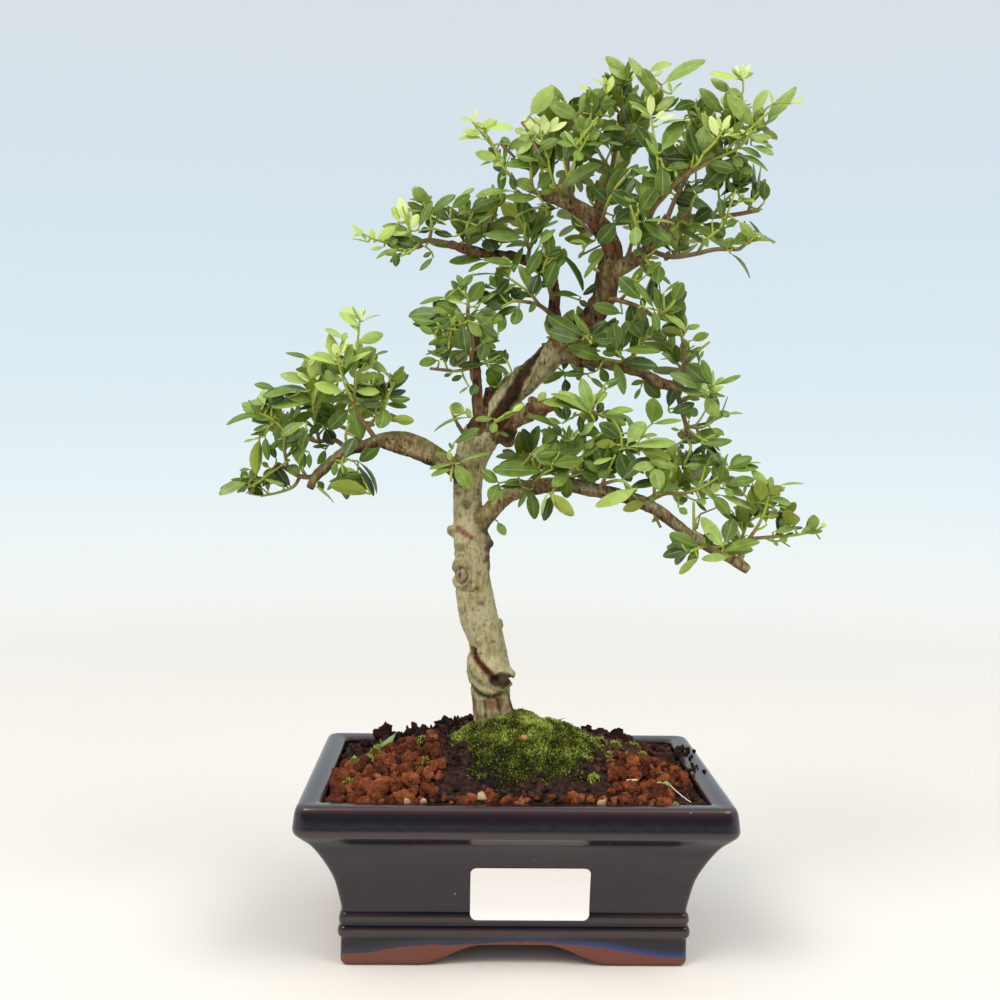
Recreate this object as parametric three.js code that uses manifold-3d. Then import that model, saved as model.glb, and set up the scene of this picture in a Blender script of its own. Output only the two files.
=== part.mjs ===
// A Japanese holly bonsai about 430 mm high in a glazed rectangular pot, in millimetres, +Z up.
// The tree's points are measured from the middle of the pot's foot on the table, +X right, +Y back.
import * as THREE from "three";
import { mergeVertices } from "three/addons/utils/BufferGeometryUtils.js";
import Module from "manifold-3d";

const wasm = await Module();
wasm.setup();

// Pot, fired clay with a glaze
const RIM_LENGTH = 200;
const RIM_DEPTH = 150;
const POT_HEIGHT = 78;
const RIM_BAND = 12.5;
const CORNER_RADIUS = 8;
const LEAST_CORNER = 3;
const CORNER_STEPS = 2;
const FLOOR_UNDERSIDE = 9.5;
const FLOOR_TOP = 16;
const FOOT_WALL = 13;
const DRAIN_RADIUS = 7;
const DRAIN_SPREAD = 38;
const ARCH_TOP_HALF = 14;
const ARCH_FOOT_HALF = 44;
const SIDE_ARCH_TOP_HALF = 8;
const SIDE_ARCH_FOOT_HALF = 27;
const CLEARANCE = 0.3;
const SLIVER = 0.14;

// Drainage screens, moulded plastic
const SCREEN_SIDE = 22;
const SCREEN_THICKNESS = 0.8;
const SCREEN_HOLES = 2;

// Soil, granules and moss
const SOIL_EDGE = 74;
const SOIL_DOME = 23;
const MOSS_MIDDLE = [10, -14, 76];
const MOSS_SIZE = [40, 38, 30];
const GRANULE_LEAST = 4.4;
const GRANULE_MOST = 6.2;
const GRANULE_SPACING = 14.5;
const BED_THICKNESS = 1.5;
const BED_MARGIN = 2.5;
const GROUND_CELLS = [12, 9];
const MOSS_CELLS = [18, 12];

// Blank label on the front wall
const LABEL_MIDDLE = 6.8;
const LABEL_LENGTH = 54.5;
const LABEL_BOTTOM = 22.5;
const LABEL_TOP = 46.5;
const LABEL_CORNER = 3;
const LABEL_THICKNESS = 0.4;

// Leaves and stems
const LEAF_LENGTH = [15, 23];
const YOUNG_LENGTH = [10, 15];
const LEAF_WIDTH = [0.43, 0.52];
const LEAF_THICKNESS = 0.7;
const LEAF_PITCH = 9.8;
const YOUNG_PITCH = 6;
const FEWEST_LEAVES = 2;
const GOLDEN_TURN = 137.5;
const SHOOT_RADIUS = [1.15, 0.9];
const TWIG_SIDES = 4;
const SHOOT_SIDES = 3;
const LEAF_LIFT = 0.25;
const BURIED_ROOT = 0.18;

// Bark
const TRUNK_SIDES = 10;
const LIMB_SIDES = 6;
const ROUND_KNOB = 4.2;

// Trunk from the soil to the top fork: x, y, z and radius.
const TRUNK = [
  [-7, 0, 86, 13.5],
  [-9, 0, 101, 11.2],
  [-11, 0, 111, 9.6],
  [-12, 0, 120, 9.8],
  [-13, 0, 129, 10.6],
  [-13, 0, 136, 9.4],
  [-14, 0, 143, 8.9],
  [-17, 0, 152, 9.4],
  [-19, 0, 162, 9.1],
  [-21, 0, 172, 8.8],
  [-22, 1, 182, 8.4],
  [-23, 2, 192, 8.2],
  [-24, 3, 205, 7.3],
  [-24, 4, 216, 7.2],
  [-23, 4, 225, 7.6],
  [-21, 4, 234, 8.4],
  [-17, 3, 242, 9],
  [-11, 2, 252, 8],
  [-5, 2, 262, 7],
  [7, 4, 273, 6.9],
  [19, 8, 285, 6.6],
  [30, 10, 293, 6.2],
  [37, 8, 301, 5.9],
  [42, 4, 310, 6],
  [43, 2, 317, 6.2],
  [44, 0, 326, 5.6],
  [45, 0, 333, 5],
  [42, 0, 341, 4.6],
  [37, -2, 346, 4.2],
];

// Main branches, which grow out of the trunk as one piece with it: x, y, z and radius.
const LIMBS = {
  left: [
    [-24, 3, 221, 4.8], [-32, 0, 227, 4.5], [-39, -2, 232, 4.2], [-47, -4, 237, 4.1], [-55, -6, 240, 3.9],
    [-63, -8, 240, 3.7], [-68, -9, 239, 3.4], [-75, -8, 236, 3], [-81, -6, 235, 2.9], [-87, -4, 231, 2.9],
    [-94, -3, 225, 2.8], [-98, -3, 221, 2.5], [-101, -3, 215, 2.1],
  ],
  left_strand: [
    [-37, -3, 227, 2.4], [-45, -6, 231, 2.6], [-53, -9, 234, 2.6], [-61, -10, 236, 2.4], [-67, -9, 238, 1.9],
  ],
  middle_left: [[-18, 0, 244, 3.8], [-19, -3, 252, 3.3], [-21, -5, 260, 3], [-22, -6, 269, 2.6]],
  middle_stub: [[-15, 2, 246, 3.2], [-15, 2, 256, 2.7], [-14, 1, 266, 2.3]],
  lower_middle: [
    [-11, 0, 245, 4.8], [-2, -6, 250, 4.3], [7, -11, 254, 3.9], [14, -15, 257, 3.4], [22, -19, 260, 2.8],
  ],
  right: [
    [-21, 1, 197, 5], [-13, -2, 205, 4.6], [-6, -5, 212, 4.3], [1, -8, 216, 4], [11, -11, 218, 3.8],
    [23, -14, 219, 3.6], [35, -16, 217, 3.4], [47, -18, 215, 3.3], [58, -20, 212, 3.2], [68, -21, 207, 3.1],
    [77, -22, 200, 2.9], [87, -23, 193, 2.7], [96, -24, 188, 2.6], [104, -25, 184, 2.5],
    [110, -26, 180, 2.3],
  ],
  right_stub: [[104, -25, 184, 2], [108, -25, 188, 1.7]],
  right_middle: [
    [19, 8, 285, 4.2], [28, 4, 281, 3.7], [36, 2, 279, 3.2], [45, 0, 278, 3], [54, -2, 276, 2.9],
    [62, -4, 273, 2.8], [69, -5, 269, 2.8], [75, -6, 267, 2.6], [78, -6, 263, 2.3],
  ],
  upper_left: [
    [22, 10, 288, 3.8], [19, 12, 297, 3.4], [18, 14, 306, 3.1], [18, 14, 314, 3], [16, 12, 321, 2.9],
    [12, 10, 325, 2.8], [5, 8, 328, 2.7], [-2, 6, 330, 2.6], [-11, 4, 331, 2.5], [-19, 2, 331, 2.3],
    [-28, 0, 333, 2.1], [-35, -2, 335, 1.9],
  ],
  apex_left: [
    [38, -1, 346, 4.3], [31, -4, 351, 3.9], [24, -6, 354, 3.4], [16, -8, 356, 2.9], [9, -10, 358, 2.3],
  ],
  apex_up: [[37, -1, 346, 4], [39, 4, 354, 3.3], [41, 8, 360, 2.8]],
  apex_right: [
    [43, 1, 322, 4.6], [50, -2, 325, 3.8], [55, -4, 328, 3.6], [61, -6, 332, 3.4], [65, -8, 337, 3.1],
    [68, -8, 343, 2.8], [71, -6, 349, 2.4],
  ],
};

// Knobs, healed cuts and a pruned snag on the bark: x, y, z, radius, and flattening from front to back.
const KNOBS = [
  [-25.5, -6.5, 176, 4.6, 0.7],
  [-31.5, 1, 195, 2.8, 1],
  [-14.5, 0, 191, 3, 1],
  [-9.5, -1, 150, 3.4, 0.8],
  [-6, -8, 123, 4.6, 0.55],
  [-1.5, -4, 126, 2.4, 1],
  [-12, -3, 98, 12, 0.9],
  [-1, -3, 96, 9, 1],
  [7, -11, 259, 2.6, 1],
  [-5, -5, 250, 3.4, 1],
  [37, 3, 297, 3.2, 1],
];

// Leafy sprays. The first line of each is its woody twig, from the middle of the branch that
// carries it, and each other line is a shoot with leaves on it.
const SPRAYS = {
  left_top: [
    [[-68, -9, 239], [-73, -12, 246], [-78, -14, 253], [-79, -15, 257]],
    [[-79, -15, 257], [-78, -17, 266], [-78, -18, 274]],
    [[-73, -12, 245], [-65, -13, 254], [-62, -14, 262], [-59, -14, 269]],
  ],
  left_front: [
    [[-81, -6, 235], [-81, -13, 234]],
    [[-81, -13, 234], [-84, -17, 229], [-83, -19, 223]],
    [[-81, -13, 234], [-82, -21, 241], [-80, -25, 247]],
  ],
  left_mid: [
    [[-82, -5, 234], [-90, 6, 239], [-99, 12, 238], [-105, 14, 240]],
    [[-98, 11, 238], [-99, 0, 248], [-99, -8, 256], [-99, -10, 263]],
    [[-105, 14, 240], [-112, 22, 244], [-120, 26, 247]],
  ],
  left_back: [
    [[-74, -8, 236], [-82, 12, 243], [-89, 22, 246]],
    [[-89, 22, 246], [-95, 31, 254], [-100, 36, 262]],
    [[-82, 12, 243], [-78, 24, 252], [-75, 30, 261]],
  ],
  left_end: [
    [[-95, -3, 224], [-100, -2, 221], [-106, 0, 221], [-112, 1, 224], [-117, 2, 227]],
    [[-112, 1, 224], [-113, -5, 234], [-113, -8, 243], [-119, -10, 249], [-126, -10, 252]],
    [[-117, 2, 227], [-120, -4, 223], [-124, -8, 219], [-129, -9, 216]],
    [[-106, 0, 221], [-109, 0, 216], [-116, 0, 213], [-125, 0, 211]],
    [[-103, -1, 221], [-105, -10, 228], [-102, -15, 235], [-104, -18, 242]],
  ],
  upper_left_end: [
    [[-35, -2, 335], [-44, -4, 336], [-52, -5, 334], [-62, -6, 334]],
    [[-44, -4, 336], [-43, 0, 345], [-46, 2, 354]],
    [[-48, -5, 335], [-52, -11, 330], [-57, -14, 327]],
  ],
  upper_left_mid: [
    [[-25, 1, 332], [-24, 0, 336]],
    [[-24, 0, 336], [-26, -8, 342], [-23, -10, 349]],
    [[-24, 0, 336], [-18, 9, 342], [-11, 14, 352]],
  ],
  upper_left_inner: [
    [[4, 8, 329], [5, 8, 334]],
    [[5, 8, 334], [2, -4, 338], [2, -9, 345]],
    [[5, 8, 334], [7, 18, 340], [5, 26, 348]],
  ],
  upper_left_under: [
    [[19, 13, 301], [15, 5, 303], [10, 0, 306], [5, -4, 307]],
    [[5, -4, 307], [-3, -8, 307], [-10, -10, 303]],
    [[10, 0, 306], [5, -6, 311], [-1, -9, 315], [-6, -11, 318]],
  ],
  upper_left_base: [
    [[18, 14, 310], [16, 6, 312]],
    [[16, 6, 312], [14, -3, 316], [11, -9, 322], [13, -12, 328]],
  ],
  middle_left: [
    [[-22, -6, 269], [-23, -7, 279], [-22, -8, 286], [-24, -9, 294], [-25, -10, 301]],
    [[-25, -10, 301], [-25, -12, 307], [-27, -13, 313]],
    [[-23, -9, 291], [-30, -18, 292], [-38, -22, 293]],
    [[-22, -7, 275], [-31, -9, 273], [-41, -10, 274]],
    [[-22, -8, 283], [-16, -12, 287], [-10, -14, 291]],
    [[-22, -7, 276], [-15, -8, 278], [-9, -9, 281]],
    [[-23, -7, 280], [-27, 10, 286], [-31, 19, 293]],
  ],
  trunk_sprout_left: [
    [[-24, 1, 240], [-29, -7, 247]],
    [[-29, -7, 247], [-31, -10, 251], [-33, -11, 256]],
  ],
  trunk_sprout_front: [
    [[-15, 0, 244], [-14, -14, 246]],
    [[-14, -14, 246], [-11, -19, 249], [-7, -21, 252]],
  ],
  trunk_sprout_low: [
    [[-30, 0, 229], [-31, -10, 227]],
    [[-31, -10, 227], [-32, -13, 224], [-32, -15, 220]],
  ],
  apex_left_end: [
    [[9, -10, 358], [2, -12, 360], [-2, -13, 362]],
    [[-2, -13, 362], [-8, -15, 368], [-11, -16, 372]],
    [[5, -11, 360], [4, -17, 367], [3, -19, 375]],
  ],
  apex_left: [
    [[20, -7, 354], [18, -12, 358]],
    [[18, -12, 358], [14, -15, 365], [12, -17, 373]],
    [[18, -12, 358], [21, -25, 363], [24, -29, 371], [30, -30, 382]],
  ],
  apex_back_left: [
    [[27, -5, 353], [24, 0, 362], [23, 4, 371], [23, 5, 379]],
    [[23, 5, 379], [20, 9, 391], [17, 10, 402]],
    [[24, 1, 365], [28, 20, 377], [32, 32, 389], [31, 36, 400]],
  ],
  apex_top: [
    [[41, 8, 360], [43, 11, 367], [45, 12, 374], [47, 12, 384], [49, 10, 393]],
    [[49, 10, 393], [49, 4, 403], [48, 0, 413]],
    [[45, 12, 374], [37, -2, 381], [33, -8, 391], [33, -8, 401]],
    [[48, 12, 385], [54, -4, 390], [58, -8, 399]],
    [[43, 11, 367], [49, 32, 380], [55, 42, 394], [60, 44, 406]],
  ],
  apex_front: [
    [[39, -2, 345], [39, -12, 347]],
    [[39, -12, 347], [40, -23, 352], [43, -29, 358], [47, -31, 363]],
  ],
  apex_right_front: [
    [[65, -8, 337], [61, -17, 344], [62, -22, 350], [67, -26, 356], [72, -28, 362], [78, -28, 367]],
    [[62, -22, 350], [63, -28, 361], [62, -29, 373]],
    [[78, -28, 367], [81, -30, 370], [83, -31, 374]],
    [[75, -28, 364], [88, -25, 372], [101, -22, 379], [110, -20, 389]],
  ],
  apex_right_top: [
    [[71, -6, 349], [75, 0, 358], [80, 6, 367]],
    [[80, 6, 367], [87, 6, 380], [89, 3, 392], [89, 0, 401]],
    [[86, 6, 378], [98, 6, 392], [105, 4, 403]],
    [[80, 6, 367], [88, 26, 383], [94, 36, 397]],
    [[75, 0, 358], [87, 24, 369], [99, 34, 377]],
  ],
  apex_right: [
    [[68, -8, 344], [82, -7, 349], [92, -8, 349], [103, -10, 350], [114, -12, 352]],
    [[109, -11, 351], [110, -14, 356], [113, -15, 360]],
    [[92, -8, 349], [96, -14, 355], [103, -16, 361]],
    [[81, -7, 349], [81, -18, 355], [84, -22, 360]],
  ],
  apex_right_low: [
    [[62, -6, 333], [72, -12, 329], [83, -16, 330], [92, -18, 332], [103, -20, 332]],
    [[103, -20, 332], [108, -21, 336], [113, -21, 340]],
    [[84, -16, 330], [86, -25, 335], [92, -28, 340]],
    [[72, -12, 329], [79, -2, 336], [84, 4, 342]],
  ],
  apex_centre: [
    [[56, -4, 329], [56, -14, 332]],
    [[56, -14, 332], [55, -24, 336], [52, -32, 342], [49, -36, 349]],
    [[56, -14, 332], [60, -20, 325], [64, -22, 319]],
  ],
  apex_far_back: [
    [[43, 2, 317], [50, 22, 326], [57, 38, 336], [61, 48, 347]],
    [[61, 48, 347], [67, 54, 359], [71, 55, 370]],
    [[57, 38, 336], [69, 49, 341], [80, 54, 346]],
  ],
  apex_far_left: [
    [[45, 0, 332], [42, 20, 341], [36, 36, 349]],
    [[36, 36, 349], [29, 47, 358], [20, 50, 365]],
    [[40, 28, 345], [41, 40, 357], [43, 48, 368]],
  ],
  right_upper: [
    [[42, 4, 310], [48, -10, 308], [57, -18, 304], [63, -24, 299]],
    [[63, -24, 299], [69, -29, 303], [73, -31, 309]],
    [[48, -10, 308], [52, -20, 313], [55, -22, 319]],
  ],
  right_whorl: [
    [[30, 8, 293], [31, -8, 291]],
    [[31, -8, 291], [32, -20, 289], [33, -27, 286]],
  ],
  right_inner: [
    [[53, -2, 277], [51, -10, 279]],
    [[51, -10, 279], [48, -18, 281], [45, -25, 283]],
    [[51, -10, 279], [56, -16, 283], [57, -19, 290]],
  ],
  right_top: [
    [[78, -6, 263], [81, -4, 273], [81, -2, 280], [81, 0, 287]],
    [[81, 0, 287], [79, -4, 293], [77, -5, 299]],
    [[81, -2, 279], [86, -8, 284], [92, -10, 289]],
    [[81, -4, 274], [80, 14, 280], [77, 24, 288]],
  ],
  right_low: [
    [[77, -6, 265], [80, -6, 255], [82, -6, 248], [82, -5, 243]],
    [[79, -6, 260], [86, -11, 263], [93, -14, 265]],
    [[82, -6, 248], [90, -9, 248], [98, -11, 254]],
    [[82, -6, 247], [87, -11, 243], [93, -13, 240]],
    [[82, -5, 243], [84, -9, 238], [82, -10, 232]],
  ],
  right_back: [
    [[7, 4, 273], [15, 26, 280], [22, 42, 284]],
    [[22, 42, 284], [31, 54, 288], [42, 60, 293]],
    [[19, 34, 282], [20, 48, 291], [19, 54, 298]],
  ],
  lower_middle: [
    [[22, -19, 260], [27, -24, 260]],
    [[27, -24, 260], [30, -29, 258], [32, -33, 254]],
    [[27, -24, 260], [37, -27, 253], [43, -29, 251], [47, -31, 244], [48, -31, 237]],
  ],
  lower_front: [
    [[4, -9, 216], [7, -16, 220]],
    [[7, -16, 220], [11, -22, 224], [16, -26, 227]],
    [[7, -16, 220], [11, -20, 230], [13, -22, 239]],
  ],
  lower_hanging: [
    [[19, -13, 218], [19, -21, 220]],
    [[19, -21, 220], [16, -25, 215], [17, -27, 210]],
    [[19, -21, 220], [25, -25, 227], [30, -27, 233]],
  ],
  lower_centre: [
    [[38, -17, 217], [40, -22, 220]],
    [[40, -22, 220], [42, -28, 227], [45, -31, 234]],
    [[40, -22, 220], [48, -30, 222], [54, -34, 217]],
  ],
  lower_back: [
    [[22, -12, 218], [25, 6, 221]],
    [[25, 6, 221], [16, 18, 225], [7, 24, 232]],
    [[25, 6, 221], [38, 16, 226], [48, 23, 233]],
  ],
  lower_right: [
    [[63, -20, 209], [65, -22, 214], [70, -24, 216]],
    [[65, -22, 214], [64, -30, 221], [68, -33, 227]],
    [[70, -24, 216], [81, -27, 217], [91, -28, 222], [99, -28, 229]],
    [[70, -24, 216], [79, 0, 218], [89, 14, 222]],
  ],
  lower_right_end: [
    [[97, -24, 187], [105, -25, 191], [110, -25, 195]],
    [[110, -25, 195], [114, -27, 202], [117, -28, 210], [118, -28, 216]],
    [[110, -25, 195], [121, -24, 196], [132, -24, 197], [141, -24, 199], [147, -24, 202]],
    [[105, -25, 191], [111, -10, 198], [116, -2, 206]],
  ],
  lower_right_front: [
    [[91, -23, 191], [90, -30, 192]],
    [[90, -30, 192], [93, -36, 192], [97, -39, 194]],
    [[90, -30, 192], [84, -35, 191], [79, -37, 189]],
  ],
};

// Young tips in a lighter green: the spray that carries each, and its line.
const YOUNG = {
  young_left_tall: ["left_top", [[-78, -18, 274], [-77, -17, 286], [-76, -17, 297]]],
  young_left: ["left_top", [[-79, -15, 257], [-82, -22, 264], [-84, -26, 271], [-86, -28, 279]]],
  young_left_small: ["left_mid", [[-99, -10, 263], [-100, -11, 269], [-101, -12, 274]]],
  young_upper_left_end: ["upper_left_end", [[-62, -6, 334], [-69, -8, 335], [-76, -8, 338]]],
  young_upper_left: ["upper_left_end", [[-52, -5, 334], [-54, -9, 342], [-57, -10, 351]]],
  young_apex_left_end: ["apex_left_end", [[-11, -16, 372], [-14, -17, 379], [-18, -18, 385]]],
  young_apex_left: ["apex_left", [[12, -17, 373], [9, -18, 381], [8, -18, 388]]],
  young_apex_front: ["apex_right_front", [[62, -29, 373], [60, -29, 384], [58, -28, 395]]],
  young_apex_right: ["apex_right_front", [[83, -31, 374], [88, -32, 379], [92, -32, 385]]],
  young_apex_top: ["apex_right_top", [[105, 4, 403], [108, 4, 412], [108, 4, 418]]],
};

const group = new THREE.Group();

// Finishes, each with the colour of the real surface
const finish = (color, roughness) => new THREE.MeshStandardMaterial({ color, roughness, metalness: 0 });
const FINISHES = {
  glaze: finish(0x38322f, 0.18),
  plastic: finish(0x2b2b2b, 0.6),
  peat: finish(0x2a1d18, 0.95),
  granule: finish(0x9a5230, 0.9),
  moss: finish(0x5f8428, 0.95),
  bark: finish(0x8f8763, 0.85),
  leaf: finish(0x3b6a2c, 0.4),
  young: finish(0xb2cf45, 0.5),
  label: finish(0xf6ebe6, 0.6),
};

// A closed geometry as a solid that can be joined and cut. Triangles with no area are dropped.
function solid(geometry) {
  const bare = geometry.clone();
  bare.deleteAttribute("normal");
  bare.deleteAttribute("uv");
  const merged = mergeVertices(bare, 1e-4);
  const corners = merged.index.array;
  const kept = [];
  for (let i = 0; i < corners.length; i += 3) {
    const [a, b, c] = corners.slice(i, i + 3);
    if (a !== b && b !== c && c !== a) kept.push(a, b, c);
  }
  return new wasm.Manifold(
    new wasm.Mesh({
      numProp: 3,
      vertProperties: merged.attributes.position.array,
      triVerts: new Uint32Array(kept),
    }),
  );
}

// The largest body of a solid, without the finest slivers that joining leaves. A loose scrap that a
// cut leaves is dropped.
function largest(whole) {
  const plain = whole.asOriginal().simplify(SLIVER);
  return plain.decompose().reduce((best, body) => (body.volume() > best.volume() ? body : best));
}

function addNode(name, whole, material) {
  const mesh = whole.getMesh();
  const geometry = new THREE.BufferGeometry();
  geometry.setAttribute("position", new THREE.BufferAttribute(mesh.vertProperties, mesh.numProp));
  geometry.setIndex(new THREE.BufferAttribute(mesh.triVerts, 1));
  geometry.computeVertexNormals();
  const node = new THREE.Mesh(geometry, material);
  node.name = name;
  group.add(node);
}

// Random numbers from 0 to 1 from a seed, the same on every machine.
function dice(seed) {
  let state = Math.imul(seed, 2654435761) >>> 0;
  return () => {
    state = (Math.imul(state, 1664525) + 1013904223) >>> 0;
    return state / 2 ** 32;
  };
}

const between = ([least, most], share) => least + (most - least) * share;
const vector = (p) => new THREE.Vector3(p[0], p[1], p[2]);
const UP = new THREE.Vector3(0, 0, 1);

// Pot: a profile of [offset from the rim's edge, height] carried round a rectangle with round
// corners. The null offset is the middle of the pot, where a profile may start and end.
function roundTheCorners(profile) {
  const perCorner = CORNER_STEPS + 1;
  const spots = profile.map(([offset, z]) => new THREE.Vector2(offset ?? 0, z));
  const geometry = new THREE.LatheGeometry(spots, 4 * perCorner);
  const place = geometry.attributes.position;
  for (let i = 0; i < place.count; i++) {
    const [offset, z] = profile[i % profile.length];
    const step = Math.floor(i / profile.length) % (4 * perCorner);
    const corner = Math.floor(step / perCorner);
    const angle = (corner + (step % perCorner) / CORNER_STEPS) * (Math.PI / 2);
    const radius = Math.max(CORNER_RADIUS + offset, LEAST_CORNER);
    const right = corner === 0 || corner === 3 ? 1 : -1;
    const back = corner < 2 ? 1 : -1;
    const x = right * (RIM_LENGTH / 2 + offset - radius) + radius * Math.cos(angle);
    const y = back * (RIM_DEPTH / 2 + offset - radius) + radius * Math.sin(angle);
    if (offset === null) place.setXYZ(i, 0, 0, z);
    else place.setXYZ(i, x, y, z);
  }
  return solid(geometry);
}

// Outside wall from the foot up: apron, two beads, hollow flare and rolled lip.
const OUTSIDE = [
  [-22, 0],
  [-20.5, 2],
  [-20.5, 12],
  [-19.4, 13.5],
  [-19.4, 17],
  [-20.4, 18.3],
  [-19.8, 20],
  [-19.8, 22.5],
  [-20.8, 24.5],
  [-19.5, 32],
  [-17.5, 40],
  [-14, 48],
  [-9.5, 56],
  [-6, 60.5],
  [-2.2, 63.5],
  [-0.3, 66.5],
  [0, 71],
  [-0.6, 75],
  [-2.5, POT_HEIGHT],
];
const INSIDE = [
  [-RIM_BAND + 1.5, POT_HEIGHT],
  [-RIM_BAND, POT_HEIGHT - 1.5],
  [-RIM_BAND - 3, 60],
  [-RIM_BAND - 10, 40],
  [-RIM_BAND - 14, FLOOR_TOP],
];
const FOOT_INSIDE = -22 - FOOT_WALL;

function archCutter(topHalf, footHalf, length) {
  const shape = new THREE.Shape();
  shape.moveTo(-footHalf, -1);
  shape.lineTo(footHalf, -1);
  shape.lineTo(footHalf, 0.2);
  shape.lineTo((footHalf * 2 + topHalf) / 3, FLOOR_UNDERSIDE * 0.4);
  shape.lineTo((footHalf + topHalf * 2) / 3, FLOOR_UNDERSIDE * 0.8);
  shape.lineTo(topHalf, FLOOR_UNDERSIDE);
  shape.lineTo(-topHalf, FLOOR_UNDERSIDE);
  shape.lineTo(-(footHalf + topHalf * 2) / 3, FLOOR_UNDERSIDE * 0.8);
  shape.lineTo(-(footHalf * 2 + topHalf) / 3, FLOOR_UNDERSIDE * 0.4);
  shape.lineTo(-footHalf, 0.2);
  const geometry = new THREE.ExtrudeGeometry(shape, { depth: length, bevelEnabled: false });
  geometry.translate(0, 0, -length / 2);
  geometry.rotateX(Math.PI / 2);
  return geometry;
}

function makePot() {
  const ring = [
    ...OUTSIDE,
    ...INSIDE,
    [-RIM_BAND - 14, FLOOR_UNDERSIDE],
    [FOOT_INSIDE, FLOOR_UNDERSIDE],
    [FOOT_INSIDE, 0],
    OUTSIDE[0],
  ];
  const floorEdge = -RIM_BAND - 13;
  const floor = [
    [null, FLOOR_UNDERSIDE],
    [floorEdge, FLOOR_UNDERSIDE],
    [floorEdge, FLOOR_TOP],
    [null, FLOOR_TOP],
  ];
  const cutters = [
    solid(archCutter(ARCH_TOP_HALF, ARCH_FOOT_HALF, RIM_DEPTH)),
    solid(archCutter(SIDE_ARCH_TOP_HALF, SIDE_ARCH_FOOT_HALF, RIM_LENGTH).rotateZ(Math.PI / 2)),
  ];
  for (const side of [-1, 1]) {
    const drain = new THREE.CylinderGeometry(DRAIN_RADIUS, DRAIN_RADIUS, 2 * FLOOR_TOP, 12);
    cutters.push(solid(drain.rotateX(Math.PI / 2).translate(side * DRAIN_SPREAD, 0, FLOOR_TOP)));
  }
  return roundTheCorners(ring).add(roundTheCorners(floor)).subtract(wasm.Manifold.union(cutters));
}
addNode("pot", largest(makePot()), FINISHES.glaze);

// Drainage screen: a square of plastic netting over a drain hole, on the pot's floor
function makeScreen(x) {
  const pitch = SCREEN_SIDE / (SCREEN_HOLES + 0.4);
  const sheet = solid(new THREE.BoxGeometry(SCREEN_SIDE, SCREEN_SIDE, SCREEN_THICKNESS));
  const holes = [];
  for (let i = 0; i < SCREEN_HOLES; i++)
    for (let j = 0; j < SCREEN_HOLES; j++) {
      const hole = new THREE.BoxGeometry(pitch * 0.6, pitch * 0.6, 2 * SCREEN_THICKNESS);
      const middle = (SCREEN_HOLES - 1) / 2;
      holes.push(solid(hole.translate((i - middle) * pitch, (j - middle) * pitch, 0)));
    }
  const height = FLOOR_TOP + CLEARANCE + SCREEN_THICKNESS / 2;
  return largest(sheet.subtract(wasm.Manifold.union(holes))).translate(x, 0, height);
}
addNode("screen_left", makeScreen(-DRAIN_SPREAD), FINISHES.plastic);
addNode("screen_right", makeScreen(DRAIN_SPREAD), FINISHES.plastic);

// A closed tube through points of x, y, z and radius. Each ring's axes come from the last ring's
// by the least turn, and lumps() scales a ring's radius by its angle and place along the tube.
function tube(points, sides, extra = 0, lumps = () => 1) {
  const line = new THREE.CatmullRomCurve3(points.map(vector), false, "catmullrom");
  const rings = points.length - 1;
  const geometry = new THREE.CylinderGeometry(1, 1, 1, sides, rings);
  const place = geometry.attributes.position;
  const across = [];
  let normal = new THREE.Vector3(0.2, 1, 0.1);
  for (let k = 0; k <= rings; k++) {
    const along = line.getTangent(k / rings);
    normal = normal.clone().addScaledVector(along, -normal.dot(along)).normalize();
    across.push([along, normal, new THREE.Vector3().crossVectors(along, normal)]);
  }
  for (let i = 0; i < place.count; i++) {
    const k = Math.round((0.5 - place.getY(i)) * rings);
    const [along, side, other] = across[k];
    const bulge = lumps(Math.atan2(place.getX(i), place.getZ(i)), k);
    const radius = (points[k][3] + extra) * bulge;
    const spot = vector(points[k])
      .addScaledVector(side, place.getX(i) * radius)
      .addScaledVector(other, place.getZ(i) * radius);
    if (k === 0) spot.addScaledVector(along, -extra);
    if (k === rings) spot.addScaledVector(along, extra);
    place.setXYZ(i, spot.x, spot.y, spot.z);
  }
  return solid(geometry);
}

// Trunk and main branches. The bark's ridges run up the trunk and fade into the branches.
const barkLumps = (angle, k) =>
  1 + 0.05 * Math.sin(3 * angle + 0.7 * k) + 0.03 * Math.sin(5 * angle - k);

function makeWood(extra) {
  const pieces = [tube(TRUNK, TRUNK_SIDES, extra, barkLumps)];
  for (const limb of Object.values(LIMBS)) pieces.push(tube(limb, LIMB_SIDES, extra));
  for (const [x, y, z, radius, depth] of KNOBS) {
    const knob = new THREE.IcosahedronGeometry(radius + extra, radius > ROUND_KNOB ? 1 : 0);
    pieces.push(solid(knob.scale(1, depth, 1).translate(x, y, z)));
  }
  return wasm.Manifold.union(pieces);
}
const wood = makeWood(0);
const woodRoom = makeWood(CLEARANCE);
addNode("trunk", largest(wood), FINISHES.bark);

// Soil: the root ball and the peat around it, domed above the rim, with a plain hole for the trunk
function soilHeight(x, y) {
  const dome = (1 - (x / 92) ** 4) * (1 - (y / 68) ** 4);
  const crumbs = 1.3 * Math.sin(x / 6.1 + 1) * Math.cos(y / 7.3) + 0.8 * Math.sin(x / 3.7 - y / 5.3);
  return SOIL_EDGE + SOIL_DOME * Math.max(dome, 0) ** 1.2 * (0.72 + 0.28 * Math.cos(x / 40)) + crumbs;
}

// A block over the whole pot whose top is the soil's surface, raised by lift.
function groundBlock(lift) {
  const bottom = FLOOR_TOP + CLEARANCE;
  const block = new THREE.BoxGeometry(RIM_LENGTH, RIM_DEPTH, 1, ...GROUND_CELLS, 1);
  const place = block.attributes.position;
  for (let i = 0; i < place.count; i++) {
    const top = soilHeight(place.getX(i), place.getY(i)) + lift;
    place.setZ(i, place.getZ(i) > 0 ? top : bottom);
  }
  return solid(block);
}

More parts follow.
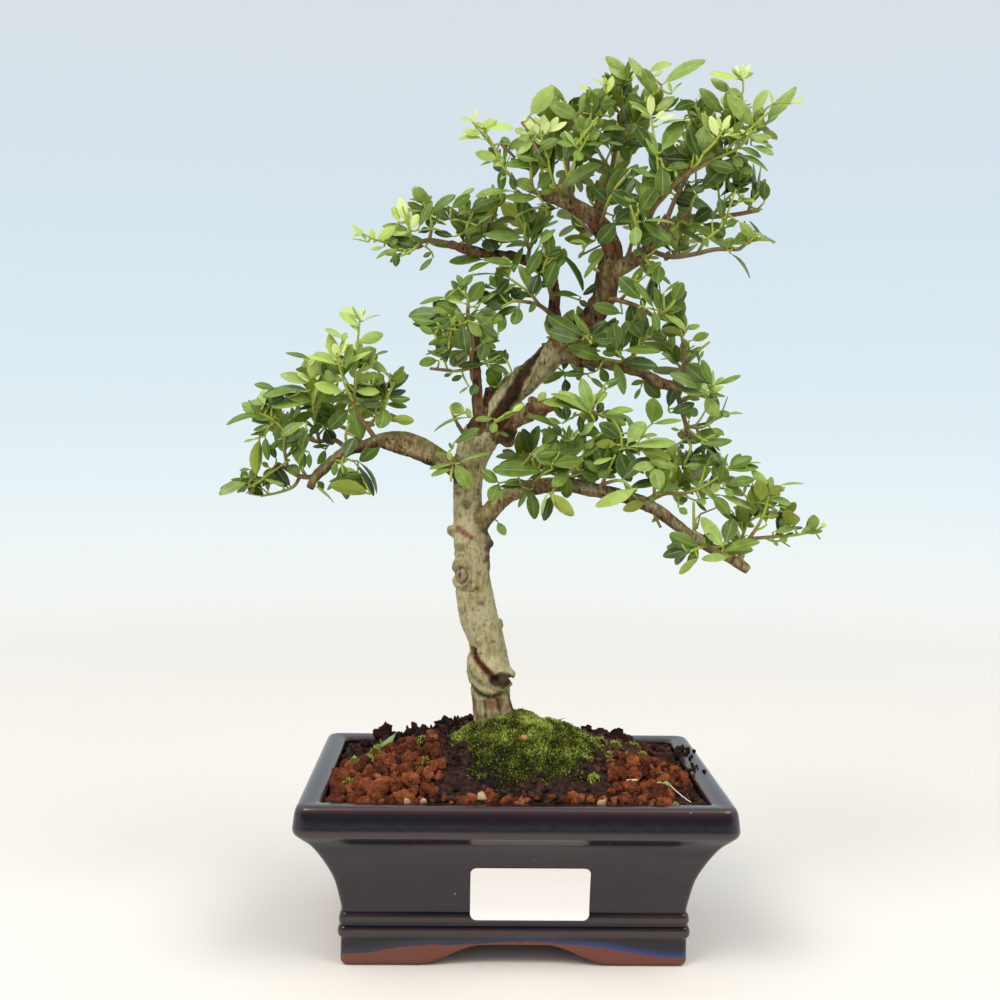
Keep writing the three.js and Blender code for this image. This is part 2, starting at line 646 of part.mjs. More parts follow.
function makeSoil() {
  const room = INSIDE.map(([offset, z]) => [offset - CLEARANCE, z]).reverse();
  const highest = POT_HEIGHT + SOIL_DOME + 10;
  const floor = FLOOR_TOP + CLEARANCE;
  const lowest = [room[0][0], floor];
  const top = [-RIM_BAND - CLEARANCE, highest];
  const cavity = roundTheCorners([[null, floor], lowest, ...room.slice(1, 4), top, [null, highest]]);
  const recesses = [-1, 1].map((side) => {
    const size = SCREEN_SIDE + 2 * CLEARANCE;
    const recess = new THREE.BoxGeometry(size, size, 2 * (SCREEN_THICKNESS + CLEARANCE));
    return solid(recess.translate(side * DRAIN_SPREAD, 0, floor));
  });
  return groundBlock(0).intersect(cavity).subtract(wasm.Manifold.union([woodRoom, ...recesses]));
}
addNode("soil", largest(makeSoil()), FINISHES.peat);
const ground = groundBlock(CLEARANCE);

// Beds of fired clay granules, left and right of the moss. The granules are set on a grid with a
// random shift, and are sunk in a thin layer of their own dust that lies on the soil.
const BEDS = {
  granules_left: [
    [-84, -60], [-40, -60], [-34, -44], [-36, -20], [-44, 8], [-60, 26], [-72, 30], [-84, 10],
  ],
  granules_right: [[44, -60], [76, -60], [84, -30], [84, 2], [66, 6], [54, -14], [47, -36]],
};

function granule(x, y, radius, random) {
  const stone = new THREE.IcosahedronGeometry(radius, 0);
  stone.rotateX(random() * 3).rotateZ(random() * 3);
  stone.scale(between([0.85, 1.15], random()), between([0.85, 1.15], random()), 0.85);
  return solid(stone.translate(x, y, soilHeight(x, y) + radius * 0.55));
}

function makeBed(outline, random) {
  const shape = new THREE.Shape(outline.map(([x, y]) => new THREE.Vector2(x, y)));
  const prism = new THREE.ExtrudeGeometry(shape, { depth: POT_HEIGHT, bevelEnabled: false });
  const layer = solid(prism.translate(0, 0, POT_HEIGHT / 2)).intersect(groundBlock(BED_THICKNESS));
  const pieces = [layer];
  const inside = (x, y) =>
    outline.every(([ax, ay], i) => {
      const [bx, by] = outline[(i + 1) % outline.length];
      const outwards = (bx - ax) * (y - ay) - (by - ay) * (x - ax);
      return outwards / Math.hypot(bx - ax, by - ay) > BED_MARGIN;
    });
  for (let x = -90; x < 90; x += GRANULE_SPACING)
    for (let y = -66; y < 60; y += GRANULE_SPACING) {
      const [dx, dy] = [random() * 5, random() * 5];
      const radius = between([GRANULE_LEAST, GRANULE_MOST], random());
      if (inside(x + dx, y + dy)) pieces.push(granule(x + dx, y + dy, radius, random));
    }
  return largest(wasm.Manifold.union(pieces).subtract(ground));
}
Object.entries(BEDS).forEach(([name, outline], i) => {
  addNode(name, makeBed(outline, dice(71 + i)), FINISHES.granule);
});

// Moss: one cushion round the foot of the trunk, raised in tufts
function makeMoss() {
  const cushion = new THREE.SphereGeometry(1, ...MOSS_CELLS);
  const place = cushion.attributes.position;
  for (let i = 0; i < place.count; i++) {
    const [x, y, z] = [place.getX(i), place.getY(i), place.getZ(i)];
    const broad = 0.045 * Math.sin(9 * x + 2 * z) * Math.cos(8 * y);
    const tufts = 1 + broad + 0.03 * Math.sin(14 * y - 6 * x);
    place.setXYZ(i, x * tufts, y * tufts, z * tufts);
  }
  cushion.rotateX(Math.PI / 2).scale(...MOSS_SIZE).translate(...MOSS_MIDDLE);
  return largest(solid(cushion).subtract(ground).subtract(woodRoom));
}
addNode("moss", makeMoss(), FINISHES.moss);

// A thin plate through stations, each a middle, a half-width vector and a face direction. A
// station with no width is a point. Both faces are split alike, and so stay parallel.
function plate(stations, thickness) {
  const spots = [];
  for (const { middle, half, face } of stations)
    for (const side of [-1, 1])
      for (const lift of [0.5, -0.5])
        spots.push(middle.clone().addScaledVector(half, side).addScaledVector(face, lift * thickness));
  const corners = [0, 1, 2, 1, 3, 2];
  for (let k = 0; k + 1 < stations.length; k++) {
    const [a, b] = [4 * k, 4 * k + 4];
    corners.push(a, a + 2, b, a + 2, b + 2, b, a + 1, b + 1, a + 3, a + 3, b + 1, b + 3);
    corners.push(a, b, a + 1, a + 1, b, b + 1, a + 2, a + 3, b + 2, a + 3, b + 3, b + 2);
  }
  const last = 4 * stations.length - 4;
  corners.push(last, last + 2, last + 1, last + 1, last + 2, last + 3);
  const geometry = new THREE.BufferGeometry();
  const numbers = spots.flatMap((p) => [p.x, p.y, p.z]);
  geometry.setAttribute("position", new THREE.Float32BufferAttribute(numbers, 3));
  return solid(geometry.setIndex(corners));
}

// Blank label: a sticker that follows the front wall from the beads up
function makeLabel() {
  const wallAt = (z) => {
    const i = OUTSIDE.findIndex(([, height]) => height > z);
    const [[lowOffset, low], [highOffset, high]] = [OUTSIDE[i - 1], OUTSIDE[i]];
    return { offset: lowOffset + ((highOffset - lowOffset) * (z - low)) / (high - low) };
  };
  const rounded = [LABEL_BOTTOM + LABEL_CORNER, 32, 40, LABEL_TOP - LABEL_CORNER];
  const stations = [];
  for (const z of [LABEL_BOTTOM, ...rounded, LABEL_TOP]) {
    const depth = (height) => -(RIM_DEPTH / 2 + wallAt(height).offset);
    const slope = (depth(z + 1.5) - depth(z - 1.5)) / 3;
    const face = new THREE.Vector3(0, -1, slope).normalize();
    const narrow = z === LABEL_BOTTOM || z === LABEL_TOP ? LABEL_CORNER : 0;
    const middle = new THREE.Vector3(LABEL_MIDDLE, depth(z), z);
    middle.addScaledVector(face, 2.2 * CLEARANCE + LABEL_THICKNESS / 2);
    stations.push({ middle, half: new THREE.Vector3(LABEL_LENGTH / 2 - narrow, 0, 0), face });
  }
  return plate(stations, LABEL_THICKNESS);
}
addNode("label", makeLabel(), FINISHES.label);

// Leaf outline: the share of the length, and the half-width as a share of the width
const LEAF_OUTLINE = [[0, 0], [0.3, 0.38], [0.66, 0.45], [1, 0]];
const LEAF_DROOP = 0.13;

function blade(leaf, wider, from) {
  const side = new THREE.Vector3().crossVectors(leaf.along, leaf.face);
  const stations = LEAF_OUTLINE.map(([share, half]) => {
    const s = Math.max(share, from);
    const middle = leaf.root.clone().addScaledVector(leaf.along, leaf.length * s);
    middle.addScaledVector(leaf.face, -LEAF_DROOP * leaf.length * s * s);
    const reach = leaf.width * half + (half && wider);
    return { middle, half: side.clone().multiplyScalar(reach), face: leaf.face };
  });
  return plate(stations, LEAF_THICKNESS + 2 * wider);
}

// A place along a line of straight stretches, at a share of its whole length.
function placeOn(line, share) {
  const spots = line.map(vector);
  const lengths = spots.slice(1).map((p, i) => p.distanceTo(spots[i]));
  let rest = share * lengths.reduce((a, b) => a + b);
  let i = 0;
  while (i < lengths.length - 1 && rest > lengths[i]) rest -= lengths[i++];
  const along = spots[i + 1].clone().sub(spots[i]).normalize();
  return { spot: spots[i].clone().addScaledVector(along, rest), along };
}
const lengthOf = (line) =>
  line.slice(1).reduce((sum, p, i) => sum + vector(p).distanceTo(vector(line[i])), 0);

// The leaves of a shoot, set round it by the golden turn, which lift to the light and face it.
// The last argument turns the next try of a leaf that had no room.
function leafOn(shoot, k, count, sizes, draws, phase, turned) {
  const share = 0.22 + (0.76 * (k + 0.5)) / count + 0.22 / count;
  const { spot, along } = placeOn(shoot, Math.min(share, 0.98));
  const helper = Math.abs(along.z) < 0.9 ? UP : new THREE.Vector3(1, 0, 0);
  const across = new THREE.Vector3().crossVectors(along, helper).normalize();
  const other = new THREE.Vector3().crossVectors(along, across);
  const turn = THREE.MathUtils.degToRad(phase + k * GOLDEN_TURN + turned);
  const spread = THREE.MathUtils.degToRad(66 - 28 * share + 16 * (draws[0] - 0.5));
  const out = across.multiplyScalar(Math.cos(turn)).addScaledVector(other, Math.sin(turn));
  const ahead = along.clone().multiplyScalar(Math.cos(spread)).addScaledVector(out, Math.sin(spread));
  ahead.addScaledVector(UP, LEAF_LIFT).normalize();
  const face = UP.clone().addScaledVector(along, 0.6);
  face.addScaledVector(ahead, -face.dot(ahead)).normalize();
  const roll = THREE.MathUtils.degToRad(50 * (draws[1] - 0.5));
  const sideways = new THREE.Vector3().crossVectors(ahead, face);
  face.multiplyScalar(Math.cos(roll)).addScaledVector(sideways, Math.sin(roll));
  const length = between(sizes, draws[2]);
  return { root: spot, along: ahead, face, length, width: length * between(LEAF_WIDTH, draws[3]) };
}

// Stems of a spray: its woody twig and its shoots, thinner towards their ends.
function stemsOf(lines, extra = 0) {
  return lines.map((line, i) => {
    const woody = 1.3 + 0.015 * lengthOf(line);
    const ends = i === 0 && lines.length > 1 ? [woody, SHOOT_RADIUS[0]] : SHOOT_RADIUS;
    const points = line.map((p, k) => [...p, between(ends, k / (line.length - 1))]);
    return tube(points, i === 0 && lines.length > 1 ? TWIG_SIDES : SHOOT_SIDES, extra);
  });
}

// Foliage. Every stem is laid out first, and then each leaf is turned about its stem until it is
// clear of all stems and leaves before it. A leaf that finds no room is left out.
const TRIES = [0, 35, -35, 70, -70, 105, -105, 140, -140];
const sprays = [];
for (const [name, lines] of Object.entries(SPRAYS)) {
  const leafing = { sizes: LEAF_LENGTH, pitch: LEAF_PITCH };
  sprays.push({ name, stems: stemsOf(lines), shoots: lines.slice(1), leafing });
}
for (const [name, [carrier, line]] of Object.entries(YOUNG)) {
  const leafing = { sizes: YOUNG_LENGTH, pitch: YOUNG_PITCH };
  sprays.push({ name, carrier, stems: stemsOf([line]), shoots: [line], leafing });
}

const taken = [{ whole: wood, box: wood.boundingBox() }];
for (const { stems } of sprays)
  for (const whole of stems) taken.push({ whole, box: whole.boundingBox() });

function isClear(whole) {
  const box = whole.boundingBox();
  return taken.every(
    (other) =>
      [0, 1, 2].some((i) => box.min[i] > other.box.max[i] || box.max[i] < other.box.min[i]) ||
      whole.intersect(other.whole).isEmpty(),
  );
}

function growLeaves(shoot, { sizes, pitch }, random) {
  const count = Math.max(FEWEST_LEAVES, Math.round(lengthOf(shoot) / pitch));
  const phase = 360 * random();
  const leaves = [];
  for (let k = 0; k < count; k++) {
    const draws = [random(), random(), random(), random()];
    for (const turned of TRIES) {
      const leaf = leafOn(shoot, k, count, sizes, draws, phase, turned);
      if (!isClear(blade(leaf, CLEARANCE, BURIED_ROOT))) continue;
      const whole = blade(leaf, 0, 0);
      leaves.push(leaf);
      taken.push({ whole, box: whole.boundingBox() });
      break;
    }
  }
  return leaves;
}

// The room that a spray takes, with the clearance round it. A young tip is cut back to it.
const rooms = {};
sprays.forEach(({ name, carrier, stems, shoots, leafing }, i) => {
  const random = dice(i + 1);
  const leaves = shoots.flatMap((shoot) => growLeaves(shoot, leafing, random));
  const grown = wasm.Manifold.union([...stems, ...leaves.map((leaf) => blade(leaf, 0, 0))]);
  const carried = carrier ? rooms[carrier] : woodRoom;
  addNode(name, largest(grown.subtract(carried)), carrier ? FINISHES.young : FINISHES.leaf);
  if (carrier) return;
  const around = leaves.map((leaf) => blade(leaf, CLEARANCE, 0));
  rooms[name] = wasm.Manifold.union([...stemsOf(SPRAYS[name], CLEARANCE), ...around]);
});

// The part's origin is under the middle of the whole tree and pot, on the table.
const middle = new THREE.Box3().setFromObject(group).getCenter(new THREE.Vector3());
group.position.set(-middle.x, -middle.y, 0);

export default group;
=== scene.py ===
import bpy
import numpy as np
from mathutils import Matrix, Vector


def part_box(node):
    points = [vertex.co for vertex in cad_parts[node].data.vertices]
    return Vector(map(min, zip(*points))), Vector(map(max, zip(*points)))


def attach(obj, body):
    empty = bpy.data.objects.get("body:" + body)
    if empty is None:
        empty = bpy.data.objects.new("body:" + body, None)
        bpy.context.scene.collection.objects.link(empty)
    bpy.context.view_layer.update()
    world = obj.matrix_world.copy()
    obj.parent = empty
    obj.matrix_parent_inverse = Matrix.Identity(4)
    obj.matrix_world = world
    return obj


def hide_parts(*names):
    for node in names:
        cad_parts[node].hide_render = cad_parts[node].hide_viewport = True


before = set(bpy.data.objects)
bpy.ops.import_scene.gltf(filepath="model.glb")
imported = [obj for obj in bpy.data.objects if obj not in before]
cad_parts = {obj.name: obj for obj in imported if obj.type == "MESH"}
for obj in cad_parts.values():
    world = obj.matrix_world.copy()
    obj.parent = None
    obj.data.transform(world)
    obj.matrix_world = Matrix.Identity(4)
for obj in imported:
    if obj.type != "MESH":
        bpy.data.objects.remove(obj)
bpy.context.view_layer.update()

# The pot: rectangular, of reddish stoneware, pressed in a mould, with a rolled lip, a hollow flare,
# two beads and four corner feet. It is dipped in a dark blue-black glaze to just above the table,
# where the bare clay shows, and the glaze thins to brown on each sharp edge.

RIM_LENGTH = 200.0
RIM_DEPTH = 150.0
CORNER_RADIUS = 8.0
LEAST_CORNER = 3.0

low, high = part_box("pot")
POT_MIDDLE = np.array([(low[0] + high[0]) / 2, (low[1] + high[1]) / 2, 0.0])


def linear(code):
    """A screen's hex colour as linear red, green, blue and alpha: ((c + 0.055) / 1.055) to the power 2.4."""
    parts = np.array([int(code[i : i + 2], 16) for i in (1, 3, 5)]) / 255
    light = np.where(parts > 0.04045, ((parts + 0.055) / 1.055) ** 2.4, parts / 12.92)
    return (*light.tolist(), 1.0)


def finish_of(name):
    """A new material that holds one plain shader; returns the material, its nodes' tree and the shader."""
    made = bpy.data.materials.new(name)
    made.use_nodes = True
    return made, made.node_tree, made.node_tree.nodes["Principled BSDF"]


def plug(tree, node, sockets):
    """Gives a node's sockets what they take: a value, a colour's hex code or another node's output."""
    for key, value in sockets.items():
        if isinstance(value, bpy.types.NodeSocket):
            tree.links.new(value, node.inputs[key])
        else:
            node.inputs[key].default_value = linear(value) if isinstance(value, str) else value


def add(tree, kind, sockets=None, stops=None, out=0, **settings):
    """Adds a node with its settings, its sockets and, on a ramp, its stops of a place and a hex code.
    Returns one output of the node, or the node itself where out is None."""
    made = tree.nodes.new("ShaderNode" + kind)
    for key, value in settings.items():
        setattr(made, key, value)
    if stops:
        marks = made.color_ramp.elements
        while len(marks) < len(stops):
            marks.new(0.5)
        for mark, (place, tint) in zip(marks, stops):
            mark.position = place
            mark.color = linear(tint)
    plug(tree, made, sockets or {})
    return made if out is None else made.outputs[out]


def smooth_line(points, step):
    """A line through all the points, one place every step mm. Between two points it is the cubic whose
    slope at each one is half the way from the point before it to the point after (Catmull-Rom)."""
    points = np.asarray(points, float)
    knots = np.vstack([2 * points[0] - points[1], points, 2 * points[-1] - points[-2]])
    lengths = np.linalg.norm(np.diff(points[:, :3], axis=0), axis=1)
    count = max(3, int(round(lengths.sum() / step)) + 1)
    run = np.r_[0, np.cumsum(lengths)]
    stops = np.interp(np.linspace(0, lengths.sum(), count), run, np.arange(len(points)))
    i = np.minimum(stops.astype(int), len(points) - 2)
    u = (stops - i)[:, None]
    a, b, c, d = knots[i], knots[i + 1], knots[i + 2], knots[i + 3]
    return 0.5 * (2 * b + (c - a) * u + (2 * a - 5 * b + 4 * c - d) * u**2 + (3 * b - a - 3 * c + d) * u**3)


def skin(rows, starts=None, ends=None):
    """Closed skins over rows of rings of points, several of one build at once: quads join each ring to the
    next, and a fan closes the first and the last ring over a pole, the ring's middle where none is given.
    Faces are turned outwards by the sign of the volume, the sum over triangles of a . (b x c) / 6."""
    rows = rows[None] if rows.ndim == 3 else rows
    each, count, around = rows.shape[:3]
    starts = rows[:, 0].mean(1) if starts is None else np.reshape(starts, (each, 3))
    ends = rows[:, -1].mean(1) if ends is None else np.reshape(ends, (each, 3))
    points = np.concatenate([rows.reshape(each, -1, 3), starts[:, None], ends[:, None]], axis=1)
    at = np.arange(count * around).reshape(count, around)
    onward = np.roll(at, -1, axis=1)
    quads = np.stack([at[:-1], onward[:-1], onward[1:], at[1:]], -1).reshape(-1, 4)
    first = np.stack([onward[0], at[0], np.full(around, count * around)], -1)
    last = np.stack([at[-1], onward[-1], np.full(around, count * around + 1)], -1)
    tris = np.vstack([first, last])
    corners = np.vstack([quads[:, :3], quads[:, [0, 2, 3]], tris])
    a, b, c = (points[0, corners[:, k]] - points[0, 0] for k in range(3))
    if np.einsum("ij,ij->i", a, np.cross(b, c)).sum() < 0:
        quads, tris = quads[:, ::-1], tris[:, ::-1]
    jumps = np.arange(each)[:, None, None] * points.shape[1]
    return {
        "points": points.reshape(-1, 3),
        "quads": (quads + jumps).reshape(-1, 4),
        "tris": (tris + jumps).reshape(-1, 3),
    }


def piece(name, shapes, finishes, stands_for=(), smooth=True):
    """A mesh object from closed shapes, in millimetres about the pot's middle. A shape may hold the
    number of its finish, marks (up to three numbers a point), a flat map (two numbers a point) and crease,
    true at the points between which an edge stays sharp."""
    points, quads, tris, quad_paint, tri_paint, marks, flat, crease = [], [], [], [], [], [], [], []
    used = 0
    for shape in shapes:
        count = len(shape["points"])
        points.append(shape["points"])
        quads.append(shape["quads"] + used)
        tris.append(shape["tris"] + used)
        paint = shape.get("paint", 0)
        quad_paint.append(np.full(len(shape["quads"]), paint) if np.isscalar(paint) else paint[0])
        tri_paint.append(np.full(len(shape["tris"]), paint) if np.isscalar(paint) else paint[1])
        marks.append(shape.get("marks", np.zeros((count, 3))))
        flat.append(shape.get("flat", np.zeros((count, 2))))
        crease.append(shape.get("crease", np.zeros(count, bool)))
        used += count
    points, quads, tris = np.vstack(points), np.vstack(quads), np.vstack(tris)
    mesh = bpy.data.meshes.new(name)
    mesh.vertices.add(len(points))
    mesh.vertices.foreach_set("co", (points * 0.001 + POT_MIDDLE).ravel())
    loops = np.concatenate([quads.ravel(), tris.ravel()])
    mesh.loops.add(len(loops))
    mesh.loops.foreach_set("vertex_index", loops)
    starts = np.concatenate([np.arange(len(quads)) * 4, len(quads) * 4 + np.arange(len(tris)) * 3])
    mesh.polygons.add(len(starts))
    mesh.polygons.foreach_set("loop_start", starts)
    mesh.update(calc_edges=True)
    mesh.validate()
    mesh.polygons.foreach_set("material_index", np.concatenate(quad_paint + tri_paint).astype(np.int32))
    mesh.polygons.foreach_set("use_smooth", np.full(len(starts), smooth))
    layer = mesh.attributes.new("marks", "FLOAT_COLOR", "POINT")
    layer.data.foreach_set("color", np.hstack([np.vstack(marks), np.ones((used, 1))]).ravel())
    layer = mesh.uv_layers.new(name="flat")
    layer.data.foreach_set("uv", np.vstack(flat)[loops].ravel())
    crease = np.concatenate(crease)
    if crease.any():
        ends = np.empty(2 * len(mesh.edges), np.int32)
        mesh.edges.foreach_get("vertices", ends)
        mesh.edges.foreach_set("use_edge_sharp", crease[ends.reshape(-1, 2)].all(axis=1))
    for finish in finishes:
        mesh.materials.append(finish)
    made = bpy.data.objects.new(name, mesh)
    bpy.context.scene.collection.objects.link(made)
    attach(made, "root")
    if stands_for:
        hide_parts(*stands_for)
    return made


def round_the_corners(profile, corner_steps=10, spacing=3.4, height=None):
    """Rows of points where a profile of offset from the rim's edge and height is carried round a rectangle
    with round corners: the corner's own middle plus its radius times the cosine and sine of the turn, and
    straight blends of two corners between. height changes the heights by offset, place and height."""
    stops = []
    for corner in range(4):
        for turn in np.linspace(0, 90, corner_steps + 1):
            stops.append((corner, corner * 90 + turn, corner, corner * 90 + turn, 0.0))
        length = RIM_LENGTH if corner % 2 == 0 else RIM_DEPTH
        count = int(length / spacing)
        for k in range(1, count):
            stops.append((corner, corner * 90 + 90, (corner + 1) % 4, corner * 90 + 90, k / count))
    stops = np.array(stops)
    offset = np.asarray(profile, float)[:, 0][:, None]
    radius = np.maximum(CORNER_RADIUS + offset, LEAST_CORNER)
    spots = []
    for corner, turn in ((stops[:, 0], stops[:, 1]), (stops[:, 2], stops[:, 3])):
        right = np.where((corner == 0) | (corner == 3), 1, -1)
        back = np.where(corner < 2, 1, -1)
        angle = np.radians(turn)
        x = right * (RIM_LENGTH / 2 + offset - radius) + radius * np.cos(angle)
        y = back * (RIM_DEPTH / 2 + offset - radius) + radius * np.sin(angle)
        spots.append(np.stack([x, y], -1))
    share = stops[:, 4][None, :, None]
    flat = spots[0] * (1 - share) + spots[1] * share
    z = np.broadcast_to(np.asarray(profile, float)[:, 1][:, None], flat.shape[:2])
    if height is not None:
        z = height(flat[..., 0], flat[..., 1], z)
    return np.dstack([flat, z])


def ease(value, least, most):
    """0 below least, 1 above most, and the smooth step 3 t t - 2 t t t between."""
    t = np.clip((value - least) / (most - least), 0, 1)
    return t * t * (3 - 2 * t)


def hump(value, middle, width):
    """A soft rise round a middle: e to the power of minus ((value - middle) / width) squared."""
    return np.exp(-(((value - middle) / width) ** 2))


def arch_height(x, y):
    """Height of the cut between the feet: full between the arch's shoulders and none at the feet."""
    long_side = 9.2 * ease(44 - np.abs(x), 0, 30)
    short_side = 9.2 * ease(27 - np.abs(y), 0, 19)
    return np.where(np.abs(y) > 38, long_side, np.where(np.abs(x) > 63, short_side, 0))


def lifted(x, y, z):
    """Heights of the apron squeezed into what the arch leaves: arch + z (12 - arch) / 12 below 12 mm."""
    arch = arch_height(x, y)
    return np.where(z < 12, arch + z * (12 - arch) / 12, z)


def lifted_inside(x, y, z):
    """Heights of the foot ring's inner wall squeezed between the arch and the floor's underside."""
    arch = arch_height(x, y)
    return np.where(z < 9.5, arch + z * (9.5 - arch) / 9.5, z)


outside = smooth_line(
    [
        (-22, 0), (-21, 0.5), (-20.5, 2.2), (-20.5, 7), (-20.5, 11.6), (-20.2, 12.6), (-19.5, 13.6),
        (-19.2, 15.2), (-19.4, 17), (-20.1, 18.1), (-20.35, 18.6), (-20, 19.3), (-19.7, 20.4), (-19.7, 21.8),
        (-20, 23.3), (-20.75, 24.6), (-20.5, 27), (-19.5, 32), (-17.5, 40), (-14, 48), (-9.5, 56),
        (-6, 60.5), (-2.6, 63.2), (-0.7, 64.8), (0, 66.6), (-0.2, 69), (-0.55, 72), (-1, 74.6), (-1.9, 76.9),
        (-3.2, 77.9), (-5, 78.2), (-8.5, 78), (-11, 77.6), (-12.1, 76.4), (-12.5, 74), (-15.5, 60),
        (-22.5, 40), (-26.5, 16),
    ],
    0.75,
)
ring = [(-26.5, 9.5), *((-35, z) for z in (9.5, 9.4, 7, 5, 3, 1.5, 0.6)), (-34.4, 0), (-28, 0)]
outer_rows = round_the_corners(outside, height=lifted)
inner_rows = round_the_corners(ring, height=lifted_inside)
pot_shape = skin(np.concatenate([inner_rows, outer_rows]), [0, 0, 9.5], [0, 0, 16])

# How far a place is above the wavy edge of the glaze, and how sharp the edge is on which it lies
x, y, z = pot_shape["points"].T
corner_share = ease(np.abs(x), 36, 74) * ease(np.abs(y), 22, 50)
waves = 0.8 * np.sin(x / 11.0 + 1.3) * np.cos(y / 9.0)
glaze_edge = 10.2 - 5.7 * corner_share + waves - 1.6 * ease(x, 20, 60)
slopes = np.gradient(outside, axis=0)
heading = np.unwrap(np.arctan2(slopes[:, 1], slopes[:, 0]))
bend = np.convolve(np.gradient(heading), np.ones(3) / 3, "same")
sharpness = np.concatenate([np.zeros(len(ring)), np.clip(bend * 2.2, 0, 1) * (outside[:, 1] > 12)])
sharpness = np.append(np.repeat(sharpness, inner_rows.shape[1]), [0, 0])
pool = 0.25 + 0.75 * ease(x, -5, 45) * ease(z, 14, 10) + 0.8 * hump(z, 13.2, 0.9)
pot_shape["marks"] = np.stack([(z - glaze_edge) / 20 + 0.5, sharpness, np.clip(pool, 0, 1)], -1)

# Stoneware glaze: a glass coat 0.5 mm thick, coloured by iron and cobalt, poured and fired. It gives a
# deep soft gloss, blue where it pools at its edge and brown where it runs thin, with pale pinholes.
glaze, tree, shader = finish_of("iron and cobalt stoneware glaze")
place = add(tree, "TexCoord", out="Object")
marks = add(tree, "SeparateColor", {0: add(tree, "Attribute", attribute_name="marks")}, out=None)
clouds = add(tree, "TexNoise", {"Vector": place, "Scale": 22.0, "Detail": 4.0})
drips = add(tree, "TexNoise", {"Vector": place, "Scale": 160.0, "Detail": 3.0})
wander = add(tree, "Math", {0: drips, 1: 0.06, 2: -0.03}, operation="MULTIPLY_ADD")
above = add(tree, "Math", {0: marks.outputs["Red"], 1: wander}, operation="ADD")
covered = add(tree, "MapRange", {0: above, 1: 0.493, 2: 0.507}, interpolation_type="SMOOTHSTEP")
pool_stops = [(0.5, "#2a3e70"), (0.6, "#1c2a55"), (0.74, "#12131c")]
pooled = add(tree, "ValToRGB", {"Fac": above}, pool_stops)
thin = add(tree, "MixRGB", {"Fac": clouds, "Color1": "#1f1b18", "Color2": "#2d2825"})
pooled = add(tree, "MixRGB", {"Fac": marks.outputs["Blue"], "Color1": thin, "Color2": pooled})
# The ramps up the pot paint the glaze darker on the beads low down and on the rim's nose and lip: painted
# dark reflection and painted shade. Between them is the deep glaze's own navy and rust-brown.
up_the_pot = add(tree, "MapRange", {0: above, 2: 4.0})
navy_and_painted_dark_band_stops = [(0.3, "#08081a"), (0.36, "#1d1926"), (0.73, "#1d1926"), (0.78, "#07071c")]
navy_with_painted_dark_bands = add(tree, "ValToRGB", {"Fac": up_the_pot}, navy_and_painted_dark_band_stops)
rusty_and_painted_dark_band_stops = [(0.3, "#131016"), (0.36, "#2c211f"), (0.73, "#2c211f"), (0.78, "#0c0a18")]
rusty_with_painted_dark_bands = add(tree, "ValToRGB", {"Fac": up_the_pot}, rusty_and_painted_dark_band_stops)
deep = add(tree, "MixRGB", {"Fac": clouds, "Color1": navy_with_painted_dark_bands, "Color2": rusty_with_painted_dark_bands})
full = add(tree, "MapRange", {0: above, 1: 0.58, 2: 0.74})
glass = add(tree, "MixRGB", {"Fac": full, "Color1": pooled, "Color2": deep})
worn = add(tree, "Math", {0: marks.outputs["Green"], 1: 0.75}, operation="MULTIPLY")
edged = add(tree, "MixRGB", {"Fac": worn, "Color1": glass, "Color2": "#6c544c"})
pinholes = add(tree, "TexVoronoi", {"Vector": place, "Scale": 95.0})
dots = add(tree, "MapRange", {0: pinholes, 1: 0.045, 2: 0.028})
patches = add(tree, "TexNoise", {"Vector": place, "Scale": 35.0})
sparse = add(tree, "MapRange", {0: patches, 1: 0.52, 2: 0.6})
dotted = add(tree, "Math", {0: dots, 1: sparse}, operation="MULTIPLY")
speckled = add(tree, "MixRGB", {"Fac": dotted, "Color1": edged, "Color2": "#8d8a80"})
grain = add(tree, "TexNoise", {"Vector": place, "Scale": 900.0, "Detail": 3.0})
clay = add(tree, "MixRGB", {"Fac": grain, "Color1": "#643528", "Color2": "#7c4535"})
whole = add(tree, "MixRGB", {"Fac": covered, "Color1": clay, "Color2": speckled})
shine = add(tree, "MapRange", {0: covered, 3: 0.75, 4: 0.2})
peel = add(tree, "TexNoise", {"Vector": place, "Scale": 240.0, "Detail": 1.0})
relief = add(tree, "MixRGB", {"Fac": covered, "Color1": grain, "Color2": peel})
bump = add(tree, "Bump", {"Height": relief, "Strength": 0.12, "Distance": 0.0004})
plug(tree, shader, {"Base Color": whole, "Roughness": shine, "Normal": bump})
pot = piece("glazed_pot", [pot_shape], [glaze], ["pot"])

# Two drain holes, cut through the floor
turns = np.linspace(0, 2 * np.pi, 33)[:-1]
rims = np.stack([7 * np.cos(turns), 7 * np.sin(turns), np.zeros(32)], -1)
hole_rows = rims + np.array([[[[x, 0, z]] for z in (4, 22)] for x in (-38, 38)])
drill = piece("drill", [skin(hole_rows)], [glaze])
cut = pot.modifiers.new("drain holes", "BOOLEAN")
cut.operation = "DIFFERENCE"
cut.object = drill
bpy.context.view_layer.update()
pot.data = bpy.data.meshes.new_from_object(pot.evaluated_get(bpy.context.evaluated_depsgraph_get()))
pot.modifiers.clear()
bpy.data.objects.remove(drill)

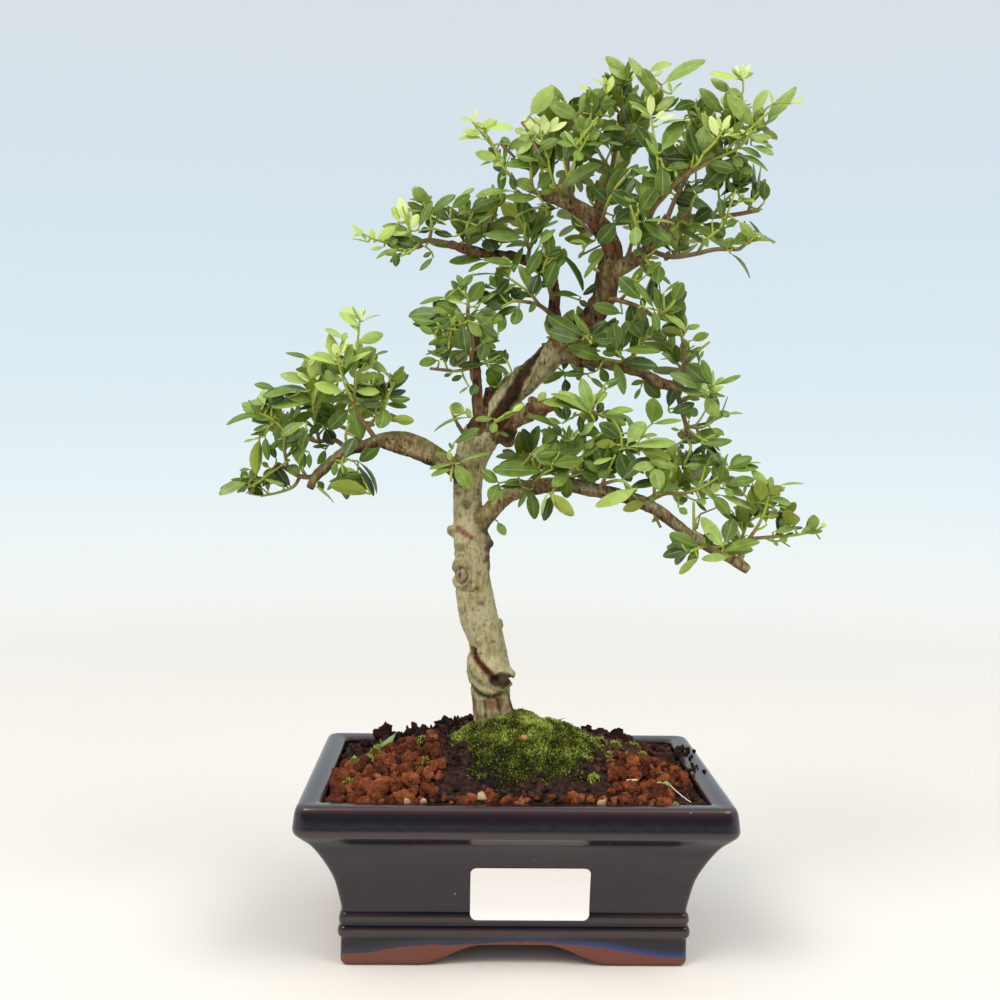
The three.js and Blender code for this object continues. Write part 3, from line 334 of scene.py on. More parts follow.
# Drainage screens: squares of black plastic netting, moulded in one shot, that lie over the drain
# holes under the soil. Moulded polypropylene gives an even, slightly waxy black.
netting, tree, shader = finish_of("moulded polypropylene netting")
place = add(tree, "TexCoord", out="Object")
waxy = add(tree, "TexNoise", {"Vector": place, "Scale": 300.0, "Detail": 2.0})
plug(tree, shader, {
    "Base Color": add(tree, "MixRGB", {"Fac": waxy, "Color1": "#1b1b1c", "Color2": "#2b2b2c"}),
    "Roughness": add(tree, "MapRange", {0: waxy, 3: 0.45, 4: 0.6}),
})
for name in ("screen_left", "screen_right"):
    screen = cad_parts[name]
    screen.data.materials.clear()
    screen.data.materials.append(netting)

# Soil: the root ball and loose dark peat, heaped by hand above the rim and crumbled by rain. It is
# damp and almost black, with red-brown fibres, lumps along the back and spilt crumbs on the rim.


def noise(points, size, seed):
    """Smooth random heights from -1 to 1 over space: each corner of a lattice of cells size mm wide has one
    from a table, and a point blends its cell's eight corners by t t (3 - 2 t) along each side."""
    table = np.random.default_rng(seed).uniform(-1, 1, 4096)
    cells = points / size
    corner = np.floor(cells).astype(np.int64)
    t = cells - corner
    t = t * t * (3 - 2 * t)
    total = np.zeros(points.shape[:-1])
    for step in np.ndindex(2, 2, 2):
        x, y, z = np.moveaxis(corner + step, -1, 0)
        key = (x * 73856093) ^ (y * 19349663) ^ (z * 83492791)
        total += np.prod(np.where(step, t, 1 - t), axis=-1) * table[key & 4095]
    return total


def layers(points, size, count, seed):
    """Noise of cells size mm wide plus count - 1 finer ones, each half as wide and half as high."""
    return sum(noise(points, size / 2**k, seed + k) / 2**k for k in range(count))


def soil_height(x, y):
    """The heap: 74 mm at the edge, a dome 23 mm high in the middle, and long low waves."""
    dome = np.maximum((1 - np.abs(x / 90) ** 2.5) * (1 - np.abs(y / 66) ** 2.5), 0)
    waves = 1.3 * np.sin(x / 6.1 + 1) * np.cos(y / 7.3) + 0.8 * np.sin(x / 3.7 - y / 5.3)
    return 74 + 23 * dome**1.2 * (0.72 + 0.28 * np.cos(x / 40)) + waves


def soil_top(x, y):
    """The heap with its crumbs: two layers of noise 7 mm wide, and pits and grains of 1.8 mm."""
    spots = np.stack([x, y, np.zeros_like(x)], -1)
    edge = 0.35 + 0.65 * ease(np.maximum(np.abs(x) / 88, np.abs(y) / 63), 1.0, 0.9)
    return soil_height(x, y) + edge * (1.5 * layers(spots, 7.0, 2, 3) + 0.9 * layers(spots, 2.2, 2, 9))


def unit(ways):
    """Each way divided by its own length."""
    return ways / np.linalg.norm(ways, axis=-1, keepdims=True)


def lumps(middles, radii, rings, around, roughness, seed):
    """Rough grains: each is a ball of rings of points, stretched by 0.78 to 1.22 along three axes, moved in
    and out by three layers of noise times roughness, and turned at random."""
    draws = np.random.default_rng(seed)
    polar = np.pi * (np.arange(rings) + 1) / (rings + 1)
    turn = 2 * np.pi * np.arange(around) / around
    wide, level = np.sin(polar)[:, None], np.repeat(np.cos(polar)[:, None], around, 1)
    rows = np.stack([wide * np.cos(turn), wide * np.sin(turn), level], -1)
    ball = np.vstack([rows.reshape(-1, 3), [[0, 0, 1], [0, 0, -1]]])
    count = len(middles)
    stretch = draws.uniform(0.78, 1.22, (count, 1, 3))
    turned = np.linalg.qr(draws.normal(size=(count, 3, 3)))[0]
    turned *= np.sign(np.linalg.det(turned))[:, None, None]
    shifted = ball + draws.uniform(0, 900, (count, 1, 3))
    finer = 0.6 * noise(shifted, 0.42, seed + 1) + 0.3 * noise(shifted, 0.2, seed + 2)
    height = 1 + roughness * (0.7 * noise(shifted, 0.95, seed) + finer)
    spots = np.einsum("nmi,nij->nmj", ball * stretch * height[..., None], turned)
    spots = spots * np.reshape(radii, (-1, 1, 1)) + np.asarray(middles)[:, None]
    return skin(spots[:, :-2].reshape(count, rings, around, 3), spots[:, -2], spots[:, -1])


def strands(roots, ways, bends, radii, rings, around, taper=1.0):
    """Thin curved hairs: their middle runs root + way s + bend s s for s from 0 to 1, and their radius
    shrinks to its (1 - taper) part at the tip, where a pole closes them."""
    share = np.linspace(0, 1, rings + 1)[:-1]
    roots, ways, bends = (np.asarray(v, float)[:, None] for v in (roots, ways, bends))
    middle = roots + ways * share[:, None] + bends * share[:, None] ** 2
    ahead = unit(ways)
    level = np.where(np.abs(ahead[..., 2:]) < 0.8, [0.0, 0.0, 1.0], [1.0, 0.0, 0.0])
    side = unit(np.cross(ahead, level))
    other = np.cross(ahead, side)
    turn = (2 * np.pi * np.arange(around) / around)[:, None]
    circle = np.cos(turn) * side + np.sin(turn) * other
    width = np.reshape(radii, (-1, 1)) * (1 - taper * share)
    rows = middle[:, :, None] + circle[:, None] * width[..., None, None]
    return skin(rows, roots[:, 0], (roots + ways + bends)[:, 0])


def same_for_each(values, shape):
    """One row of marks for each of the equal shapes in a skin, or one for all, repeated over the points."""
    return np.repeat(values, len(shape["points"]) // len(values), axis=0)


# The block under the heap fills the pot's cavity, and its top is rows of the cavity's own outline, shrunk
cavity = [(-32, 17.3), (-30, 16.4), (-26.9, 16.4), (-22.8, 40), (-15.8, 60), (-12.9, 73)]
wall_rows = round_the_corners(cavity, corner_steps=6, spacing=1.8)
brim = wall_rows[-1]
shrink = 1 - np.linspace(0.004, 0.99, 84)
top_rows = brim[None] * shrink[:, None, None]
top_rows[..., 2] = soil_top(top_rows[..., 0], top_rows[..., 1])
summit = [0, 0, float(soil_top(np.zeros(1), np.zeros(1))[0])]
soil_shape = skin(np.concatenate([wall_rows, top_rows]), [0, 0, 17.3], summit)
x, y, z = soil_shape["points"].T
redder = ease(x, 30, 60) * ease(y, -40, 10)
soil_shape["marks"] = np.stack([np.full_like(x, 0.5), redder, np.zeros_like(x)], -1)

# Crumbs all over, then larger lumps of peat along the back, where they stand up against the light
draws = np.random.default_rng(21)
count, in_front = 2000, 300
x, y = draws.uniform(-86, 86, count), draws.uniform(-61, 61, count)
y = np.where(np.arange(count) < in_front, -61 + 5 * np.abs(y) / 61, y)
radii = draws.uniform(0.5, 1.4, count) * draws.uniform(0.6, 1.7, count)
crumb_places = np.stack([x, y, soil_top(x, y) + 0.2 * radii], -1)
tones = np.stack([draws.uniform(0.15, 0.9, count), ease(x, 20, 60), 0 * x], -1)
under_grains = (np.abs(y + 32) < 24) & ((x < -44) | (np.abs(x - 59) < 11))
open_to_sight = ~under_grains & (np.hypot(x - 5, y + 17) > 29)
crumbs = lumps(crumb_places[open_to_sight], radii[open_to_sight], 4, 7, 0.75, 22)
crumbs["marks"] = same_for_each(tones[open_to_sight], crumbs)
x = np.concatenate([draws.uniform(-84, -56, 26), draws.uniform(-60, -14, 34), draws.uniform(40, 68, 20)])
y = np.concatenate([draws.uniform(28, 54, 26), draws.uniform(34, 56, 34), draws.uniform(34, 54, 20)])
radii = draws.uniform(1.4, 3.8, 80) * ease(np.abs(x), 92, 62)
clod_places = np.stack([x, y, soil_height(x, y) + 0.35 * radii], -1)
clods = lumps(clod_places, radii, 10, 14, 0.95, 23)
clods["marks"] = same_for_each(np.stack([draws.uniform(0.1, 0.5, 80), ease(x, 20, 60), 0 * x], -1), clods)
TALL_CLODS = np.array([
    (-38, 45, 89, 2.3), (-36.6, 44, 85.5, 3), (-50, 46, 85, 3.4), (-53, 44, 83.5, 3.2), (-46, 47, 84, 3),
    (-66, 44, 85.5, 2.8), (-68, 43, 82.5, 3.4), (-63, 46, 82, 3), (-28, 30, 93, 2.6), (-25, 26, 95, 2.2),
    (-31, 34, 90, 3), (-22, 18, 97.5, 2.4), (-19, 14, 99, 2.6),
])
tall = lumps(TALL_CLODS[:, :3], TALL_CLODS[:, 3], 12, 16, 1.15, 24)
tall["marks"] = same_for_each([[0.45, 0.3, 0.0]], tall)

# Crumbs and clumps spilt over the right end of the rim, on the lip's flat top
x, y = 89.5 + 8 * draws.uniform(0, 1, 16) ** 1.6, draws.uniform(-8, 48, 16)
radii = draws.uniform(0.35, 1.05, 16)
CLUMPS = [
    (90.3, 37, 79, 1.7), (93.2, 36, 78.9, 1.4), (87.8, 33, 79.2, 1.9), (86.6, 26, 78.6, 1.8),
    (87.4, -6, 78.4, 1.5),
]
spilt_places = np.vstack([np.stack([x, y, 78.0 + 0.6 * radii, radii], -1), CLUMPS])
spilt = lumps(spilt_places[:, :3], spilt_places[:, 3], 7, 10, 0.8, 25)
spilt["marks"] = same_for_each([[0.4, 0.5, 0.0]], spilt)

# Fibres of the peat and fine roots, lying at all turns
count = 260
x, y = draws.uniform(-82, 82, count), draws.uniform(-57, 57, count)
heading = draws.uniform(0, 2 * np.pi, count)
length = draws.uniform(4, 13, count)
rise = draws.uniform(-0.1, 0.5, count) * length
ways = np.stack([length * np.cos(heading), length * np.sin(heading), rise], -1)
bends = [draws.normal(0, 2, count), draws.normal(0, 2, count), -rise * draws.uniform(0.6, 1.3, count)]
fibre_roots = np.stack([x, y, soil_top(x, y)], -1)
fibres = strands(fibre_roots, ways, np.stack(bends, -1), draws.uniform(0.16, 0.38, count), 5, 4, 0.6)
tones = np.stack([draws.uniform(0.5, 1, count), draws.uniform(0.3, 1, count), 0 * x], -1)
fibres["marks"] = same_for_each(tones, fibres)

# Peat: decayed moss and fine bark, damp and crumbled. It swallows light, and only its fibres and dry
# grains are a lighter red-brown. The pattern's grains are 0.6 and 2.5 mm wide.
peat, tree, shader = finish_of("damp peat")
place = add(tree, "TexCoord", out="Object")
marks = add(tree, "SeparateColor", {0: add(tree, "Attribute", attribute_name="marks")}, out=None)
grains = add(tree, "TexVoronoi", {"Vector": place, "Scale": 400.0})
drift = add(tree, "TexNoise", {"Vector": place, "Scale": 420.0, "Detail": 4.0})
mixed = add(tree, "Math", {0: grains, 1: 0.6, 2: drift}, operation="MULTIPLY_ADD")
share = add(tree, "Math", {0: marks.outputs["Red"], 1: 1.25}, operation="MULTIPLY")
toned = add(tree, "Math", {0: mixed, 1: share}, operation="MULTIPLY")
dark_stops = [(0.1, "#120b0a"), (0.45, "#281815"), (0.8, "#473026")]
black = add(tree, "ValToRGB", {"Fac": toned}, dark_stops)
red_stops = [(0.1, "#180c09"), (0.45, "#371e17"), (0.8, "#5d382a")]
red = add(tree, "ValToRGB", {"Fac": toned}, red_stops)
earth = add(tree, "MixRGB", {"Fac": marks.outputs["Green"], "Color1": black, "Color2": red})
plug(tree, shader, {
    "Base Color": earth,
    "Roughness": add(tree, "MapRange", {0: drift, 3: 0.82, 4: 1.0}),
    "Specular IOR Level": 0.15,
    "Normal": add(tree, "Bump", {"Height": mixed, "Strength": 0.5, "Distance": 0.0006}),
})
piece("peat_soil", [soil_shape], [peat], ["soil"])
piece("peat_crumbs_and_fibres", [crumbs, clods, tall, spilt, fibres], [peat])

# Fired clay granules: small lumps of red-brown clay, broken and baked, poured in two beds beside the
# moss and scattered along the front edge, with a few pale grains of pumice among them.
BEDS = {
    "left": [(-84, -61), (-38, -61), (-34, -46), (-37, -22), (-40, 6), (-52, 12), (-66, 8), (-84, 2)],
    "right": [(43, -61), (70, -61), (71, -40), (84, -26), (84, -4), (74, 0), (62, -2), (47, -14), (44, -38)],
}
FRONT_ROW = [
    (-25.4, 3.7), (-20.4, 2.4), (-4.6, 2.6), (-1, 2.2), (1.8, 2.8), (5, 1.8), (9, 1.9), (15.3, 2),
    (21.6, 2.6), (25.6, 3), (29.4, 2.4), (33.6, 2), (38.6, 2.6), (-12.4, 3), (-29.5, 1.4), (-33, 1.6),
]
PUMICE = [(-15.5, -60.2, 2.5), (-50.4, -60.6, 2.3), (38.2, -60.6, 2.4), (-42, -65.6, 1.3), (52, -48, 1.3)]


def inside_bed(corners, x, y):
    """True where a line to the right of a place crosses the bed's outline an odd number of times."""
    ends = np.array(corners, float)
    ax, ay = ends.T
    bx, by = np.roll(ends, -1, axis=0).T
    crosses = (ay > y[:, None]) != (by > y[:, None])
    where = ax + (y[:, None] - ay) * (bx - ax) / np.where(by == ay, 1e-9, by - ay)
    return (crosses & (x[:, None] < where)).sum(axis=1) % 2 == 1


def thrown(corners, seed, largest):
    """Grains thrown at random, the large first: one stays where it overlaps no other by over a tenth."""
    draws = np.random.default_rng(seed)
    low, high = np.min(corners, axis=0), np.max(corners, axis=0)
    tries = draws.uniform(low, high, (8000, 2))
    tries = tries[inside_bed(corners, tries[:, 0], tries[:, 1])]
    order = np.arange(len(tries)) / len(tries)
    sizes = np.interp(order, [0, 0.02, 0.12, 1], [largest, 0.76 * largest, 2.1, 1.3])
    sizes = sizes * draws.uniform(0.8, 1.2, len(tries)) * (1 - 0.25 * ease(tries[:, 1], -30, 10))
    kept = np.zeros((0, 3))
    for spot, size in zip(tries, sizes):
        apart = np.hypot(*(kept[:, :2] - spot).T)
        if (apart > 0.9 * (kept[:, 2] + size)).all():
            kept = np.vstack([kept, [*spot, size]])
    return kept


def granules(kept, seed):
    """Lumps at places of x, y and radius, sunk a third into the heap, each with a tone of its own. The large
    ones have more points than the small ones."""
    draws = np.random.default_rng(seed)
    shapes = []
    for chosen, rings, around in ((kept[:, 2] > 2.6, 15, 20), (kept[:, 2] <= 2.6, 8, 11)):
        x, y, radius = kept[chosen].T
        places = np.stack([x, y, soil_height(x, y) + 0.42 * radius], -1)
        shape = lumps(places, radius, rings, around, 0.6, seed + rings)
        tones = np.stack([draws.uniform(0, 1, len(x)), draws.uniform(0, 1, len(x)), 0 * x], -1)
        shape["marks"] = same_for_each(tones, shape)
        shapes.append(shape)
    return shapes


# Fired clay: low-fired, porous and dusty, so quite matt, from pale orange to dark red-brown. The pores
# are about 0.5 mm wide.
fired_clay, tree, shader = finish_of("low-fired porous clay")
place = add(tree, "TexCoord", out="Object")
marks = add(tree, "SeparateColor", {0: add(tree, "Attribute", attribute_name="marks")}, out=None)
pores = add(tree, "TexNoise", {"Vector": place, "Scale": 950.0, "Detail": 4.0, "Roughness": 0.65})
patchy = add(tree, "TexNoise", {"Vector": place, "Scale": 260.0, "Detail": 2.0})
pitted = add(tree, "MapRange", {0: pores, 1: 0.3, 2: 0.7, 3: -0.02, 4: 0.3})
tone = add(tree, "Math", {0: marks.outputs["Red"], 1: 0.45, 2: pitted}, operation="MULTIPLY_ADD")
stained = add(tree, "MapRange", {0: patchy, 1: 0.3, 2: 0.7, 3: -0.12, 4: 0.2})
tone = add(tree, "Math", {0: tone, 1: stained}, operation="ADD")
clay_stops = [(0.1, "#32140a"), (0.4, "#663118"), (0.65, "#8c4d2a"), (0.9, "#b5764a")]
baked = add(tree, "ValToRGB", {"Fac": tone}, clay_stops)
pale = add(tree, "MixRGB", {"Fac": pores, "Color1": "#9c7c58", "Color2": "#d3b48c"})
chosen = add(tree, "MixRGB", {"Fac": marks.outputs["Blue"], "Color1": baked, "Color2": pale})
plug(tree, shader, {
    "Base Color": chosen,
    "Roughness": add(tree, "MapRange", {0: pores, 3: 0.85, 4: 1.0}),
    "Specular IOR Level": 0.2,
    "Normal": add(tree, "Bump", {"Height": pores, "Strength": 0.9, "Distance": 0.0009}),
})

row = np.array([(x, -60.2 + 0.8 * np.sin(3 * x), radius) for x, radius in FRONT_ROW])
bed_left = np.vstack([thrown(BEDS["left"], 31, 4.2), row[row[:, 0] < 0]])
bed_right = np.vstack([thrown(BEDS["right"], 34, 3.4), row[row[:, 0] > 0]])
piece("clay_granules_left", granules(bed_left, 33), [fired_clay], ["granules_left"])
piece("clay_granules_right", granules(bed_right, 35), [fired_clay], ["granules_right"])
x, y, radii = np.array(PUMICE).T
z = np.where(y < -62, 78.2, soil_height(x, y)) + 0.6 * radii
pumice = lumps(np.stack([x, y, z], -1), radii, 11, 15, 0.25, 37)
pumice["marks"] = same_for_each([[0.5, 0.5, 1.0]], pumice)
piece("pale_grains", [pumice], [fired_clay])

# Moss: one low cushion that has grown round the foot of the trunk, of thousands of upright shoots a
# few tenths of a millimetre thick. It thins out downhill, where the peat shows between the shoots.
MOSS_MIDDLE = np.array([5.0, -17.0])
MOSS_REACH = np.array([37.0, 37.0])


def cushion(reach, turn):
    """The cushion's surface at a share of its reach and a turn: a dome 10.3 (1 - reach squared) mm over the
    heap, swollen by noise 11 mm and 4 mm wide, and the way that its skin faces there."""
    ragged = 1 + 0.12 * np.sin(3 * turn + 1) + 0.08 * np.sin(5 * turn - 0.6)
    x = MOSS_MIDDLE[0] + MOSS_REACH[0] * reach * ragged * np.cos(turn)
    y = MOSS_MIDDLE[1] + MOSS_REACH[1] * reach * ragged * np.sin(turn)
    dome = 10.3 * (1 - np.minimum(reach, 1.15) ** 2)
    spots = np.stack([x, y, soil_height(x, y) + dome], -1)
    spots[..., 2] += (1.3 * layers(spots, 11.0, 2, 41) + 0.9 * noise(spots, 4.0, 44)) * ease(reach, 1.1, 0.6)
    faced = np.stack([np.cos(turn) * reach * 0.8, np.sin(turn) * reach * 0.8, 1 - 0.35 * reach], -1)
    return spots, unit(faced)


def wear(points):
    """Where the moss thins out and the peat shows: noise 7 mm wide with a finer one."""
    return noise(points, 7.0, 48) + 0.6 * noise(points, 2.6, 49)


reach, turn = np.meshgrid(np.linspace(0.02, 1.12, 64), 2 * np.pi * np.arange(128) / 128, indexing="ij")
mound_rows, faced = cushion(reach, turn)
sunk = mound_rows[-1:] - [0, 0, 6]
mound = skin(np.concatenate([mound_rows - [0, 0, 0.8], sunk]), None, [*MOSS_MIDDLE, 78])
x, y, z = mound["points"].T
outwards = np.hypot(*((mound["points"][:, :2] - MOSS_MIDDLE) / MOSS_REACH).T)
bare = ease(outwards + 0.22 * wear(mound["points"]), 0.72, 1.0)
mound["marks"] = np.stack([np.full_like(x, 0.22), bare, np.zeros_like(x)], -1)

# The shoots stand square to the cushion, close together, and their tone varies with the tufts and at random
draws = np.random.default_rng(45)
count = 33500
reach, turn = 1.25 * draws.uniform(0, 1, count) ** 0.58, draws.uniform(0, 2 * np.pi, count)
roots, faced = cushion(reach, turn)
tufted = noise(roots, 6.5, 46) + 0.6 * noise(roots, 2.4, 47)
allowed = draws.uniform(0.66, 1.0, count) + 0.25 * (draws.random(count) < 0.1)
kept = reach + 0.24 * wear(roots) < allowed
kept &= np.hypot(roots[:, 0] + 8, roots[:, 1]) > 9.5
roots, faced, tufted = roots[kept], faced[kept], tufted[kept]
count = len(roots)
ways = faced + draws.normal(0, 0.38, (count, 3)) + [0, 0, 0.2]
ways *= (draws.uniform(0.9, 1.9, count) / np.linalg.norm(ways, axis=1))[:, None]
shoots = strands(roots - [0, 0, 0.9], ways, 0 * ways, draws.uniform(0.26, 0.46, count), 1, 3, 0.0)
# Painted light: the shoots' tone is lighter towards the back of the cushion and darker down its front
painted_light_toward_back = ease(roots[:, 1] + roots[:, 0] * 0.4, -52, -12)
fresh_or_painted_light = np.clip(0.22 + 0.26 * painted_light_toward_back + 0.42 * tufted + draws.normal(0, 0.17, count), 0, 1)
straw_tips = (draws.random(count) < 0.08) * draws.uniform(0.4, 1, count)
shoots["marks"] = same_for_each(np.stack([fresh_or_painted_light, np.zeros(count), straw_tips], -1), shoots)

# Small tufts that have taken hold elsewhere: x, y, width and height, higher where granules lie round them
TUFTS = [
    (-68.5, -3, 4.4, 6.4), (-70.5, -12, 3.4, 6), (-46, -8, 4.2, 6), (-43, -36, 3.4, 5), (-78, -39, 4.2, 6.2),
    (-78.5, -2, 2.6, 6), (-66, 34, 4, 3.2), (-50.5, -56, 2.2, 3.6), (44, 2, 3.2, 3.2), (52, 6, 3.4, 3.2),
    (57, -4, 2.2, 3.2), (66, 6, 3, 5), (36, -46, 2.6, 3.2), (-12, 52, 5, 3.2), (12, 55, 5, 3.2),
    (46, -20, 2.6, 4.6), (64, 30, 4, 3.2), (-30, 40, 5, 3.2), (66, -58, 2.6, 3.4), (72, -58.6, 2, 3),
]
count = 2200
spread = np.array(TUFTS)[draws.integers(0, len(TUFTS), count)]
turn, reach = draws.uniform(0, 2 * np.pi, count), spread[:, 2] * np.sqrt(draws.uniform(0, 1, count))
x, y = spread[:, 0] + reach * np.cos(turn), spread[:, 1] + reach * np.sin(turn)
swell = spread[:, 3] * (1 - (reach / spread[:, 2]) ** 2)
roots = np.stack([x, y, soil_height(x, y) + swell], -1)
ways = np.stack([0.25 * (x - spread[:, 0]), 0.25 * (y - spread[:, 1]), np.full(count, 1.4)], -1)
ways = ways + draws.normal(0, 0.45, (count, 3))
tufts = strands(roots - [0, 0, 1.2], ways, np.zeros((count, 3)), draws.uniform(0.22, 0.4, count), 2, 3, 0.45)
tufts["marks"] = same_for_each(np.stack([draws.uniform(0.45, 0.95, count), 0 * x, 0 * x], -1), tufts)

# Living moss: soft, thin leaves over one another, matt, yellow-green at the tips and nearly black
# between the shoots. Where it is bare it is the colour of the peat.
moss, tree, shader = finish_of("living moss")
place = add(tree, "TexCoord", out="Object")
marks = add(tree, "SeparateColor", {0: add(tree, "Attribute", attribute_name="marks")}, out=None)
fine = add(tree, "TexNoise", {"Vector": place, "Scale": 700.0, "Detail": 3.0})
finely = add(tree, "MapRange", {0: fine, 3: -0.22, 4: 0.22})
fresh_or_painted_light = add(tree, "Math", {0: marks.outputs["Red"], 1: finely}, operation="ADD")
moss_stops = [(0.1, "#1c2205"), (0.35, "#455010"), (0.65, "#79872c"), (0.95, "#bcc965")]
green = add(tree, "ValToRGB", {"Fac": fresh_or_painted_light}, moss_stops)
dry = add(tree, "MixRGB", {"Fac": marks.outputs["Blue"], "Color1": green, "Color2": "#a48a55"})
bared = add(tree, "MixRGB", {"Fac": marks.outputs["Green"], "Color1": dry, "Color2": "#20140f"})
plug(tree, shader, {
    "Base Color": bared,
    "Roughness": 0.85,
    "Specular IOR Level": 0.15,
    "Normal": add(tree, "Bump", {"Height": fine, "Strength": 0.6, "Distance": 0.0008}),
})
piece("moss_cushion", [mound, shoots], [moss], ["moss"])
piece("moss_tufts", [tufts], [moss])

# What has fallen on the soil: a seedling that leans over, a cut piece of leaf, a straw, and a chip of
# bark on the moss. Each has a colour of its own, whose red, green and blue are its marks.


def coloured(shape, tint):
    """The shape with one colour, a hex code, at each of its points."""
    shape["marks"] = same_for_each([linear(tint)[:3]], shape)
    return shape


spots = np.array([(63.3, -43), (77.1, -52.8), (54, -44), (4.1, -35)])
under_leaves, under_stalk, under_straw, under_chip = soil_height(*spots.T)
seed_leaves = lumps([[0, 0, 0], [3.0, 0, 0.1]], [1.35, 1.35], 8, 14, 0.1, 61)
seed_leaves["points"] = seed_leaves["points"] * [1.1, 0.4, 1.05] + [66.6, -44.5, under_leaves + 3.4]
stalk = strands([[79.9, -53.4, under_stalk + 0.4]], [[-9.6, 9.2, 4.6]], [[0, 0, 2.2]], [0.32], 6, 6, 0.3)
straw = strands([[51.3, -44, under_straw + 3.4]], [[6.0, 0.4, 0.1]], [[0, 0, 0.2]], [0.7], 4, 5, 0.2)
corners = np.array([[-67.3, 10, 84.6], [-58.3, 10, 91.3], [-61.8, 8, 82.1]])
cut_leaf = skin(np.stack([corners, corners + [0, 0.35, 0]])[None] + [0, 0, 1.2])
chip = lumps([[4.1, -35, under_chip + 8.4]], [1.2], 6, 9, 0.6, 62)
litter = [
    coloured(seed_leaves, "#8fae5c"), coloured(stalk, "#d9cfc0"), coloured(straw, "#dcc98a"),
    coloured(cut_leaf, "#8aa66a"), coloured(chip, "#c4814c"),
]

# Plant matter, fresh or dry: matt, with a grain 1 mm wide that makes it slightly uneven
plant_matter, tree, shader = finish_of("fallen plant matter")
place = add(tree, "TexCoord", out="Object")
tint = add(tree, "Attribute", attribute_name="marks")
grain = add(tree, "TexNoise", {"Vector": place, "Scale": 900.0, "Detail": 2.0})
shade = add(tree, "MapRange", {0: grain, 3: 0.7, 4: 1.2})
uneven = add(tree, "VectorMath", {0: tint, 1: shade}, operation="MULTIPLY")
plug(tree, shader, {"Base Color": uneven, "Roughness": 0.6})
piece("fallen_bits", litter, [plant_matter])

# Trunk: the tree's woody part, from the moss to the last pruned stub, grown as one. It is a holly some
# thirty years old: smooth grey-olive bark below, dark and rugged on the older wood above, with healed
# cuts, knobs and one long scar where a branch was torn off.
TRUNK = [
  [-7, 0, 86, 13.5],
  [-9, 0, 101, 11.2],
  [-11, 0, 111, 9.6],
  [-12, 0, 120, 9.8],
  [-13, 0, 129, 10.6],
  [-13, 0, 136, 9.4],
  [-14, 0, 143, 8.9],
  [-17, 0, 152, 9.4],
  [-19, 0, 162, 9.1],
  [-21, 0, 172, 8.8],
  [-22, 1, 182, 8.4],
  [-23, 2, 192, 8.2],
  [-24, 3, 205, 7.3],
  [-24, 4, 216, 7.2],
  [-23, 4, 225, 7.6],
  [-21, 4, 234, 8.4],
  [-17, 3, 242, 9],
  [-11, 2, 252, 8],
  [-5, 2, 262, 7],
  [7, 4, 273, 6.9],
  [19, 8, 285, 6.6],
  [30, 10, 293, 6.2],
  [37, 8, 301, 5.9],
  [42, 4, 310, 6],
  [43, 2, 317, 6.2],
  [44, 0, 326, 5.6],
  [45, 0, 333, 5],
  [42, 0, 341, 4.6],
  [37, -2, 346, 4.2],
]

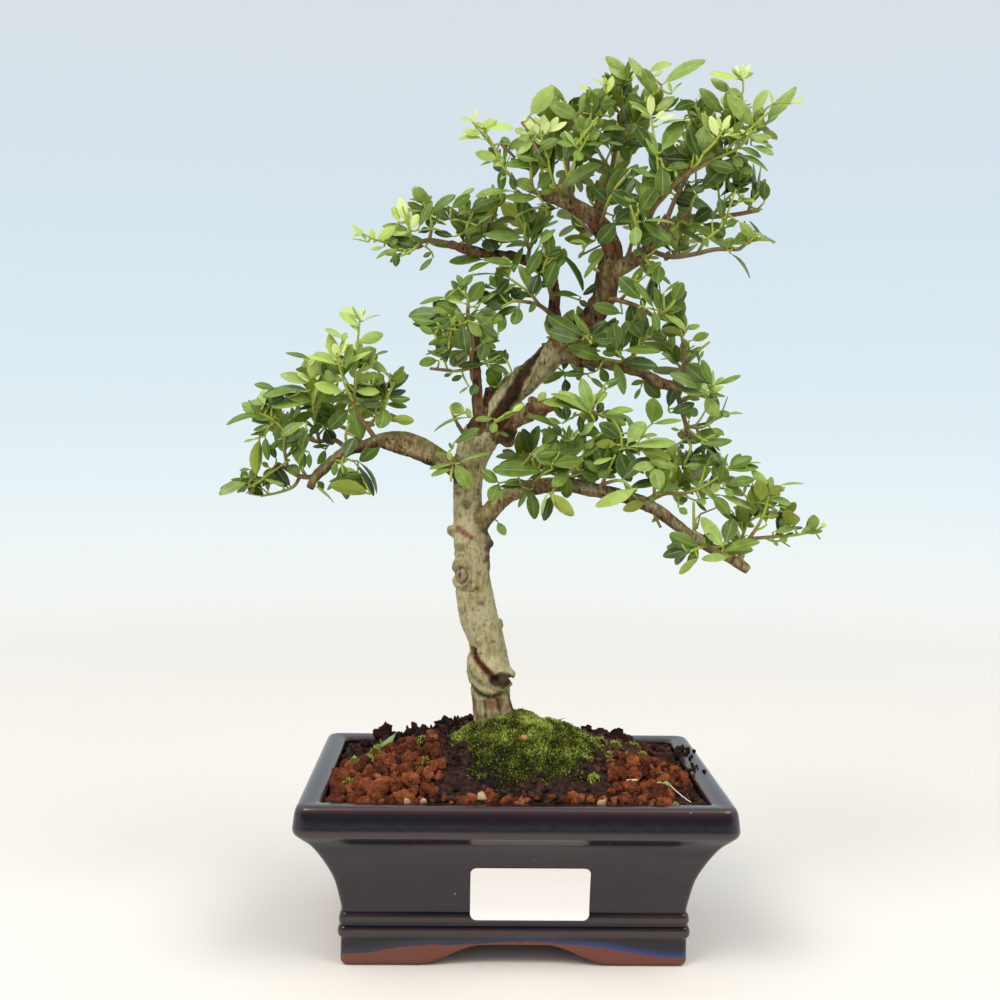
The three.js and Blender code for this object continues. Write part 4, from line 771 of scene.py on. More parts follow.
# Main branches, which grow out of the trunk as one piece with it: x, y, z and radius.
LIMBS = {
  "left": [
    [-24, 3, 221, 4.8], [-32, 0, 227, 4.5], [-39, -2, 232, 4.2], [-47, -4, 237, 4.1], [-55, -6, 240, 3.9],
    [-63, -8, 240, 3.7], [-68, -9, 239, 3.4], [-75, -8, 236, 3], [-81, -6, 235, 2.9], [-87, -4, 231, 2.9],
    [-94, -3, 225, 2.8], [-98, -3, 221, 2.5], [-101, -3, 215, 2.1],
  ],
  "left_strand": [
    [-37, -3, 227, 2.4], [-45, -6, 231, 2.6], [-53, -9, 234, 2.6], [-61, -10, 236, 2.4], [-67, -9, 238, 1.9],
  ],
  "middle_left": [
    [-18, 0, 244, 3.8], [-19, -3, 252, 3.3], [-20, -5, 260, 3], [-20, -6, 268, 2.5], [-20.4, -6, 278, 2],
    [-20.6, -6, 287, 1.7], [-20.8, -6, 294, 1.4],
  ],
  "middle_stub": [[-15, 2, 246, 3.2], [-15, 2, 256, 2.7], [-14, 1, 266, 2.3]],
  "lower_middle": [
    [-11, 0, 245, 4.8], [-2, -6, 250, 4.3], [7, -11, 254, 3.9], [14, -15, 257, 3.4], [22, -19, 260, 2.8],
  ],
  "right": [
    [-21, 1, 197, 5], [-13, -2, 205, 4.6], [-6, -5, 212, 4.3], [1, -8, 216, 4], [11, -11, 218, 3.8],
    [23, -14, 219, 3.6], [35, -16, 217, 3.4], [47, -18, 215, 3.3], [58, -20, 212, 3.2], [68, -21, 207, 3.1],
    [77, -22, 200, 2.9], [87, -23, 193, 2.7], [96, -24, 188, 2.6], [104, -25, 184, 2.5],
    [110, -26, 180, 2.3],
  ],
  "right_stub": [[104, -25, 184, 2], [108, -25, 188, 1.7]],
  "right_middle": [
    [19, 8, 285, 4.2], [28, 4, 281, 3.7], [36, 2, 279, 3.2], [45, 0, 278, 3], [54, -2, 276, 2.9],
    [62, -4, 273, 2.8], [69, -5, 269, 2.8], [75, -6, 267, 2.6], [78, -6, 263, 2.3],
  ],
  "upper_left": [
    [22, 10, 288, 3.8], [19, 12, 297, 3.4], [18, 14, 306, 3.1], [18, 14, 314, 3], [16, 12, 321, 2.9],
    [12, 10, 325, 2.8], [5, 8, 328, 2.7], [-2, 6, 330, 2.6], [-11, 4, 331, 2.5], [-19, 2, 331, 2.3],
    [-28, 0, 333, 2.1], [-35, -2, 335, 1.9],
  ],
  "apex_left": [
    [38, -1, 346, 4.3], [31, -4, 351, 3.9], [24, -6, 354, 3.4], [16, -8, 356, 2.9], [9, -10, 358, 2.3],
  ],
  "apex_up": [[37, -1, 346, 4], [39, 4, 354, 3.3], [41, 8, 360, 2.8]],
  "apex_right": [
    [43, 1, 322, 4.6], [50, -2, 325, 3.8], [55, -4, 328, 3.6], [61, -6, 332, 3.4], [65, -8, 337, 3.1],
    [68, -8, 343, 2.8], [71, -6, 349, 2.4],
  ],
}

# Knobs, healed cuts and a pruned snag on the bark: x, y, z, radius, and flattening from front to back.
KNOBS = [
  [-25.5, -6.5, 176, 4.6, 0.7],
  [-31.5, 1, 195, 2.8, 1],
  [-14.5, 0, 191, 3, 1],
  [-9.5, -1, 150, 3.4, 0.8],
  [-6, -8, 123, 4.6, 0.55],
  [-1.5, -4, 126, 2.4, 1],
  [-9.5, -3, 97, 9.6, 0.9],
  [0, -3, 97, 8, 1],
  [7, -11, 259, 2.6, 1],
  [-5, -5, 250, 3.4, 1],
  [37, 3, 297, 3.2, 1],
  [-5.6, -1, 241, 4.4, 1],
  [-3.2, -2.5, 245.5, 3.2, 1],
  [-4.6, -3, 110, 4.4, 0.8],
]

# Marks of age on the front of the bark. Lines of x and z, with a width, how far the skin moves there and
# how dark it is: the twisted groove and its ridge near the foot, a crease, cracks, flakes, a slit knot
# The dark of the sunken lines is painted shade in their grooves; the dark of the raised crease is the bark's
# own colour.
SEAMS = [
    ([(-20.6, 137.1), (-18.7, 133), (-15.6, 129.4), (-12.5, 126.3), (-9.8, 123.3)], 1.3, -1.7, 0.9),
    ([(-17.6, 134.6), (-14, 130.6), (-10.5, 128), (-6.5, 127.4)], 1.2, 0.7, 0.0),
    ([(-21, 119.4), (-16.9, 115.9), (-11.8, 114.6), (-6.7, 115.8), (-2.4, 119)], 1.0, -1.8, 0.95),
    ([(-20.1, 121.6), (-15.9, 118.2), (-9.8, 117), (-5, 118.4)], 1.1, 0.9, 0.0),
    ([(-23, 129), (-20.5, 124), (-16.5, 121.5)], 0.8, -0.7, 0.5),
    ([(-27.3, 168.3), (-24.3, 166.6), (-20.7, 166.9), (-17.6, 168.4)], 0.55, -0.7, 0.55),
    ([(-30, 185.4), (-27, 186.4), (-23.4, 185), (-21, 181)], 0.6, -0.5, 0.4),
    ([(-14.8, 112.8), (-13.7, 104)], 0.8, -1.3, 0.85),
    ([(-7.7, 113.4), (-5.5, 104.5)], 0.8, -1.4, 0.85),
    ([(-2.6, 116.1), (0.6, 106)], 0.8, -1.2, 0.8),
    ([(-11, 111.5), (-10.4, 106)], 0.6, -0.8, 0.7),
    ([(-26.9, 178), (-27.2, 173)], 0.5, -1.0, 0.95),
    ([(-14.6, 197), (-14, 188.1), (-12.4, 181.9), (-12.8, 177.5)], 1.5, 0.7, 0.75),
    ([(-24.5, 203), (-26.5, 212), (-27, 220)], 0.5, -0.3, 0.3),
    ([(-13, 160), (-12, 154), (-9, 148)], 0.5, -0.3, 0.3),
]
# Spots of x, z and radius, how far the skin moves there, how dark it is and how green with algae
# The dark of the deep pit is painted shade; the dark of the raised spots is the bark's own colour.
SPOTS = [
    (-20.6, 136.3, 1.9, -2.8, 1.0, 0.0), (-7.6, 149.1, 2.6, 0.8, 0.3, 0.2),
    (-24.8, 208.4, 2.4, 0.3, 0.35, 1.0), (-27.8, 202.7, 1.6, 0.2, 0.4, 1.0),
    (-19.1, 200.3, 1.8, 0.2, 0.3, 0.9), (-28.4, 213.9, 1.5, 0.3, 0.5, 0.6),
    (-27.1, 187.9, 2.0, 0.3, 0.2, 0.9), (-17.5, 161.4, 1.4, 0.2, 0.3, 0.8),
    (-25.7, 157.2, 2.2, 0.3, 0.2, 0.8), (-31, 195, 2.6, 0.3, 0.1, 0.9), (-11.6, 188.6, 2.4, 0.4, 0.6, 0.0),
    (5.8, 255.8, 2.6, 0.9, 0.8, 0.0), (-4.8, 243, 4.4, 0.9, 0.9, 0.0), (-9.5, 240.2, 2.6, 0.7, 0.7, 0.1),
    (-12.6, 187.6, 3.4, 0.5, 0.85, 0.0), (-13.4, 182, 2.2, 0.3, 0.8, 0.0), (-17, 249, 3.4, 0.8, 0.6, 0.0),
    (-26.5, 226, 2.0, 0.5, 0.5, 0.3), (-18, 141, 2.2, 0.4, 0.0, 0.7), (-15, 124, 3.4, 0.8, 0.0, 0.8),
]


def tube(line, radii, around):
    """Rings square to a line: ahead is the line's slope, side is square to it and to a fixed way, and a ring
    is middle + radius (side cos a + other sin a)."""
    ahead = np.gradient(line, axis=0)
    ahead /= np.linalg.norm(ahead, axis=1, keepdims=True)
    fixed = np.eye(3)[np.argmin(np.abs(line[-1] - line[0]))]
    side = np.cross(fixed, ahead)
    side /= np.linalg.norm(side, axis=1, keepdims=True)
    other = np.cross(ahead, side)
    turn = 2 * np.pi * np.arange(around) / around
    circle = np.cos(turn)[:, None] * side[:, None] + np.sin(turn)[:, None] * other[:, None]
    rows = line[:, None] + np.reshape(radii, (-1, 1, 1)) * circle
    return rows, ahead, side, other


shapes, stations = [], []
for limb, points in enumerate([TRUNK, *LIMBS.values()]):
    spine = smooth_line(points, 1.5)
    around = 40 if limb == 0 else 20
    rows, ahead, side, other = tube(spine[:, :3], spine[:, 3], around)
    turn = 2 * np.pi * np.arange(around) / around
    steps = np.arange(len(spine))[:, None] * 1.5
    ridges = 1 + 0.05 * np.sin(3 * turn + steps / 14 + limb) + 0.03 * np.sin(5 * turn - steps / 10)
    rows = spine[:, None, :3] + (rows - spine[:, None, :3]) * ridges[..., None]
    shapes.append(skin(rows))
    run = np.arange(len(spine)) * 1.5 + 211.0 * limb
    number = np.full((len(spine), 1), float(limb))
    stations.append(np.hstack([spine[:, :3], ahead, side, other, run[:, None], number, spine[:, 3:]])[::2])
for x, y, z, radius, depth in KNOBS:
    knob = lumps([[0, 0, 0]], [radius], 16, 24, 0.08, 51)
    knob["points"] = knob["points"] * [1, depth, 1] + [x, y, z]
    shapes.append(knob)
wood = piece("trunk_and_branches", shapes, [], ["trunk"])
joined = wood.modifiers.new("grown together", "REMESH")
joined.mode = "VOXEL"
joined.voxel_size = 0.00078
softened = wood.modifiers.new("softened forks", "SMOOTH")
softened.factor = 0.5
softened.iterations = 6
bpy.context.view_layer.update()
wood.data = bpy.data.meshes.new_from_object(wood.evaluated_get(bpy.context.evaluated_depsgraph_get()))
wood.modifiers.clear()

# Bark relief on the joined skin. Each point takes its place round and along the nearest stretch of
# branch, so that the furrows run with the wood: long furrows, fine cracks across, and rough scales.
mesh = wood.data
count = len(mesh.vertices)
skin_points = np.empty(3 * count)
mesh.vertices.foreach_get("co", skin_points)
skin_points = (skin_points.reshape(-1, 3) - POT_MIDDLE) * 1000
outward = np.empty(3 * count)
mesh.vertex_normals.foreach_get("vector", outward)
outward = outward.reshape(-1, 3)
stations = np.vstack(stations)
nearest = np.concatenate([
    np.argmin(((part[:, None] - stations[None, :, :3]) ** 2).sum(-1) / (1 + stations[None, :, 14]), axis=1)
    for part in np.array_split(skin_points, 60)
])
at = stations[nearest]
apart = skin_points - at[:, :3]
along = at[:, 12] + np.einsum("ij,ij->i", apart, at[:, 3:6])
aside = np.einsum("ij,ij->i", apart, at[:, 6:9])
beside = np.einsum("ij,ij->i", apart, at[:, 9:12])
limb = at[:, 13].astype(int)
height = skin_points[:, 2]

names = ["trunk", *LIMBS]


def on(*chosen):
    """True for the points of the bark whose nearest branch has one of the names."""
    return np.isin(limb, [names.index(name) for name in chosen])


def from_line(places, step):
    """How far each point of the bark is, seen from the front, from a line through places of x and z."""
    spots = smooth_line([[x, 0, z] for x, z in places], step)[:, [0, 2]]
    return np.min([np.linalg.norm(flat - spot, axis=1) for spot in spots], axis=0)


smoothness = np.where(on("trunk"), ease(height, 256, 218), 0.1)
smoothness[on("left")] = 0.75
smoothness[on("left_strand", "right", "apex_right")] = 0.6
smoothness[on("middle_left")] = 0.3
rough = 1 - smoothness
lengthwise = np.stack([aside, beside, along * 0.28], -1)
crosswise = np.stack([aside * 0.5, beside * 0.5, along * 1.6], -1)
furrows = 1 - np.abs(layers(lengthwise, 3.2, 2, 61)) * 2
cracks = np.maximum(noise(crosswise, 1.5, 65) - 0.45, 0)
scales = layers(skin_points, 3.4, 3, 71)
relief = (0.12 + 0.62 * rough) * 0.55 * layers(lengthwise, 4.5, 3, 67)
grooved = (0.15 + 0.45 * rough) * np.maximum(furrows - 0.55, 0)
relief += (0.1 + 0.5 * rough) * scales * 0.6 - grooved - 0.5 * cracks
relief += rough * 0.9 * np.maximum(noise(skin_points, 5.0, 74) - 0.2, 0)
relief += 0.16 * noise(skin_points, 1.2, 79) * on("trunk")

front = ease(outward[:, 1], 0.35, 0.0)
flat = skin_points[:, [0, 2]]
dark = np.zeros(count)
algae = 0.35 * on("trunk") * ease(height, 250, 180) + 0.5 * on("trunk") * ease(height, 130, 104)
algae = algae + 0.85 * on("left") * ease(outward[:, 2], -0.1, 0.5)
algae = algae + 0.7 * on("right") * ease(outward[:, 2], 0.0, 0.6) * ease(flat[:, 0], 20, 0)
for line, width, out, shade in SEAMS:
    apart = from_line(line, 0.8) + 0.5 * noise(skin_points, 1.6, 81)
    share = front * hump(apart, 0, width)
    relief += out * share
    dark = np.maximum(dark, shade * share)
for x, z, radius, out, shade, green in SPOTS:
    apart = np.linalg.norm(flat - [x, z], axis=1) + 1.1 * noise(skin_points, 2.2, 82)
    share = front * ease(apart, 1.25 * radius, 0.6 * radius)
    relief += out * share
    dark = np.maximum(dark, shade * share)
    algae = np.maximum(algae, green * share)

# The healed knot, an oval plug in two uneven rings of new wood, and the dark cut face low on the right
oval = np.linalg.norm((flat - [-26.6, 174.4]) / [2.9, 4.2], axis=1) + 0.1 * noise(skin_points, 3.4, 83)
relief += front * (0.5 * ease(oval, 0.95, 0.7) - 0.9 * hump(oval, 1.02, 0.14))
relief += front * (1.2 * hump(oval, 1.5, 0.3) - 0.5 * hump(oval, 2.05, 0.16))
healed = front * ease(oval, 1.0, 0.85)
# Painted shade in the groove round the plug
dark = np.maximum(dark, 0.6 * front * hump(oval, 1.04, 0.12))
algae = np.maximum(algae, 0.9 * front * hump(oval, 1.55, 0.35))
cut = np.linalg.norm((flat - [-6.4, 122.9]) / [5.3, 3.9], axis=1) + 0.1 * noise(skin_points, 2.4, 87)
relief += front * (0.8 * hump(cut, 1.12, 0.16) - 1.3 * ease(cut, 1.0, 0.85))
shade = 0.88 + 0.12 * ease(flat[:, 0] - flat[:, 1], -127, -124)
dark = np.maximum(dark, front * ease(cut, 1.05, 0.9) * shade)

# The scar on the upper left side of the leaning part: a sunken strip with a raised lip on each side
apart = from_line([(-10.5, 248), (-4.2, 259.5), (1.6, 271), (6.5, 280), (10, 287)], 1.0)
apart = apart + 0.9 * noise(skin_points, 3.0, 77) + 1.6 * ease(height, 262, 285)
scar = front * ease(apart, 4.2, 3.2)
relief += -1.2 * scar + 0.9 * front * hump(apart, 4.5, 0.8) - 0.5 * scar * np.abs(scales)
skin_points = skin_points + outward * relief[:, None]
mesh.vertices.foreach_set("co", (skin_points * 0.001 + POT_MIDDLE).ravel())
mesh.polygons.foreach_set("use_smooth", np.ones(len(mesh.polygons), bool))

# Marks for the bark's colours: how light it is; how green with algae; how dark, which is painted shade in
# furrows, cracks, grooves and pits and the bark's own dark red-brown on the scar, old cuts and dark spots;
# and how much raw pinkish or rust-red wood shows
light = np.where(on("trunk"), 0.93 - 0.12 * ease(height, 215, 262) - 0.42 * ease(height, 280, 296), 0.36)
light[on("apex_right", "left", "left_strand")] = 0.58
light[on("apex_left")] = 0.5
light[on("right_middle")] = 0.48
light[on("right", "right_stub")] = 0.66
light[on("lower_middle")] = 0.52
# Painted shade: the undersides of the long left and right branches are darker
light = light - 0.22 * on("left", "left_strand", "right") * ease(outward[:, 2], 0.1, -0.6)
# Painted shade darkens the furrows and cracks; the scar's dark is its own colour. The dark of the lines and
# spots joins them.
shade_and_dark_bark = np.clip(np.maximum(furrows - 0.7, 0) * (0.25 + 0.9 * rough) + 1.2 * cracks + 0.95 * scar, 0, 1)
shade_and_dark_bark = np.maximum(shade_and_dark_bark, dark)
spots = [(-28, 197), (-26, 195), (-24, 193.6), (-22, 192.6)]
streak = np.min([np.linalg.norm(flat - spot, axis=1) for spot in spots], axis=0)
raw = np.maximum(healed, 0.45 * front * ease(streak + 0.7 * noise(skin_points, 1.6, 84), 2.2, 0.8))
flaky = rough * ease(layers(skin_points, 2.8, 2, 85), -0.05, 0.6) * ease(height, 232, 250)
flaky = flaky * np.where(on("trunk"), ease(height, 279, 292), 1.0)
flaky = flaky * np.where(on("apex_left"), ease(flat[:, 0], 22, 33), 1.0)
raw = np.maximum(raw, 0.36 * flaky)
band = from_line([(-19.2, 134.5), (-16, 130.6), (-12.6, 127), (-10.2, 123.6)], 0.8)
raw = np.maximum(raw, 0.5 * front * ease(band + 0.5 * noise(skin_points, 1.6, 86), 2.3, 1.3))
plates = ease(height, 116, 112) * ease(noise(skin_points, 4.0, 88), -0.1, 0.35)
raw = np.maximum(raw, 0.4 * front * plates)
layer = mesh.attributes.new("marks", "FLOAT_COLOR", "POINT")
layer.data.foreach_set("color", np.stack([light, np.clip(algae, 0, 1), shade_and_dark_bark, raw], -1).ravel())

# Holly bark: thin and smooth while young, matt, grey-tan with olive algae. Old cuts and the torn strip
# are dark red-brown, and the same dark brown is painted into furrows, cracks and grooves as shade. Fleck and
# lenticel patterns are 0.8 to 3 mm wide.
bark, tree, shader = finish_of("weathered holly bark")
place = add(tree, "TexCoord", out="Object")
record = add(tree, "Attribute", attribute_name="marks", out=None)
marks = add(tree, "SeparateColor", {0: record.outputs["Color"]}, out=None)
stretched = add(tree, "Mapping", {"Vector": place, "Scale": (1.0, 1.0, 0.4)})
flecks = add(tree, "TexNoise", {"Vector": stretched, "Scale": 520.0, "Detail": 5.0, "Roughness": 0.7})
broad = add(tree, "TexNoise", {"Vector": place, "Scale": 75.0, "Detail": 3.0})
shift = add(tree, "MapRange", {0: broad, 1: 0.3, 2: 0.7, 3: -0.16, 4: 0.16})
tone = add(tree, "Math", {0: marks.outputs["Red"], 1: shift}, operation="ADD")
speckle = add(tree, "MapRange", {0: flecks, 1: 0.32, 2: 0.68, 3: -0.28, 4: 0.22})
tone = add(tree, "Math", {0: tone, 1: speckle}, operation="ADD")
pores = add(tree, "TexVoronoi", {"Vector": stretched, "Scale": 420.0})
speck = add(tree, "MapRange", {0: pores, 1: 0.1, 2: 0.28, 3: -0.3, 4: 0.0})
tone = add(tree, "Math", {0: tone, 1: speck}, operation="ADD")
bark_stops = [
    (0.0, "#190f09"), (0.2, "#3f2b1b"), (0.45, "#6f5a3b"), (0.7, "#968a60"),
    (0.95, "#bcb08a"),
]
bare_bark = add(tree, "ValToRGB", {"Fac": tone}, bark_stops)
growth = add(tree, "TexNoise", {"Vector": place, "Scale": 140.0, "Detail": 4.0})
patchy = add(tree, "MapRange", {0: growth, 1: 0.35, 2: 0.62, 3: 0.25, 4: 1.0})
cover = add(tree, "Math", {0: patchy, 1: marks.outputs["Green"]}, operation="MULTIPLY")
olive = add(tree, "MixRGB", {"Fac": flecks, "Color1": "#444619", "Color2": "#7d7a3c"})
grown_over = add(tree, "MixRGB", {"Fac": cover, "Color1": bare_bark, "Color2": olive})
bared = add(tree, "ValToRGB", {"Fac": record.outputs["Alpha"]}, [(0.5, "#87503a"), (1.0, "#b89f88")])
dappled = add(tree, "MapRange", {0: flecks, 1: 0.3, 2: 0.7, 3: 0.45, 4: 1.0})
raw_wood = add(tree, "MixRGB", {"Fac": dappled, "Color1": "#452a1b", "Color2": bared})
open_share = add(tree, "MapRange", {0: record.outputs["Alpha"], 1: 0.0, 2: 0.5})
opened = add(tree, "MixRGB", {"Fac": open_share, "Color1": grown_over, "Color2": raw_wood})
# Dark brown for painted shade in the bark's hollows and for its dark scars and cuts
shade_and_dark_bark_colour = add(tree, "MixRGB", {"Fac": flecks, "Color1": "#140b07", "Color2": "#4a2716"})
finished = add(tree, "MixRGB", {"Fac": marks.outputs["Blue"], "Color1": opened, "Color2": shade_and_dark_bark_colour})
plug(tree, shader, {
    "Base Color": finished,
    "Roughness": add(tree, "MapRange", {0: flecks, 3: 0.7, 4: 0.92}),
    "Specular IOR Level": 0.2,
    "Normal": add(tree, "Bump", {"Height": flecks, "Strength": 0.8, "Distance": 0.001}),
})
mesh.materials.clear()
mesh.materials.append(bark)

